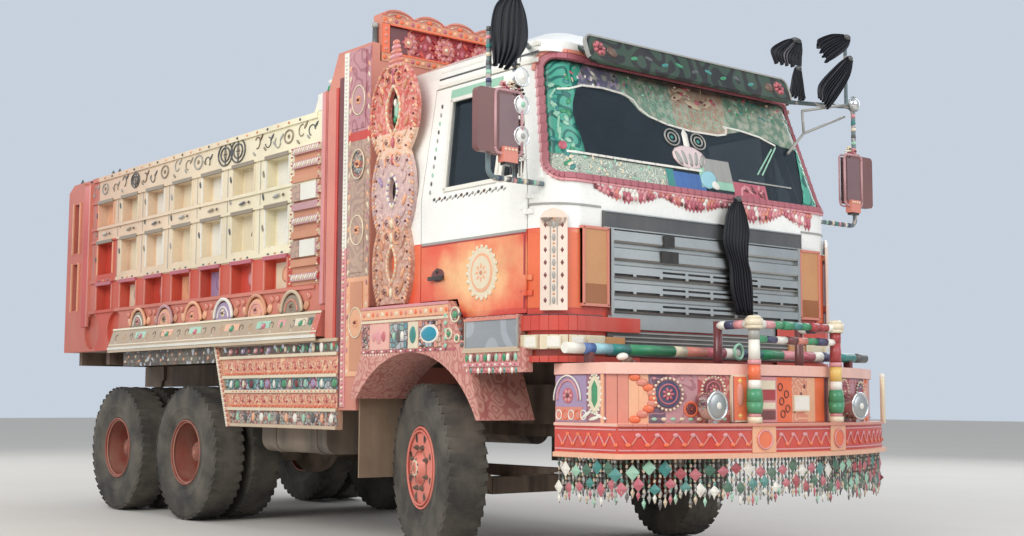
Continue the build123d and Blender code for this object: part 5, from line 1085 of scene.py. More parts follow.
# Fringe: bead strings with cut diamonds in two rows, hung under the ledge
fringe = {"top": 0.645, "bottom": 0.375, "pitch": 0.027, "half": 1.137,
          "inks": ("mint", "rose", "white", "rose", "teal", "fringeGreen", "fringeRose")}
random.seed(7)
piece = newPiece()
places = []
count = round(2 * fringe["half"] / fringe["pitch"])
for index in range(count + 1):
    places.append(bowFace(fringe["half"] * (2 * index / count - 1), 0.046))
for side in (-1, 1):
    for index in range(17):
        x = 3.075 + 0.028 * index
        right = (1, 0, 0) if side < 0 else (-1, 0, 0)
        places.append(faceAt((x, side * 1.131, 0), right, (0, 0, 1)))
for index, face in enumerate(places):
    length = random.uniform(0.72, 1.0) * (fringe["top"] - fringe["bottom"])
    addBox(piece, face, 0, fringe["top"] - length / 2, 0, (0.005, length, 0.005), "slate")
    beads = int(length / 0.026)
    for step in range(beads):
        z = fringe["top"] - 0.012 - 0.026 * step
        addBox(piece, face, random.uniform(-0.003, 0.003), z, 0, (0.011, 0.016, 0.009),
               ("grey", "slate", "fringeGreen", "beige")[(index + step) % 4], random.uniform(-0.4, 0.4))
    if index % 3 == 0:
        z, ink = fringe["top"] - random.uniform(0.045, 0.085), random.choice(fringe["inks"])
        tall = random.uniform(0.05, 0.075)
        addDiamond(piece, face, 0, z, 0.004, 0.078, tall * 1.25, 0.009, ink)
    if index % 3 == 1:
        z, ink = fringe["top"] - random.uniform(0.125, 0.175), random.choice(fringe["inks"])
        addDiamond(piece, face, 0, z, 0.004, 0.07, random.uniform(0.06, 0.09), 0.009, ink)
    z = fringe["top"] - length
    addDiamond(piece, face, 0, z + 0.03, 0.002, 0.024, 0.06, 0.009,
               ("grey", "white", "slate", "beige", "rose", "mint")[index % 6])
    addDiamond(piece, face, 0.004, z + 0.085, 0.001, 0.02, 0.05, 0.008,
               ("slate", "teal", "grey")[index % 3])
finishPiece(piece, "beadFringe", "chassis", stands=("fringe",))
print("bumper made")

# Windscreen: painted borders, lace, outline and emblem on the outer face of the bent pane
screen = {"lowZ": 2.205, "highZ": 2.925, "slope": 0.2792, "lean": 0.1597, "radius": 0.21, "inset": 0.02,
          "frontX": frontAxle + 1.31, "stretch": 1.038, "wrap": 0.178, "corner": 0.085}


def flatHalf(z):
    # half width of the pane's flat part
    return doorTrim["skin"] - screen["lean"] * (z - doorTrim["wallZ"]) - screen["radius"]


def screenFace(s, z, out=0.0):
    # s runs round the pane from its middle, z is height; beyond the flat part it follows the corner
    half, front = flatHalf(z), screen["frontX"] - screen["slope"] * (z - doorTrim["wallZ"])
    side = 1 if s > 0 else -1
    angle = max(0.0, abs(s) - half) / (screen["radius"] - screen["inset"])
    reach = screen["radius"] - screen["inset"] + out
    outward = Vector((math.cos(angle), side * math.sin(angle), 0))
    y = s if angle == 0 else side * half
    spot = Vector((front - screen["radius"], y, z)) + outward * reach
    lean = 0.0 if angle == 0 else -side * screen["lean"]
    return faceAt(spot, (-outward.y, outward.x, 0), (-screen["slope"], lean, 1))


def paneLine(piece, points, wide, depth, ink, out=0.0):
    # ribbon along points (s, z), laid in short lengths
    for (s0, z0), (s1, z1) in zip(points, points[1:]):
        length = math.hypot(s1 - s0, z1 - z0)
        steps = max(1, round(length / 0.06))
        for step in range(steps):
            share = (step + 0.5) / steps
            face = screenFace(s0 + (s1 - s0) * share, z0 + (z1 - z0) * share, out)
            addBox(piece, face, 0, 0, depth / 2, (length / steps * 1.12, wide, depth), ink,
                   math.atan2((z1 - z0) * screen["stretch"], s1 - s0))


def paneArea(piece, sFrom, sTo, zFrom, zTo, depth, ink, pitch=0.07):
    count = max(1, round((sTo - sFrom) / pitch))
    step = (sTo - sFrom) / count
    for index in range(count):
        face = screenFace(sFrom + step * (index + 0.5), (zFrom + zTo) / 2)
        addBox(piece, face, 0, 0, depth / 2, (step * 1.04, (zTo - zFrom) * screen["stretch"], depth), ink)


def screenEdge(z):
    # the pane's side, drawn in where its corners are rounded
    turn = screen["corner"]
    near = max(0.0, turn - min(z - screen["lowZ"], screen["highZ"] - z))
    drawn = turn - math.sqrt(max(turn ** 2 - near ** 2, 0.0))
    return flatHalf(z) + screen["wrap"] - drawn


def panePatch(piece, where, out, ink, columns=24, rows=8):
    # smooth thin patch; where turns shares across and up into (s, z)
    mesh = bmesh.new()
    bmesh.ops.create_grid(mesh, x_segments=columns, y_segments=rows, size=0.5)
    for vert in mesh.verts:
        vert.co = screenFace(*where(vert.co.x + 0.5, vert.co.y + 0.5), out).translation
    bmesh.ops.solidify(mesh, geom=mesh.faces[:], thickness=0.0012)
    addShape(piece, takeShape(mesh), Matrix.Identity(4), ink, True)


def alongLine(points, s):
    for (s0, z0), (s1, z1) in zip(points, points[1:]):
        if s < s1:
            return z0 + (z1 - z0) * max(0.0, (s - s0) / (s1 - s0))
    return points[-1][1]


def printColour(tree):
    aside, spot = axisValue(tree, "Y")
    bands = banded(tree, aside, -1.3, 1.3, ((-1.3, (0.4, 0.4, 0.5)), (-0.55, (0.44, 0.55, 0.48)),
                                            (-0.12, (0.68, 0.56, 0.48)), (0.36, (0.4, 0.52, 0.44))))
    return mixed(tree, spread(tree, noise(tree, spot, 18, 4, 0.6), 0.45, 0.6, 0.0, 0.7), bands,
                 plainColour(0.74, 0.73, 0.66))


palette["screenPrint"] = wornPaint("screenPrint", printColour, chips=0.0, dust=0.1, gloss=0.3)
random.seed(3)
piece = newPiece()
low, high = screen["lowZ"] + 0.012, screen["highZ"] - 0.012
borderEdge = ((-1.2, 2.72), (-1.04, 2.73), (-0.97, 2.738), (-0.86, 2.775), (-0.7, 2.785), (-0.52, 2.772),
              (-0.45, 2.745), (-0.4, 2.69), (-0.34, 2.655), (-0.2, 2.625), (0.0, 2.608), (0.25, 2.612),
              (0.33, 2.64), (0.48, 2.675), (0.66, 2.655), (0.8, 2.615), (1.1, 2.6))


def borderSpot(a, b):
    s = (2 * a - 1) * screenEdge(high)
    z = alongLine(borderEdge, s)
    z += (high - z) * b
    return (2 * a - 1) * screenEdge(z), z


def leftSpot(a, b):
    z = low + (high - low) * b
    inner = -screenEdge(z) + 0.2 + 0.035 * math.sin((z - low) * 12)
    return -screenEdge(z) + (inner + screenEdge(z)) * a, z


def rightSpot(a, b):
    z = low + (2.62 - low) * b
    inner = screenEdge(z) - 0.24 + 0.12 * b
    return inner + (screenEdge(z) - inner) * a, z


panePatch(piece, borderSpot, 0.0022, "screenPrint", 64, 6)
panePatch(piece, leftSpot, 0.0034, "emerald", 8, 24)
panePatch(piece, rightSpot, 0.0034, "emerald", 8, 16)


def addLeaves(piece):
    # printed leaves down both sides and along the top, a flower in the middle
    for side in (-1, 1):
        for step in range(26):
            z = low + (high - low - 0.12) * random.random() + 0.03
            s = side * (screenEdge(z) - 0.03 - 0.12 * random.random())
            addDome(piece, screenFace(s, z), 0, 0, 0.004, 0.05, 0.03, 0.002,
                    ("mint", "green", "teal")[step % 3], random.uniform(0, 3), 7, 4)
    span = 2 * screenEdge(high)
    for step in range(110):
        s = random.uniform(-span / 2 + 0.06, span / 2 - 0.06)
        z = high - random.uniform(0.015, 0.135)
        if -0.9 < s < -0.55:
            ink = random.choice(("lavender", "grey", "white", "slate"))
        elif -0.45 < s < -0.15:
            ink = random.choice(("mint", "grey", "green"))
        elif -0.15 < s < 0.35:
            ink = random.choice(("beige", "rose", "maroon", "cream"))
        else:
            ink = random.choice(("green", "mint", "teal", "beige", "rose"))
        addDome(piece, screenFace(s, z), 0, 0, 0.0022, random.uniform(0.022, 0.045),
                random.uniform(0.014, 0.024), 0.002, ink, random.uniform(0, 3), 7, 4)
    for s, z, wide, turn in ((-0.05, 2.83, 0.15, 0.4), (0.08, 2.79, 0.17, -0.3), (0.22, 2.82, 0.13, 0.5),
                             (0.0, 2.87, 0.12, 0)):
        addDome(piece, screenFace(s, z), 0, 0, 0.0025, wide, 0.05, 0.004, "beige", turn, 10, 4)
        addDome(piece, screenFace(s + 0.04, z + 0.02), 0, 0, 0.004, 0.05, 0.03, 0.004, "rose", turn)
        addDome(piece, screenFace(s - 0.03, z - 0.015), 0, 0, 0.004, 0.035, 0.02, 0.004, "maroon", turn)


def addBowl(piece):
    # hanging bowl of scrolls under the middle
    for row, (half, z) in enumerate(((0.42, 2.765), (0.4, 2.735), (0.36, 2.705), (0.3, 2.675),
                                     (0.22, 2.648))):
        count = max(3, round(2 * half / 0.055))
        for step in range(count):
            s = 0.03 - half + 2 * half * (step + 0.5) / count
            addRing(piece, screenFace(s, z), 0, 0, 0.003, 0.036, 0.026, 0.0035, "mint",
                    random.uniform(0, 3), 8, 3, 4.4)


def addPaneOutline(piece):
    # white outline that runs beneath it all
    outline = ((-1.04, 2.73), (-0.97, 2.738), (-0.86, 2.775), (-0.7, 2.785), (-0.52, 2.772), (-0.45, 2.745),
               (-0.42, 2.7), (-0.34, 2.655), (-0.2, 2.625), (0.0, 2.608), (0.25, 2.612), (0.33, 2.63),
               (0.345, 2.665), (0.315, 2.68), (0.48, 2.675), (0.66, 2.655), (0.8, 2.615))
    paneLine(piece, outline, 0.012, 0.005, "white", 0.001)
    paneLine(piece, ((-1.055, 2.73), (-1.09, 2.68), (-1.075, 2.56), (-1.09, 2.42), (-1.06, 2.38)), 0.012,
             0.004, "mint", 0.001)
    for shift in (0.0, 0.045):
        paneLine(piece, ((0.8 - shift, 2.6 - shift * 0.4), (0.6 - shift, 2.39)), 0.01, 0.004, "mint", 0.001)


def addLowerRows(piece):
    # white line, lace on the truck's right, blocks of colour in the middle
    paneLine(piece, ((-1.07, 2.348), (-0.55, 2.348), (0.02, 2.352)), 0.014, 0.005, "white", 0.001)
    paneLine(piece, ((0.36, 2.33), (0.86, 2.33)), 0.01, 0.004, "grey", 0.001)
    addDome(piece, screenFace(-1.085, 2.385), 0, 0, 0.002, 0.055, 0.06, 0.006, "rose", 0, 10, 6)
    panePatch(piece, lambda a, b: (-screenEdge(low + (2.335 - low) * b) * (1 - a) - 0.3 * a,
                                   low + (2.335 - low) * b), 0.0046, "paleLace")
    for step in range(46):
        s, z = random.uniform(-1.1, -0.31), random.uniform(low + 0.01, 2.33)
        addDome(piece, screenFace(s, z), 0, 0, 0.005, random.uniform(0.02, 0.045),
                random.uniform(0.012, 0.024), 0.002, random.choice(("mint", "cream", "grey")),
                random.uniform(0, 3), 7, 4)
    paneArea(piece, -0.3, -0.235, low, 2.335, 0.0026, "teal")
    paneArea(piece, -0.235, 0.03, low, 2.325, 0.003, "blue")
    paneArea(piece, 0.0, 0.29, low + 0.03, 2.44, 0.0036, "mint")
    paneArea(piece, 0.05, 0.29, 2.3, 2.44, 0.0042, "grey")
    addDome(piece, screenFace(0.07, 2.3), 0, 0, 0.004, 0.16, 0.12, 0.004, "cyan", 0.5, 10, 6)
    addDome(piece, screenFace(0.12, 2.27), 0, 0, 0.005, 0.08, 0.06, 0.004, "white", -0.4, 10, 6)
    paneArea(piece, 0.29, 0.6, low, 2.315, 0.0026, "rose")
    for step in range(14):
        addDome(piece, screenFace(random.uniform(0.31, 0.58), random.uniform(low + 0.02, 2.3)), 0, 0, 0.003,
                0.05, 0.022, 0.002, ("maroon", "pink")[step % 2], random.uniform(0, 3), 7, 4)


def addEmblem(piece):
    # two spirals over a shell
    for side in (-1, 1):
        centre = -0.065 + side * 0.115
        for wide in (0.125, 0.07):
            addRing(piece, screenFace(centre, 2.545), 0, 0, 0.004, wide, wide * 0.85, 0.0065, "grey")
        addDome(piece, screenFace(centre, 2.545), 0, 0, 0.003, 0.03, 0.03, 0.004, "teal", 0, 10, 6)
    addDiamond(piece, screenFace(-0.06, 2.545), 0, 0, 0.002, 0.06, 0.16, 0.008, "white", 0, 6)
    addDome(piece, screenFace(-0.06, 2.43), 0, 0, 0.002, 0.3, 0.16, 0.008, "shellPink", 0, 14, 6)
    for step in range(5):
        addDome(piece, screenFace(-0.16 + 0.05 * step, 2.415 + 0.008 * (step % 2)), 0, 0, 0.008, 0.04, 0.1,
                0.004, "grey", 0.5 - 0.25 * step)


for build in (addLeaves, addBowl, addPaneOutline, addLowerRows, addEmblem):
    build(piece)
finishPiece(piece, "screenPaintings", "chassis")


# Frame of the windscreen, rounded at its corners, and the lace hanging below it
def screenLoop(grow):
    grow, turn = grow + 0.009, screen["corner"] + grow
    low, high = screen["lowZ"] - grow, screen["highZ"] + grow
    points = []
    for midZ, start in ((low + turn, -90), (high - turn, 0)):
        for step in range(7):
            angle = math.radians(start + 15 * step)
            z = midZ + turn * math.sin(angle)
            edge = flatHalf(z) + screen["wrap"] + grow - 0.001
            points.append((edge - turn + turn * math.cos(angle), z))
    return [(0.0, low)] + points + [(0.0, high)]


piece = newPiece()
for side in (-1, 1):
    paneLine(piece, [(side * s, z) for s, z in screenLoop(0.0)], 0.034, 0.022, "framePink", 0.012)
    paneLine(piece, [(side * s, z) for s, z in screenLoop(0.022)], 0.016, 0.014, "pink", 0.014)
    paneLine(piece, [(side * s, z) for s, z in screenLoop(0.034)[8:]], 0.022, 0.016, "salmon", 0.02)
finishPiece(piece, "screenFrame", "chassis")

lace = {"from": -0.93, "to": 0.98, "top": 2.192, "drop": 0.125, "count": 60}
random.seed(11)
piece = newPiece()
for step in range(lace["count"]):
    share = (step + 0.5) / lace["count"]
    s = lace["from"] + (lace["to"] - lace["from"]) * share
    drop = lace["drop"] * (0.42 + 0.58 * abs(math.sin(share * 11.0))) * (1.15 if share > 0.55 else 0.95)
    face = faceAt((frontAxle + 1.312, s, lace["top"]), (0, 1, 0), (0, 0, 1))
    ink = random.choice(("rose", "pink", "salmon", "rose", "white"))
    addDiamond(piece, face, 0, -drop / 2, 0.0, 0.046, drop, 0.008, ink, 0, 6)
    addDome(piece, face, 0.012, -drop * 0.3, 0.004, 0.038, 0.034, 0.006,
            random.choice(("pink", "salmon", "white")), 0.6, 7, 4)
    addDome(piece, face, -0.01, -drop * 0.7, 0.004, 0.026, 0.03, 0.005,
            random.choice(("rose", "maroon", "pink")), 0.2, 7, 4)
    addBox(piece, face, 0, -0.006, 0.004, (0.036, 0.02, 0.008), "rose")
finishPiece(piece, "screenLace", "chassis")

# Sun visor: a standing dark face with worn green print, a pale lip and a sloping shelf behind it
visor = {"half": 0.9, "foot": (frontAxle + 1.238, 2.894), "head": (frontAxle + 1.18, 3.062),
         "back": (frontAxle + 1.085, 3.005)}
piece = newPiece()
(footX, footZ), (headX, headZ), (backX, backZ) = visor["foot"], visor["head"], visor["back"]
visorFace = faceAt((footX, 0, footZ), (0, 1, 0), (headX - footX, 0, headZ - footZ))
tall, half, turnAt = math.hypot(headX - footX, headZ - footZ), visor["half"], 0.055
outline = []
for index, (u, v) in enumerate(((half - turnAt, turnAt), (half - turnAt, tall - turnAt),
                                (turnAt - half, tall - turnAt), (turnAt - half, turnAt))):
    for step in range(7):
        angle = (index - 1) * math.pi / 2 + math.pi / 12 * step
        outline.append((u + turnAt * math.cos(angle), v + turnAt * math.sin(angle)))
addRun(piece, visorFace, outline, 0.009, "visorFace", 0.006)
for (u0, v0), (u1, v1) in zip(outline, outline[1:] + outline[:1]):
    long = math.hypot(u1 - u0, v1 - v0)
    if (v0 + v1) / 2 > 0.03:
        addBox(piece, visorFace, (u0 + u1) / 2, (v0 + v1) / 2, 0.003, (long + 0.004, 0.012, 0.022), "grey",
               math.atan2(v1 - v0, u1 - u0))
shelf = faceAt(((footX + backX) / 2, 0, (footZ + backZ) / 2 + 0.012), (0, 1, 0),
               (backX - footX, 0, backZ - footZ))
addBox(piece, shelf, 0, 0, 0, (2 * half - 0.08, math.hypot(backX - footX, backZ - footZ) + 0.02, 0.018),
       "visorFace")
for side in (-1, 1):
    addRosette(piece, visorFace, side * 0.8, tall * 0.55, 0.055, 7, "rose", "maroon", "brown", 0.02)
    addDome(piece, visorFace, side * 0.7, tall * 0.5, 0.008, 0.09, 0.07, 0.01, "brown", 0.4 * side, 10, 5)
for step in range(9):
    addDome(piece, visorFace, -0.52 + 0.13 * step, tall * (0.45 + 0.12 * (step % 2)), 0.008, 0.075, 0.03,
            0.004, ("green", "slate", "teal")[step % 3], 0.3 * (-1) ** step)
finishPiece(piece, "visorPanel", "chassis", stands=("sun_visor",))
print("windscreen made")

# Mirrors: pale rimmed heads with a mirror behind, and chrome lamps with flowers on the right pole
mirrorLow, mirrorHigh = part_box("mirrors")
mirrorSet = {"x": frontAxle + 1.2, "tubeY": 1.42, "headY": (1.42, 1.605), "headZ": (2.275, 2.625),
             "lamps": (2.385, 2.56, 2.715), "cornerTurn": 0.028}


def addPath(piece, points, radius, ink, around=8):
    for start, end in zip(points, points[1:]):
        addSleeve(piece, start, end, radius, ink, None, around)
    for point in points[1:-1]:
        addBead(piece, Matrix.Translation(point), 0, 0, 0, radius * 1.04, ink)


def buildHead(piece):
    near, far = mirrorSet["headY"]
    low, high = mirrorSet["headZ"]
    middle, wide = -(near + far) / 2, far - near
    front, rear = frontFace(mirrorHigh.x), faceAt((mirrorLow.x, 0, 0), (0, -1, 0), (0, 0, 1))
    addBox(piece, front, middle, (low + high) / 2, 0.001, (wide - 0.05, high - low - 0.05, 0.003),
           "mirrorFace")
    addBox(piece, rear, -middle, (low + high) / 2, 0.001, (wide - 0.03, high - low - 0.03, 0.003),
           "mirrorGlass")
    # rounded pale rim round the head
    corners, turnAt = [], mirrorSet["cornerTurn"]
    for index, (cornerY, cornerZ) in enumerate(((far, low), (far, high), (near, high), (near, low))):
        inY = -(cornerY - math.copysign(turnAt, cornerY - (near + far) / 2))
        inZ = cornerZ + turnAt * (1 if cornerZ == low else -1)
        for step in range(5):
            angle = math.pi - index * math.pi / 2 + (math.pi / 2) * (1 - step / 4)
            corners.append(Vector((mirrorHigh.x, inY + turnAt * math.cos(angle),
                                   inZ + turnAt * math.sin(angle))))
    addPath(piece, corners + corners[:1], 0.0085, "palePinkRim")
    for corner in corners:
        corner.x = mirrorLow.x
    addPath(piece, corners + corners[:1], 0.006, "palePinkRim", 6)
    # flower cluster on the head and a dotted foot under it
    for step, (dy, dz, size, ink) in enumerate(((-0.03, 0.03, 0.046, "pink"), (0.025, 0.04, 0.04, "cream"),
                                                (0.0, 0.008, 0.034, "rose"), (0.05, 0.012, 0.036, "white"),
                                                (-0.055, 0.006, 0.03, "white"))):
        face = frontFace(mirrorHigh.x - 0.02)
        addRosette(piece, face, middle + dy, high + dz, size * 0.62, 6, ink, "maroon", None, 0.02, step)
    foot = frontFace(mirrorHigh.x - 0.004)
    addBox(piece, foot, middle, low - 0.005, 0, (0.1, 0.085, 0.05), "salmon")
    addBox(piece, foot, middle, low - 0.052, 0, (0.075, 0.02, 0.04), "black")
    for step in range(4):
        addBead(piece, foot, middle - 0.036 + 0.024 * step, low + 0.022, 0.026, 0.008, "cream")
    # clamps where the arms meet the head's tube
    for z in (low + 0.03, high - 0.03):
        addSleeve(piece, (mirrorSet["x"], middle - 0.11, z), (mirrorSet["x"], middle - 0.05, z),
                  0.01, "slate")


piece = newPiece()
buildHead(piece)
finishPiece(piece, "mirrorHeads", "chassis", both=True)

piece = newPiece()
for index, z in enumerate(mirrorSet["lamps"]):
    y, x = -mirrorSet["tubeY"], mirrorSet["x"]
    for start, end, first, last in ((0.0, 0.014, 0.02, 0.033), (0.014, 0.044, 0.033, 0.0545),
                                    (0.044, 0.0612, 0.0545, 0.0545)):
        addSleeve(piece, (x + start, y, z), (x + end, y, z), first, "chrome", last, 28)
    face = frontFace(x + 0.06)
    addRing(piece, face, y, z, 0.001, 0.104, 0.104, 0.0045, "chrome", 0, 28, 6)
    addDome(piece, face, y, z, -0.004, 0.094, 0.094, 0.016, "lampGlow", 0, 20, 8)
    addDome(piece, face, y, z, 0.008, 0.036, 0.036, 0.01, ("grey", "mint", "white")[index], 0, 10, 6)
for step, z in enumerate((2.33, 2.46, 2.485, 2.635, 2.65, 2.775, 2.3, 2.52)):
    face = frontFace(mirrorSet["x"] + 0.016)
    ink = ("brown", "maroon", "pink", "black", "brown", "slate", "grey", "salmon")[step]
    addRosette(piece, face, -mirrorSet["tubeY"] + 0.02 * math.sin(step * 2.4), z, 0.03 + 0.006 * (step % 2),
               6, ink, ("pink", "cream")[step % 2], None, 0.022, step)
for step in range(9):
    z, y = 2.272 + 0.008 * (step % 3), -1.36 - 0.014 * step
    addBead(piece, frontFace(mirrorSet["x"] + 0.012), y, z, 0.01, 0.011,
            ("chrome", "white", "pink")[step % 3])
for step in range(5):
    addSleeve(piece, (mirrorSet["x"] + 0.018, -1.375 - 0.022 * step, 2.26 - 0.006 * step),
              (mirrorSet["x"] + 0.018, -1.377 - 0.022 * step, 2.19 - 0.018 * (step % 3)), 0.007,
              ("brown", "slate", "black")[step % 3], 0.002, 6)
finishPiece(piece, "poleLamps", "chassis")

# Striped wraps of enamel round the mirror tubes
wraps = {"radius": 0.0165, "inks": ("mint", "slate", "cream", "teal", "pink", "slate", "white", "navy")}
piece = newPiece()
for index in range(8):
    start = 1.275 + 0.035 * index
    addSleeve(piece, (mirrorSet["x"], -start, 2.15), (mirrorSet["x"], -start - 0.018, 2.15),
              wraps["radius"], wraps["inks"][index], None, 12)
for index in range(14):
    z = 2.33 + 0.048 * index
    far = -mirrorSet["headY"][1]
    addSleeve(piece, (mirrorSet["x"], far, z), (mirrorSet["x"], far, z + 0.022), wraps["radius"],
              wraps["inks"][index % 8], None, 12)
finishPiece(piece, "tubeWraps", "chassis", both=True)

# Thin stays between the left mirror's tubes and the cab, with a chrome ball over the head
piece = newPiece()
for (y0, z0), (y1, z1) in (((1.069, 2.728), (1.508, 2.899)), ((1.055, 2.878), (1.59, 3.0)),
                           ((1.069, 2.728), (0.9, 2.57)), ((1.069, 2.728), (1.055, 2.878))):
    addSleeve(piece, (mirrorSet["x"], y0, z0), (mirrorSet["x"], y1, z1), 0.0095, "grey", None, 10)
addDome(piece, frontFace(mirrorSet["x"]), 1.605, 3.0, 0, 0.095, 0.095, 0.045, "chrome", 0, 18, 10)
addRing(piece, frontFace(mirrorSet["x"] + 0.012), 1.605, 3.0, 0, 0.1, 0.1, 0.007, "silver")
finishPiece(piece, "mirrorStays", "chassis")

# Cloths: black pleated fans tied to the mirror frames, and a long tassel over the grille
cloths = {"columns": 80, "rows": 22, "thick": 0.0012}


def curveAt(points, t):
    # smooth value along a list of points, t from 0 to 1
    place = t * (len(points) - 1)
    part = min(int(place), len(points) - 2)
    share = place - part
    first = points[max(part - 1, 0)]
    second, third = points[part], points[part + 1]
    last = points[min(part + 2, len(points) - 1)]
    smooth = []
    for a, b, c, d in zip(first, second, third, last):
        slope, bend, twist = c - a, 2 * a - 5 * b + 4 * c - d, 3 * b - a - 3 * c + d
        smooth.append(0.5 * (2 * b + slope * share + bend * share ** 2 + twist * share ** 3))
    return tuple(smooth)


def makeCloth(name, x, edges, pleats, deep, stripes, held, seed):
    # edges are (left y, left z, right y, right z) down the cloth from where it is tied
    random.seed(seed)
    columns, rows = cloths["columns"], cloths["rows"]
    waves = [(random.uniform(0.6, 1.6), random.uniform(0, 6.3)) for _ in range(4)]
    points, faces, paints = [], [], []
    for row in range(rows + 1):
        t = row / rows
        leftY, leftZ, rightY, rightZ = curveAt(edges, t)
        for column in range(columns + 1):
            u = column / columns
            sway = 0.018 * math.sin(9 * u + seed) + 0.01 * math.sin(5 * t + 7 * u)
            phase = math.tau * pleats * (u + sway)
            fold = math.sin(phase) * (0.35 + 0.65 * t) * deep
            soft = 0.006 * sum(math.sin(f * 4 * u + p + 2.2 * t) for f, p in waves) / 4
            hem = 0.01 * math.sin(phase * 0.5 + seed) * t ** 4
            points.append((x + fold + soft, leftY + (rightY - leftY) * u,
                           leftZ + (rightZ - leftZ) * u + hem))
    for row in range(rows):
        for column in range(columns):
            first = row * (columns + 1) + column
            faces.append((first, first + columns + 1, first + columns + 2, first + 1))
            striped = row > 2 and any(abs(column / columns - stripe) < 0.011 for stripe in stripes)
            paints.append(1 if striped else 0)
    data = bpy.data.meshes.new(name)
    data.from_pydata(points, [], faces)
    data.materials.append(palette["blackCloth"])
    data.materials.append(palette["paleCloth"])
    data.polygons.foreach_set("material_index", paints)
    data.polygons.foreach_set("use_smooth", [True] * len(faces))
    data.update()
    area = sum(polygon.area for polygon in data.polygons)
    made = bpy.data.objects.new(name, data)
    bpy.context.scene.collection.objects.link(made)
    skin = made.modifiers.new("cloth", "SOLIDIFY")
    skin.thickness, skin.offset = cloths["thick"], 0
    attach(made, "chassis")
    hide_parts("cloths")
    length = math.dist(edges[0][:2], edges[-1][:2]) * 0.5 + math.dist(edges[0][2:], edges[-1][2:]) * 0.5
    return area, length


clothRuns = (
    # name, x, edges, pleats, depth, stripes, how held, what it lies on, seed
    ("clothUpperInner", frontAxle + 1.09,
     ((1.085, 3.4, 1.205, 3.392), (0.98, 3.36, 1.212, 3.33), (0.865, 3.285, 1.205, 3.27),
      (0.9, 3.205, 1.195, 3.215)),
     10, 0.01, (0.18, 0.42, 0.5), "gathered", "mirror_frames", 2),
    ("clothLowerInner", frontAxle + 1.09,
     ((1.125, 3.205, 1.195, 3.2), (1.095, 3.14, 1.205, 3.13), (1.075, 3.06, 1.215, 3.06),
      (1.055, 3.005, 1.225, 2.995)),
     9, 0.01, (0.3, 0.62), "gathered", "mirror_frames", 5),
    ("clothUpperOuter", frontAxle + 1.245,
     ((1.455, 3.46, 1.535, 3.432), (1.31, 3.435, 1.5, 3.37), (1.17, 3.375, 1.38, 3.285),
      (1.165, 3.335, 1.27, 3.225)),
     8, 0.011, (0.35,), "gathered", "mirror_frames", 8),
    ("clothLowerOuter", frontAxle + 1.245,
     ((1.5, 3.315, 1.548, 3.29), (1.38, 3.235, 1.505, 3.17), (1.2, 3.08, 1.36, 2.995),
      (1.185, 2.985, 1.27, 2.92)),
     10, 0.012, (0.2, 0.45, 0.7), "gathered", "mirror_frames", 11),
    ("clothRight", frontAxle + 1.245,
     ((-1.5, 3.185, -1.43, 3.185), (-1.6, 3.09, -1.375, 3.07), (-1.635, 2.96, -1.36, 2.94),
      (-1.625, 2.86, -1.4, 2.85), (-1.615, 2.76, -1.5, 2.75)),
     6, 0.014, (), "gathered", "mirror_frames", 14),
    ("grilleTassel", frontAxle + 1.372,
     ((0.19, 2.185, 0.24, 2.18), (0.115, 2.1, 0.285, 2.09), (0.085, 2.0, 0.31, 1.99),
      (0.075, 1.9, 0.3, 1.895), (0.12, 1.81, 0.3, 1.805), (0.135, 1.74, 0.325, 1.74),
      (0.145, 1.62, 0.34, 1.62), (0.2, 1.48, 0.335, 1.475)),
     8, 0.012, (0.42,), "gathered", "grille", 17),
)
for name, x, edges, pleats, deep, stripes, held, below, seed in clothRuns:
    area, length = makeCloth(name, x, edges, pleats, deep, stripes, held, seed)
    print(name, "cut", round(area / length, 3), "by", round(length, 3))
piece = newPiece()
for name, x, edges, *_ in clothRuns:
    leftY, leftZ, rightY, rightZ = edges[0]
    spot = Vector((x, (leftY + rightY) / 2, (leftZ + rightZ) / 2))
    addDome(piece, frontFace(x), spot.y, spot.z, 0, abs(rightY - leftY) * 0.9, 0.042, 0.02,
            "slate", 0, 12, 8)
    if "Tassel" not in name:
        poleY = -mirrorSet["tubeY"] if spot.y < 0 else (1.22 if spot.y < 1.3 else 1.53)
        addSleeve(piece, (x - 0.048, poleY, spot.z), spot, 0.006, "slate", None, 8)
for y, z, wide, tall in ((-0.37, 1.876, 0.085, 0.066), (-0.365, 1.784, 0.14, 0.07)):
    addBox(piece, frontFace(frontAxle + 1.345), y, z, 0.004, (wide, tall, 0.012), "black")
addSleeve(piece, (frontAxle + 1.345, 0.2, 2.19), (frontAxle + 1.38, 0.2, 2.185), 0.008, "slate")
finishPiece(piece, "clothTies", "chassis")
print("mirrors and cloths made")

# Wheels: lathed tyres with blocks, then bolts, rings and hubs; every piece turns with its wheel
wheels = {"radius": 0.529, "blocks": 42, "width": 0.272, "rim": 0.254, "twin": 0.33, "turn": -16,
          "wall": ((0.256, 0.109), (0.262, 0.118), (0.273, 0.119), (0.281, 0.114), (0.3, 0.121),
                   (0.334, 0.1305), (0.346, 0.1322), (0.35, 0.135), (0.357, 0.135), (0.361, 0.1338),
                   (0.39, 0.136), (0.414, 0.136), (0.45, 0.1335), (0.48, 0.128), (0.499, 0.1245),
                   (0.512, 0.117), (0.519, 0.104), (0.5205, 0.06))}


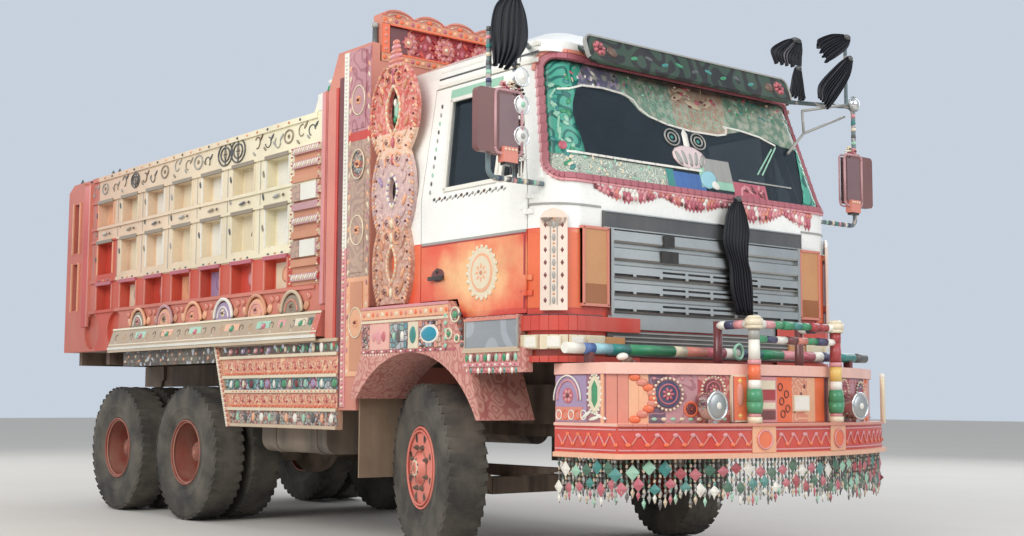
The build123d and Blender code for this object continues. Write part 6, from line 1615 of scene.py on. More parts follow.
def wheelSpots():
    # name, body, middle of the outer tyre, outward direction, tyre middles along it, packed tyres
    turn = math.radians(wheels["turn"])
    for side, word in ((-1, "right"), (1, "left")):
        low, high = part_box("front_tyre_" + word)
        outward = Vector((-side * math.sin(turn), side * math.cos(turn), 0))
        middle, body = (low + high) / 2, word + "_front_wheel"
        yield "front" + word.title(), body, middle, outward, (0,), "front_tyre_" + word
        for axle, place in (("2", "second"), ("3", "third")):
            node = "tyres_axle_%s_%s" % (axle, word)
            low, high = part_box(node)
            middle = (low + high) / 2
            middle.y = side * (1.215 - wheels["width"] / 2)
            yield (place + word.title(), "%s_axle_%s_wheels" % (place, word), middle, Vector((0, side, 0)),
                   (0, -wheels["twin"]), node)


def buildTyre(piece, face, outward, middle):
    reach, wide = wheels["radius"], wheels["width"]
    outline = list(wheels["wall"]) + [(radius, -height) for radius, height in reversed(wheels["wall"])]
    addLathe(piece, face, middle, outline, "tyreWall", 56)
    centre = face.translation + outward * middle
    for step in range(wheels["blocks"]):
        angle = math.tau * step / wheels["blocks"]
        out = Vector((0, 0, 1)) @ Matrix.Rotation(angle, 3, outward)
        along = outward.cross(out)
        patch = faceAt(centre + out * (reach - 0.01), outward, along)
        for u, shift, long in ((-0.088, 0.0, 0.072), (-0.03, 0.5, 0.046), (0.03, 0.0, 0.046),
                               (0.088, 0.5, 0.072)):
            addBox(piece, patch, u, shift * math.tau * reach / wheels["blocks"], 0.004,
                   (long, 0.046 if long > 0.05 else 0.054, 0.011), "tread", 0.22 if u > 0 else -0.22)
        for side in (-1, 1):
            rib = faceAt(centre + out * (reach - 0.05) + outward * side * (wide / 2 - 0.016), along, out)
            addBox(piece, rib, 0, 0, 0, (0.022, 0.046, 0.014), "tread")


def buildHub(piece, face, front):
    half = wheels["width"] * 0.42
    paint, disc, low = ("frontHub", 0.117, 0.15) if front else ("rearHub", -0.15, 0.025)
    for reach, depth, tube, ink in ((wheels["rim"] - 0.004, half + 0.003, 0.007, paint),
                                    (0.238, half - 0.01, 0.006, "hubDust"),
                                    (0.112, disc + 0.004, 0.006, "hubDust"),
                                    (0.228, disc + 0.006, 0.006, paint)):
        addRing(piece, face, 0, 0, depth, 2 * reach, 2 * reach, tube, ink, 0, 48, 6)
    if front:
        addLathe(piece, face, 0, ((0.1, 0.07), (0.246, 0.07), (0.248, 0.094), (0.236, 0.111), (0.19, 0.117),
                                  (0.125, 0.117), (0.104, 0.122)), paint, 48)
    for step in range(8):
        angle = math.tau * (step + 0.5) / 8
        u, v = math.cos(angle), math.sin(angle)
        addDisc(piece, face, 0.135 * u, 0.135 * v, disc - 0.003, 0.032, 0.032, 0.02, "hubSteel",
                6, 0.9, angle)
        addDisc(piece, face, 0.135 * u, 0.135 * v, disc + 0.016, 0.017, 0.017, 0.014, "hubSteel", 8)
        addDisc(piece, face, 0.058 * u, 0.058 * v, low, 0.015, 0.015, 0.009, "hubSteel", 6)
        if front:
            addDisc(piece, face, 0.196 * u, 0.196 * v, 0.1155, 0.05, 0.036, 0.003, "black", 16, 1.0, angle)
            addRing(piece, face, 0.196 * u, 0.196 * v, 0.117, 0.058, 0.044, 0.003, "hubDust", angle, 16, 4)
    for z, wide, ink in ((low - 0.001, 0.136, paint), (low + 0.004, 0.104, "cream" if front else paint),
                         (low + 0.008, 0.076, paint), (low + 0.012, 0.04, "hubDust")):
        addDisc(piece, face, 0, 0, z, wide, wide, 0.005, ink, 28)


palette["tyreWall"] = palette["tread"] = rubber
palette["frontHub"] = rimPaint
palette["rearHub"] = rearRimPaint
for name, body, spot, outward, middles, node in wheelSpots():
    face = faceAt(spot, Vector((0, 0, 1)).cross(outward), (0, 0, 1))
    piece = newPiece()
    for middle in middles:
        buildTyre(piece, face, outward, middle)
    finishPiece(piece, name + "Tyre", body, stands=(node,))
    piece = newPiece()
    buildHub(piece, face, "front" in name)
    finishPiece(piece, name + "Hub", body)
print("wheels made")

# Crown, headboard posts and the cut-out panels behind the cab
crown = {"x": frontAxle - 0.5, "half": 1.17, "low": 3.18, "crest": 3.505, "arches": 9, "recess": 0.04,
         "border": 0.065, "bosses": 7}


def addCrownBorders(piece):
    front, half, border = frontFace(crown["x"]), crown["half"], crown["border"]
    low, crest = crown["low"], crown["crest"]
    for low0, high0 in ((low, low + border), (crest - border, crest - 0.012)):
        middle = (low0 + high0) / 2
        addBar(piece, front, 0, middle, 2 * half, high0 - low0 - 0.008, 0.005, "peachTan")
        domeRow(piece, front, inLine(-half + 0.022, middle, (2 * half - 0.044) / 51, 0, 52), 0.004,
                (0.036, 0.034, 0.007), ("orange", "peach", "rose"), 0.5, 7)
    for y in (border / 2 - half, half - border / 2):
        addBar(piece, front, y, (low + crest) / 2, 0.056, crest - low - 2 * border, 0.006, "orange")
        domeRow(piece, front, inLine(y, low + 0.09, 0, 0.045, 5), 0.005, (0.034, 0.03, 0.006), ("salmon",))


def addArches(piece):
    front, back = frontFace(crown["x"]), faceAt((crown["x"] - 0.1, 0, 0), (0, -1, 0), (0, 0, 1))
    half = crown["half"]
    width = 2 * half / crown["arches"]
    for arch in range(crown["arches"]):
        y = -half + width * (arch + 0.5)
        addRing(piece, front, y, crown["crest"] - 0.004, 0.003, width * 0.9, 0.066, 0.008, "salmon", 0,
                16, 5, math.pi)
        addRing(piece, front, y, crown["crest"] - 0.01, 0.003, width * 0.6, 0.042, 0.006, "cream", 0,
                12, 5, math.pi)
        addDome(piece, front, y, crown["crest"], 0.002, 0.05, 0.034, 0.008, "orange")
        addRing(piece, back, -y, crown["crest"] - 0.004, 0.003, width * 0.9, 0.066, 0.008, "salmon", 0,
                16, 5, math.pi)


def addCrownField(piece):
    # sunk: maroon ground, big rosettes in crimson and pink, small leaves between them
    front, floor = frontFace(crown["x"]), frontFace(crown["x"] - crown["recess"])
    half, border = crown["half"], crown["border"]
    low, high = crown["low"] + border, crown["crest"] - border
    addStrip(piece, floor, -half + border, half - border, low, high, 0.003, "crownRed")
    for edge in (low, high):
        addStrip(piece, front, -half + border, half - border, edge - 0.006, edge + 0.006, 0.008, "orange")
    pitch = 2 * (half - border) / crown["bosses"]
    for boss in range(crown["bosses"]):
        y, z = -half + border + (boss + 0.5) * pitch, (low + high) / 2
        rings = ((0.088, 12, "crimson", 0.016), (0.06, 9, "pink", 0.02), (0.034, 6, "rose", 0.028))
        for ring, (reach, petals, ink, rise) in enumerate(rings):
            for step in range(petals):
                angle = math.tau * (step + 0.5 * ring) / petals
                addDome(piece, floor, y + reach * math.cos(angle), z + reach * math.sin(angle),
                        rise - 0.008, 0.052 - 0.01 * ring, 0.03, 0.01, ink, angle)
        addDome(piece, floor, y, z, 0.03, 0.03, 0.03, 0.012, "cream", 0, 10, 5)
        for lift in (-1, 1):
            for shift in (-1, 1):
                addDome(piece, floor, y + shift * pitch * 0.42, z + lift * 0.062, 0.003, 0.075, 0.036, 0.01,
                        ("pink", "red")[(boss + lift) % 2], 0.9 * lift * shift)
        addDome(piece, floor, y + pitch / 2, z, 0.003, 0.04, 0.07, 0.012, "rose")
        for step in range(10):
            angle = math.tau * step / 10
            addDome(piece, floor, y + 0.118 * math.cos(angle), z + 0.098 * math.sin(angle), 0.003, 0.036,
                    0.024, 0.009, ("pink", "crimson", "salmon")[step % 3], angle + 0.8, 7, 4)
    for side in (-1, 1):
        addStrip(piece, floor, side * 1.02 - 0.07, side * 1.02 + 0.07, low + 0.02, high, 0.022,
                 "purple" if side > 0 else "maroon")
        x, y = crown["x"] - 0.05, side * 1.19
        addSleeve(piece, (x, y, 3.15), (x, y, 3.42), 0.024, "slate", 0.018, 12)
        addBead(piece, Matrix.Translation((x, y, 3.43)), 0, 0, 0, 0.028, "grey")


piece = newPiece()
for build in (addCrownBorders, addArches, addCrownField):
    build(piece)
finishPiece(piece, "crownOrnament", "chassis")


def arcHalf(z, first, second, third):
    # half width of an arc through three (height, half width) points
    (z1, h1), (z2, h2), (z3, h3) = first, second, third
    scale = 2 * (z1 * (h2 - h3) + z2 * (h3 - h1) + z3 * (h1 - h2))
    squares = [a * a + b * b for a, b in (first, second, third)]
    middleZ = (squares[0] * (h2 - h3) + squares[1] * (h3 - h1) + squares[2] * (h1 - h2)) / scale
    middleH = (squares[0] * (z3 - z2) + squares[1] * (z1 - z3) + squares[2] * (z2 - z1)) / scale
    reach = math.hypot(z1 - middleZ, h1 - middleH)
    rise = math.sqrt(max(reach ** 2 - (z - middleZ) ** 2, 0))
    return middleH + rise if h2 > middleH else middleH - rise


panel = {"x": frontAxle - 0.212, "y": -1.263,
         "waists": ((1.55, 0.15), (1.8, 0.215), (2.02, 0.165), (2.27, 0.235), (2.52, 0.165), (2.79, 0.265),
                    (3.08, 0.11)),
         "eyes": ((2.79, 0.06, 0.15), (2.27, 0.04, 0.095), (1.8, 0.034, 0.11))}


def panelHalf(z):
    for index in (0, 2, 4):
        first, second, third = panel["waists"][index:index + 3]
        if z <= third[0]:
            return arcHalf(z, first, second, third)
    return panel["waists"][-1][1]


def addRopes(piece, face):
    # along both edges, with a bead at every second twist
    inks = ("carving", "peach", "carving", "peachTan", "carving")
    for side in (-1, 1):
        for step in range(64):
            z = 1.558 + 1.515 * step / 63
            half = panelHalf(z) - 0.014
            tilt = math.pi / 2 + side * 0.6
            addDome(piece, face, panel["x"] + side * half, z, 0.002, 0.046, 0.022, 0.011,
                    inks[step % 5], tilt)
            if step % 2:
                addDome(piece, face, panel["x"] + side * (half - 0.03), z, 0.002, 0.018, 0.018, 0.008,
                        ("cream", "maroon")[step % 4 == 1], 0, 6, 4)


def addEyes(piece, face):
    # raised rims round the pointed openings, dark slips inside them
    for index, (z, half, tall) in enumerate(panel["eyes"]):
        inks = ("lavender", "cream", "white") if index == 1 else ("peach", "cream")
        for side in (-1, 1):
            for step in range(16):
                t = (step + 0.5) / 16 * 2 - 1
                reach = (half + 0.016) * (1 - t * t)
                tilt = math.atan2(2 * tall, -side * 4 * t * half) if abs(t) > 0.01 else math.pi / 2
                ink = inks[(step + index) % len(inks)] if index == 1 else inks[step % len(inks)]
                addDome(piece, face, panel["x"] + side * reach, z + t * (tall + 0.012), 0.002, 0.044, 0.018,
                        0.012, ink, tilt)
        backFace = rightFace(panel["y"] + 0.03)
        addDiamond(piece, backFace, panel["x"], z, -0.004, 2.6 * half, 2.3 * tall, 0.006, "black", 0, 16)
        if index == 0:
            addDome(piece, face, panel["x"], z, -0.026, 0.045, 0.16, 0.016, "mint", 0, 10, 6)
            addDome(piece, face, panel["x"], z + 0.05, -0.014, 0.03, 0.06, 0.012, "white", 0, 8, 5)
            addDome(piece, face, panel["x"], z - 0.06, -0.014, 0.028, 0.05, 0.012, "green", 0, 8, 5)


def addScrolls(piece, face):
    # carved, filling the lobes
    random.seed(21)
    for z, reach in ((1.62, 0.07), (1.97, 0.05), (2.06, 0.06), (2.47, 0.05), (2.58, 0.07), (2.99, 0.06),
                     (3.04, 0.03)):
        for side in (-1, 1):
            for turn, wide in ((0, 0.075), (1, 0.045)):
                addRing(piece, face, panel["x"] + side * reach, z + 0.012 * turn, 0.003, wide, wide * 1.2,
                        0.008, ("peach", "carving")[turn], side * (0.6 + turn), 14, 5, 4.6)
            addDome(piece, face, panel["x"] + side * reach, z, 0.003, 0.026, 0.03, 0.012, "maroon")
        addDome(piece, face, panel["x"], z, 0.003, 0.034, 0.075, 0.013, ("cream", "rose")[z > 2.3], 0, 8, 5)
    for z in (1.66, 1.74, 1.86, 1.93, 2.12, 2.2, 2.34, 2.42, 2.64, 2.7, 2.88, 2.94):
        half = panelHalf(z)
        for side in (-1, 1):
            addDome(piece, face, panel["x"] + side * (half * 0.58), z, 0.002, 0.085, 0.03, 0.012,
                    random.choice(("carving", "carving", "peach",
                                   "lavender" if 2.0 < z < 2.5 else "peachTan")), math.pi / 2 - side * 0.5)
    # tapering tip with a rosette
    for step in range(7):
        z = 3.085 + 0.03 * step
        if z < 3.26:
            addDome(piece, face, panel["x"], z, -0.014, 0.2 - 0.026 * step, 0.04, 0.016,
                    ("pink", "salmon")[step % 2], 0, 12, 6)


piece = newPiece()
for build in (addRopes, addEyes, addScrolls):
    build(piece, rightFace(panel["y"]))
finishPiece(piece, "panelCarving", "chassis", both=True)

postY = -1.24


def buildPost(piece):
    face, x = rightFace(postY), frontAxle
    addStrip(piece, face, x - 1.03, x - 0.93, 1.3, 3.05, 0.006, "salmon")
    addStrip(piece, face, x - 0.925, x - 0.895, 1.3, 3.06, 0.01, "red")
    addStrip(piece, face, x - 0.885, x - 0.83, 0.9, 3.12, 0.007, "maroon")
    addStrip(piece, face, x - 0.828, x - 0.772, 1.95, 3.28, 0.008, "white")
    addStrip(piece, face, x - 0.828, x - 0.772, 0.9, 1.95, 0.008, "pink")
    for step in range(88):
        z = 0.92 + 0.0268 * step
        addBead(piece, face, x - 0.8, z, 0.01, 0.0125, "white" if z > 1.9 else ("cream", "pink")[step % 2])
    for low, high, ink in ((2.72, 3.28, "mauve"), (2.66, 2.72, "red"), (1.75, 2.66, "postTan"),
                           (1.1, 1.75, "peach")):
        addStrip(piece, face, x - 0.768, x - 0.505, low, high, 0.006, ink)
    for low, high, wide, ink in ((2.74, 3.26, 0.16, "mauve"), (1.78, 2.36, 0.15, "postTan"),
                                 (1.14, 1.72, 0.15, "peachTan")):
        addStrip(piece, face, x - 0.64 - wide / 2, x - 0.64 + wide / 2, low, high, 0.011, ink)
    for z, ink in ((2.5, "foilMixed"), (2.93, "palePinkRim"), (2.06, "postTan"), (1.45, "peach")):
        addDisc(piece, face, x - 0.64, z, 0.006, 0.15, 0.19, 0.008, ink, 28)
        addRing(piece, face, x - 0.64, z, 0.014, 0.155, 0.195, 0.006, "cream", 0, 28, 5)
        addRosette(piece, face, x - 0.64, z, 0.038, 8, "peach", "maroon", None, 0.022)
    for step in range(30):
        z = 1.13 + 0.0725 * step
        for side in (-1, 1):
            addDome(piece, face, x - 0.637 + side * 0.112, z, 0.006, 0.02, 0.046, 0.006,
                    ("cream", "peach", "mauve")[step % 3], 0.3 * side, 7, 4)


piece = newPiece()
buildPost(piece)
finishPiece(piece, "headboardPosts", "chassis", both=True, bevel=0.001)
print("crown and headboard made")

# Body sides: frames of the pockets, painted motifs, ribbed column, half rounds and the ledge board
bed = {"y": -1.22, "deep": 0.08, "first": frontAxle - 1.75, "pitch": 0.51, "wide": 0.315, "motifZ": 2.83,
       "rows": ((2.49, 2.7), (2.056, 2.337), (1.74, 1.96)), "ledgeY": -1.3}


def scrollPair(piece, face, u, v, wide, ink, thick=0.006, turn=0.0):
    for side in (-1, 1):
        addRing(piece, face, u + side * wide * 0.27, v, 0.002, wide * 0.42, wide * 0.5, thick, ink,
                turn + (0.4 if side > 0 else 2.4), 16, 4, 5.0)
    addDome(piece, face, u, v, 0.002, wide * 0.14, wide * 0.4, thick, ink)


def addPockets(piece):
    # painted floors, grey-brown lintels that are painted shade under each pocket's top, and sides; a
    # flower, two leaves or scrolls in each
    face, floor = rightFace(bed["y"]), rightFace(bed["y"] + bed["deep"])
    random.seed(31)
    for column in range(7):
        x = bed["first"] - bed["pitch"] * column
        pale = ("white", "cream", "white", "cream", "white", "cream", "peach")[column]
        for row, (low, high) in enumerate(bed["rows"]):
            ink = pale if row < 2 else ("cream", "red", "lavender", "peach", "red", "cream", "red")[column]
            if column == 6 and row == 1:
                ink = "red"
            addStrip(piece, floor, x - bed["wide"] / 2 + 0.03, x + bed["wide"] / 2, low,
                     high - 0.02, 0.006, ink)
            # grey-brown band over each upper pocket is painted shade of the pocket's top
            addStrip(piece, face, x - bed["wide"] / 2 - 0.012, x + bed["wide"] / 2 + 0.012, high - 0.004,
                     high + 0.024, 0.02, "lintel" if row < 2 else "rose")
            for side in (-1, 1):
                u = x + side * (bed["wide"] / 2 + 0.01)
                addStrip(piece, face, u - 0.008, u + 0.008, low, high, 0.008, pale if row < 2 else "salmon")
            if row == 2:
                addDome(piece, floor, x + 0.02, (low + high) / 2, 0.004, 0.13, 0.13, 0.01,
                        ("peach", "pink", "lavender")[column % 3], 0, 12, 5)
                continue
            spot = random.random()
            if spot < 0.4:
                addRosette(piece, floor, x + 0.04, (low + high) / 2, 0.035, 6, "slate", "tan", None, 0.008)
            elif spot < 0.75:
                addDome(piece, floor, x + 0.02, (low + high) / 2, 0.006, 0.07, 0.035, 0.006, "brown", 0.7)
                addDome(piece, floor, x + 0.07, (low + high) / 2 - 0.03, 0.006, 0.05, 0.025, 0.006,
                        "slate", -0.5)
            else:
                scrollPair(piece, floor, x + 0.03, (low + high) / 2, 0.12, "slate", 0.004)
        # seams and small marks on the uprights
        seam = x - bed["pitch"] / 2
        addStrip(piece, face, seam - 0.003, seam + 0.003, 2.012, 2.705, 0.003, "grey")
        for z in (2.2, 2.43, 2.6):
            addDome(piece, face, seam + 0.045, z + 0.02 * (column % 3), 0.002, 0.03, 0.06, 0.005,
                    ("slate", "grey", "lintel", "slate")[(column + int(z * 10)) % 4], 0.4)
        addDome(piece, face, x, 2.415, 0.014, 0.11, 0.026, 0.005, ("grey", "slate", "lintel")[column % 3],
                0.1)
        addDome(piece, face, x + 0.1, 2.415, 0.014, 0.035, 0.024, 0.005, "brown", 0.1)
        for step in range(3):
            addDome(piece, face, x - 0.1 + 0.1 * step, 1.998, 0.012, 0.05, 0.02, 0.006,
                    ("slate", "tan")[step % 2])


def addMotifs(piece):
    # painted rings and curls of the top border, beads above them
    face = rightFace(bed["y"])
    z = bed["motifZ"]
    for u, wide, ink in ((-2.36, 0.225, "slate"), (-2.565, 0.225, "slate"), (-4.21, 0.16, "slate"),
                         (-1.6, 0.12, "lintel"), (-3.02, 0.14, "grey"), (-3.63, 0.13, "lintel"),
                         (-4.85, 0.12, "grey")):
        x = frontAxle + u
        for grow in ((1.0, 0.62) if wide > 0.15 else (1.0,)):
            addRing(piece, face, x, z, 0.002, wide * grow, wide * grow * 0.78, 0.009, ink, 0, 24, 5)
        if wide > 0.15:
            addBox(piece, face, x, z, 0.003, (0.014, wide * 0.72, 0.008), ink)
        addRosette(piece, face, x, z, wide * 0.16, 6, "lintel", ink, None, 0.008)
    for step, u in enumerate((-1.28, -1.42, -1.76, -1.9, -2.06, -2.86, -3.2, -3.4, -3.86, -4.02, -4.44,
                              -4.62, -5.06)):
        x, ink = frontAxle + u, ("slate", "lintel", "grey", "slate", "brown")[step % 5]
        lift = 0.022 * math.sin(step * 2.1)
        addRing(piece, face, x, z + lift, 0.002, 0.085, 0.075, 0.0055, ink, step * 1.1, 14, 4, 4.4)
        addDome(piece, face, x + 0.055, z + 0.03 + lift, 0.002, 0.075, 0.026, 0.005, ink, 0.7)
        addDome(piece, face, x - 0.05, z - 0.04 - lift, 0.002, 0.06, 0.022, 0.005,
                ("grey", "lintel")[step % 2], -0.6)
    beadRow(piece, face, inLine(frontAxle - 5.3, 2.925, 0.155, 0, 26), 0.014, 0.012,
            ("tan", "slate", "peach"))
    for u in (-5.46, -4.76, -4.62):
        addDiamond(piece, faceAt((frontAxle + u, -1.19, 2.945), (1, 0, 0), (0, 1, 0)), 0, 0, 0, 0.05, 0.05,
                   0.045, "slate")


def addFrontEnd(piece):
    # white gusset, green and white knobs, pink column
    face = rightFace(bed["y"])
    addStrip(piece, face, frontAxle - 1.2, frontAxle - 1.135, 2.95, 3.065, 0.006, "white")
    addBead(piece, Matrix.Translation((frontAxle - 1.085, -1.19, 3.09)), 0, 0, 0, 0.035, "green")
    addBead(piece, Matrix.Translation((frontAxle - 1.085, -1.19, 3.14)), 0, 0, 0, 0.024, "white")
    addStrip(piece, face, frontAxle - 1.132, frontAxle - 1.064, 1.6, 3.068, 0.012, "pink")
    addStrip(piece, face, frontAxle - 1.082, frontAxle - 1.07, 1.6, 3.068, 0.02, "salmon")


def addRibs(piece):
    # ribbed column with roped rows and white pockets, each with painted shade in tan at its left
    face = rightFace(bed["y"])
    left, right = frontAxle - 1.51, frontAxle - 1.145
    addStrip(piece, face, left, right, 1.745, 2.715, 0.004, "peachTan")
    for rib in range(10):
        z = 1.775 + 0.1 * rib
        ink = "peachTan" if rib in (1, 3, 7) else "palePinkRim"
        addStrip(piece, face, left + 0.004, right, z - 0.001, z + 0.049, 0.026, ink)
        if rib in (0, 4, 8, 9):
            domeRow(piece, face, inLine(left + 0.03, z + 0.024, 0.031, 0, 11), 0.024, (0.058, 0.018, 0.009),
                    ("white", "cream"), 0.9)
        elif rib in (2, 6):
            addStrip(piece, face, left + 0.13, right - 0.03, z - 0.035, z + 0.082, 0.03, "white")
            # tan strip beside the white pocket is painted shade on the pocket's side wall
            addStrip(piece, face, left + 0.01, left + 0.12, z - 0.035, z + 0.082, 0.029, "postTan")
    for side in (left, right):
        beadRow(piece, face, inLine(side, 1.76, 0, 0.029, 34), 0.026, 0.009, ("cream", "rose"))


def addRearEnd(piece):
    # dark slots in a peach frame, their floors painted shade; a column painted as a shaded red face with a
    # lit salmon edge
    face, floor = rightFace(bed["y"]), rightFace(bed["y"] + bed["deep"])
    for low, high in ((1.76, 2.192), (2.296, 2.755)):
        # dark floor of each slot is painted shade inside the slot
        addStrip(piece, floor, frontAxle - 5.55, frontAxle - 5.42, low, high, 0.004, "slotDark")
        for u in (-5.562, -5.408):
            addBar(piece, face, frontAxle + u, (low + high) / 2, 0.016, high - low + 0.02, 0.012, "peach")
    # red strip is painted shade on the column's face, the salmon strip its painted lit edge
    addStrip(piece, face, frontAxle - 5.3, frontAxle - 5.18, 1.6, 2.9, 0.01, "red")
    addStrip(piece, face, frontAxle - 5.175, frontAxle - 5.15, 1.6, 2.9, 0.018, "salmon")


def addHalfRounds(piece):
    # above the ledge board, each with its own flower
    face = rightFace(bed["y"])
    for column in range(6):
        x = bed["first"] + (0.5 - column) * bed["pitch"]
        fill = ("lintel", "peach", "lavender", "salmon", "peach", "lintel")[column]
        edge = ("beige", "peachTan", "white", "peach", "palePinkRim", "peach")[column]
        addRing(piece, face, x, 1.562, 0.016, 0.285, 0.29, 0.014, edge, 0, 24, 6, math.pi)
        addDisc(piece, face, x, 1.56, 0.01, 0.25, 0.25, 0.008, fill, 28)
        addRing(piece, face, x, 1.562, 0.018, 0.17, 0.17, 0.008, ("salmon", "pink", "white")[column % 3], 0,
                18, 5, math.pi)
        addRosette(piece, face, x, 1.6, 0.04, 7, ("lintel", "pink", "cream", "peach")[column % 4],
                   "brown", None, 0.026)
        for side in (-1, 1):
            addDome(piece, face, x + side * bed["pitch"] * 0.36, 1.6, 0.004, 0.085, 0.07, 0.012,
                    ("peachTan", "peach")[column % 2], side * 0.7)
            addDome(piece, face, x + side * bed["pitch"] * 0.42, 1.665, 0.004, 0.06, 0.05, 0.01,
                    "salmon", side * -0.5)


def addLedge(piece):
    # pale board with patches, a dotted line and a white foot
    board = rightFace(bed["ledgeY"])
    left, right = frontAxle - 4.5, frontAxle - 1.06
    addStrip(piece, board, left, right, 1.368, 1.388, 0.009, "white")
    addStrip(piece, board, left, right, 1.345, 1.366, 0.005, "beige")
    slope = faceAt((0, -1.25, 1.5535), (1, 0, 0), (0, 0.05, 0.1835))
    for low, high in ((-0.17, -0.145), (-0.02, -0.004)):
        addStrip(piece, slope, left, right, low, high, 0.006, "cream")
    for step in range(46):
        u = left + 0.05 + (right - left - 0.1) * step / 45
        addDome(piece, slope, u, -0.132, 0.001, 0.03, 0.022, 0.005,
                ("tan", "white", "orange", "rose")[step % 4], 0.5, 7, 4)
        if step % 2:
            addRing(piece, slope, u, -0.085, 0.002, 0.055, 0.05, 0.004, ("tan", "brown", "slate")[step % 3],
                    step, 12, 4, 4.6)
    for u, wide, ink in ((-2.3, 0.22, "peach"), (-1.82, 0.2, "mint"), (-1.56, 0.1, "pink"),
                         (-1.3, 0.16, "cream"), (-1.17, 0.06, "slate"), (-2.9, 0.2, "mint"),
                         (-3.4, 0.2, "peach"), (-3.9, 0.2, "mint")):
        addBox(piece, slope, frontAxle + u, -0.085, 0.001, (wide, 0.075, 0.005), ink)
        addDome(piece, slope, frontAxle + u, -0.085, 0.003, wide * 0.4, 0.05, 0.006,
                ("green", "rose")[ink == "mint"])
    # mosaic band under the board, ahead of the rear wheels
    placeBox(piece, (frontAxle - 4.3, -1.243, 1.225), (frontAxle - 2.62, -1.221, 1.374), "foilDark")
    for step in range(24):
        addDome(piece, rightFace(-1.243), frontAxle - 4.26 + 0.0695 * step, 1.265 + 0.04 * (step % 2), 0,
                0.034, 0.026, 0.004, ("cream", "peach", "grey")[step % 3], 0.5, 7, 4)


piece = newPiece()
for build in (addPockets, addMotifs, addFrontEnd, addRibs, addRearEnd, addHalfRounds, addLedge):
    build(piece)
finishPiece(piece, "bedSideOrnament", "bed", both=True)

# Tailgate: a great rosette in each field, and painted lines and spots on the ribs
piece = newPiece()
rear = faceAt((frontAxle - 5.72, 0, 0), (0, -1, 0), (0, 0, 1))
skin = faceAt((frontAxle - 5.68, 0, 0), (0, -1, 0), (0, 0, 1))
for field in range(4):
    y = -0.675 + 0.45 * field
    for z, tall in ((1.75, 0.5), (2.43, 0.5)):
        addDisc(piece, skin, y, z, 0, 0.3, 0.3, 0.005, "cream", 32)
        addDisc(piece, skin, y, z, 0.004, 0.25, 0.25, 0.005, ("rose", "teal")[(field + (z > 2)) % 2], 32)
        addRosette(piece, skin, y, z, 0.1, 10, "cream", "orange", "maroon", 0.016)
        beadRow(piece, skin, inCircle(y, z, 0.138, 0.138, 24), 0.006, 0.007, ("white",))
        for side in (-1, 1):
            for lift in (-1, 1):
                addRing(piece, skin, y + side * 0.11, z + lift * 0.19, 0.002, 0.09, 0.08, 0.006, "peach",
                        side * lift, 14, 4, 4.4)
for y in (-0.9, -0.45, 0, 0.45, 0.9):
    for z in (1.5, 1.6, 1.9, 2.0, 2.22, 2.34, 2.62):
        addDome(piece, rear, y, z, 0, 0.045, 0.065, 0.008, ("cream", "peach", "teal")[int(z * 10) % 3])
    for side in (-1, 1):
        addBar(piece, rear, y + side * 0.038, 2.115, 0.008, 1.35, 0.004, "peach")
finishPiece(piece, "gateOrnament", "gate")
# Tail lamps in black housings and a bare plate on the bar under the frame's tail
piece = newPiece()
bar = faceAt((frontAxle - 5.22, 0, 0), (0, -1, 0), (0, 0, 1))
for side in (-1, 1):
    for y, ink in ((0.6, "white"), (0.74, "orange"), (0.88, "red")):
        addBox(piece, bar, side * y, 0.765, 0.02, (0.125, 0.066, 0.044), "black")
        addDisc(piece, bar, side * y, 0.765, 0.041, 0.056, 0.056, 0.014, ink, 20, 0.8)
        addRing(piece, bar, side * y, 0.765, 0.043, 0.06, 0.06, 0.004, "chrome", 0, 20, 4)
addBox(piece, bar, 0.3, 0.735, 0.006, (0.34, 0.11, 0.014), "white")
addBox(piece, bar, 0.3, 0.735, 0.014, (0.3, 0.075, 0.004), "cream")
finishPiece(piece, "tailLamps", "chassis", bevel=0.0015)
print("bed ornament made")

# Skirts between the wheels: mosaic rows between the rails, pale ovals and a roped slanted edge
skirt = {"y": -1.245, "front": frontAxle - 0.85,
         "rows": ((1.268, 1.336, "foilDark"), (1.124, 1.244, "scrollSalmon"), (1.018, 1.1, "foilTeal"),
                  (0.892, 0.994, "scrollSalmon"), (0.774, 0.868, "foilMixed"))}


def skirtEdge(z):
    return frontAxle - 2.6 + 0.23 * (1.36 - z) / 0.61


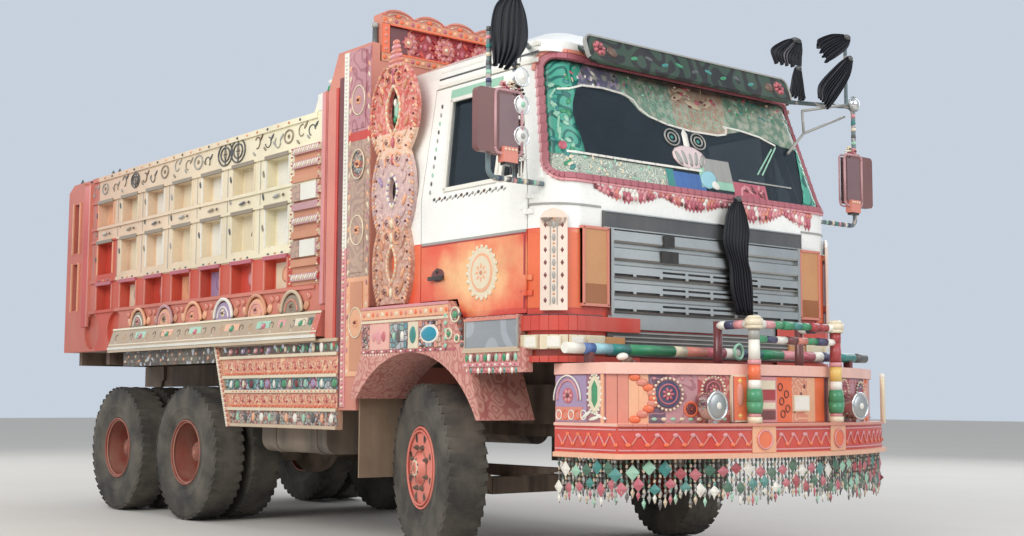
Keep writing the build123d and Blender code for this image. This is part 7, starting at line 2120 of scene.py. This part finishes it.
def addMosaic(piece):
    face, front = rightFace(skirt["y"]), skirt["front"]
    for low, high, ink in skirt["rows"]:
        rear = skirtEdge(low) + 0.06
        addRun(piece, face, ((rear, low - 0.006), (front, low - 0.006), (front, high + 0.006),
                             (skirtEdge(high) + 0.06, high + 0.006)), 0.004, ink)
    for step, u in enumerate((-0.93, -1.06, -1.165, -1.3, -1.42, -1.54, -1.66)):
        grow = (0.9, 1.25, 1.05, 0.95, 0.85, 0.75, 0.6)[step]
        addDome(piece, face, frontAxle + u, 1.302, 0.004, 0.036 * grow, 0.066 * grow, 0.01,
                ("mint", "white", "cream")[step % 3], 0, 12, 6)
        addDome(piece, face, frontAxle + u + 0.055, 1.302, 0.004, 0.022, 0.04, 0.006, "green")
    for step in range(7):
        u = frontAxle - 1.78 - 0.095 * step
        addDome(piece, face, u, 1.302, 0.004, 0.07, 0.05, 0.008,
                ("lavender", "maroon", "pink", "brown")[step % 4], 0.3)
        addDome(piece, face, u, 1.302, 0.008, 0.022, 0.03, 0.008, ("white", "rose")[step % 2])
    for step, u in enumerate((-0.89, -1.05, -1.16, -1.26, -1.38, -1.47, -1.55, -1.69, -1.79, -1.87, -2.02,
                              -2.14, -2.24, -2.33)):
        ink = ("green", "white", "lavender", "mint", "maroon", "cream")[step % 6]
        addDome(piece, face, frontAxle + u, 1.06, 0.004, (0.06, 0.03)[step % 2], 0.064, 0.01, ink, 0, 10, 5)
        addRing(piece, face, frontAxle + u, 1.06, 0.005, 0.085, 0.07, 0.004,
                ("slate", "teal", "rose")[step % 3], 0, 16, 4)
    for low, count in ((1.126, 30), (0.894, 28)):
        start = skirtEdge(low) + 0.075
        for step in range(count):
            u = start + (front - 0.02 - start) * (step + 0.5) / count
            addRing(piece, face, u, low, 0.005, 0.04, 0.03, 0.004, "orange", 0, 8, 4, math.pi)
            addRing(piece, face, u, low + 0.062, 0.005, 0.046, 0.036, 0.0035, ("cream", "rose")[step % 2],
                    step * 0.9, 12, 4, 4.4)
            addDome(piece, face, u + 0.022, low + 0.04, 0.004, 0.03, 0.014, 0.005,
                    ("peach", "crimson")[step % 2], 0.7, 7, 4)
    for step in range(12):
        addDome(piece, face, front - 0.07 - 0.118 * step, 0.822, 0.004, (0.052, 0.034)[step % 2], 0.072,
                0.012, ("white", "peach", "slate", "mint")[step % 4], 0, 10, 5)


def addSkirtRails(piece):
    # pale rails, one of them dotted, and a rope of white beads down the slanted edge
    rail, front = rightFace(skirt["y"] - 0.016), skirt["front"]
    for z in (1.348, 1.256, 1.112, 1.006, 0.88, 0.762):
        addRun(piece, rail, ((skirtEdge(z), z - 0.01), (front, z - 0.01), (front, z + 0.01),
                             (skirtEdge(z), z + 0.01)), 0.002, "beige" if z > 1.3 or z < 0.8 else "cream")
    for step in range(34):
        z = 1.35 - 0.594 * step / 33
        addBead(piece, rail, skirtEdge(z) + 0.018, z, 0.003, 0.013, ("white", "cream")[step % 2])
        addBead(piece, rail, skirtEdge(z) + 0.043, z, 0.002, 0.01, ("peach", "rose")[step % 2])
    domeRow(piece, rail, inLine(front - 0.03, 1.006, -0.056, 0, 26), 0.001, (0.03, 0.012, 0.005),
            ("tan", "orange"), 0, 7)


piece = newPiece()
for build in (addMosaic, addSkirtRails):
    build(piece)
finishPiece(piece, "skirtOrnament", "chassis", both=True)

# Front fenders: blocks of mosaic, dotted bands and a pale leg behind the wheel; grey step panel and its hem
fender = {"y": -1.29, "stepY": -1.285, "legY": -1.262}


def buildFender(piece):
    face, x = rightFace(fender["y"]), frontAxle
    for left, right, low, high, ink in ((-0.49, -0.415, 1.27, 1.42, "foilPink"),
                                        (-0.405, -0.185, 1.262, 1.425, "palePink"),
                                        (-0.175, 0.01, 1.262, 1.425, "foilTeal"),
                                        (0.02, 0.125, 1.262, 1.425, "cream"),
                                        (0.135, 0.36, 1.262, 1.425, "foilSalmon")):
        addStrip(piece, face, x + left, x + right, low, high, 0.005, ink)
    addDisc(piece, face, x + 0.245, 1.345, 0.004, 0.19, 0.115, 0.006, "white", 28)
    addDome(piece, face, x + 0.245, 1.345, 0.008, 0.165, 0.092, 0.012, "ovalBlue", 0, 16, 8)
    for u, tall, ink in ((-0.3, 0.1, "pink"), (-0.245, 0.07, "rose"), (-0.355, 0.06, "pink"),
                         (-0.085, 0.09, "slate"), (-0.13, 0.05, "mint"), (-0.04, 0.06, "white"),
                         (0.072, 0.11, "teal")):
        addDome(piece, face, x + u, 1.345, 0.005, tall * 0.62, tall, 0.01, ink, 0, 10, 6)
    for low, high, ink in ((1.432, 1.448, "cream"), (1.455, 1.515, "peach"), (1.518, 1.536, "pink"),
                           (1.244, 1.257, "rose")):
        addStrip(piece, face, x - 0.505, x + 0.43 if low > 1.4 else x + 0.5, low, high, 0.006, ink)
    domeRow(piece, face, inLine(x - 0.47, 1.485, 0.052, 0, 18), 0.005, (0.034, 0.034, 0.006),
            ("salmon", "cream", "orange"))
    domeRow(piece, face, inLine(x - 0.47, 1.25, 0.052, 0, 18), 0.005, (0.026, 0.016, 0.005),
            ("white", "maroon"))
    beadRow(piece, face, inLine(x - 0.46, 1.232, 0.03, 0, 9), -0.004, 0.009, ("white",))
    for u, z, wide in ((0.5, 1.47, 0.085), (0.44, 1.36, 0.06), (0.52, 1.33, 0.045)):
        addDisc(piece, face, x + u, z - 0.02, 0, wide, wide, 0.006, "foilMixed", 20)
        addRing(piece, face, x + u, z - 0.02, 0.004, wide, wide, 0.006, "cream", 0, 20, 5)
        addDome(piece, face, x + u, z - 0.02, 0.004, wide * 0.55, wide * 0.55, 0.014, "green", 0, 10, 6)
    for step in range(5):
        z = 1.27 + 0.045 * step
        for u, ink in ((0.405, "mint"), (0.565, "slate")):
            addDome(piece, face, x + u - 0.12 * (z - 1.27) * (u > 0.5), z, 0.003, 0.036, 0.03,
                    0.007, ink, 0.4)
    # curved pale pink leg behind the wheel
    leg = ((-0.52, 1.235), (-0.545, 1.18), (-0.575, 1.11), (-0.605, 1.04), (-0.628, 0.99))
    for (x0, z0), (x1, z1) in zip(leg, leg[1:]):
        tilt = math.atan2(z1 - z0, x1 - x0)
        addBox(piece, rightFace(fender["legY"]), x + (x0 + x1) / 2 + 0.03, (z0 + z1) / 2, 0.0,
               (math.hypot(x1 - x0, z1 - z0) + 0.008, 0.055, 0.012), "palePink", tilt)


def buildStep(piece):
    face, left, right = rightFace(fender["stepY"]), frontAxle + 0.592, frontAxle + 1.072
    addStrip(piece, face, left, right, 1.246, 1.414, 0.003, "stepGrey")
    for z in (1.24, 1.41):
        addStrip(piece, face, left - 0.01, right + 0.004, z - 0.007, z + 0.007, 0.01,
                 "beige" if z < 1.3 else "salmon")
    for u in (left, right):
        addStrip(piece, face, u - 0.006, u + 0.006, 1.24, 1.414, 0.009, "grey")
    for z, wide in ((1.15, 0.022), (1.228, 0.016)):
        addStrip(piece, face, left - 0.02, right + 0.02, z - wide / 2, z + wide / 2, 0.009,
                 ("pink", "beige")[z > 1.2])
    count = 14
    for step in range(count):
        u = left + (right - left) * (step + 0.5) / count
        addDome(piece, face, u, 1.19, 0.002, 0.03, 0.05, 0.01,
                ("green", "white", "maroon", "mint", "pink")[step % 5], 0, 8, 5)
        addBead(piece, face, u, 1.15, 0.01, 0.008, ("white", "rose")[step % 2])
        addDiamond(piece, face, u, 1.118, 0.0, 0.026, 0.05, 0.008, ("white", "teal", "rose")[step % 3])


for build, name in ((buildFender, "fenderOrnament"), (buildStep, "stepOrnament")):
    piece = newPiece()
    build(piece)
    finishPiece(piece, name, "chassis", both=True, bevel=0.0012)
print("skirts and fenders made")

# Pale floor and backdrop, which aren't part of the truck
floorMesh = bmesh.new()
bmesh.ops.create_grid(floorMesh, x_segments=1, y_segments=1, size=60)
floorData = bpy.data.meshes.new("studioFloor")
floorMesh.to_mesh(floorData)
studioFloor = bpy.data.objects.new("studioFloor", floorData)
bpy.context.scene.collection.objects.link(studioFloor)
paleFloor, tree, shader = newMaterial("paleFloor")
cloudy = noise(tree, addNode(tree, "TexCoord").outputs["Object"], 0.8, 4)
tree.links.new(mixed(tree, cloudy, plainColour(0.8, 0.79, 0.77), plainColour(0.84, 0.83, 0.81)),
               shader.inputs["Base Color"])
shader.inputs["Roughness"].default_value = 0.9
floorData.materials.append(paleFloor)

world = bpy.data.worlds.new("studioWorld")
bpy.context.scene.world = world
world.use_nodes = True
tree = world.node_tree
tree.nodes.clear()
lightPath = addNode(tree, "LightPath")
seen = worked(tree, "ADD", worked(tree, "ADD", lightPath.outputs["Is Camera Ray"],
                                  lightPath.outputs["Is Glossy Ray"]),
                                  lightPath.outputs["Is Transmission Ray"], clamp=True)
soft, backdrop = addNode(tree, "Background"), addNode(tree, "Background")
soft.inputs["Color"].default_value = (0.93, 0.96, 1.0, 1)
soft.inputs["Strength"].default_value = 0.62
backdrop.inputs["Color"].default_value = (*plainColour(0.78, 0.82, 0.87), 1)
both = addNode(tree, "MixShader")
tree.links.new(seen, both.inputs[0])
tree.links.new(soft.outputs[0], both.inputs[1])
tree.links.new(backdrop.outputs[0], both.inputs[2])
tree.links.new(both.outputs[0], addNode(tree, "OutputWorld").inputs[0])
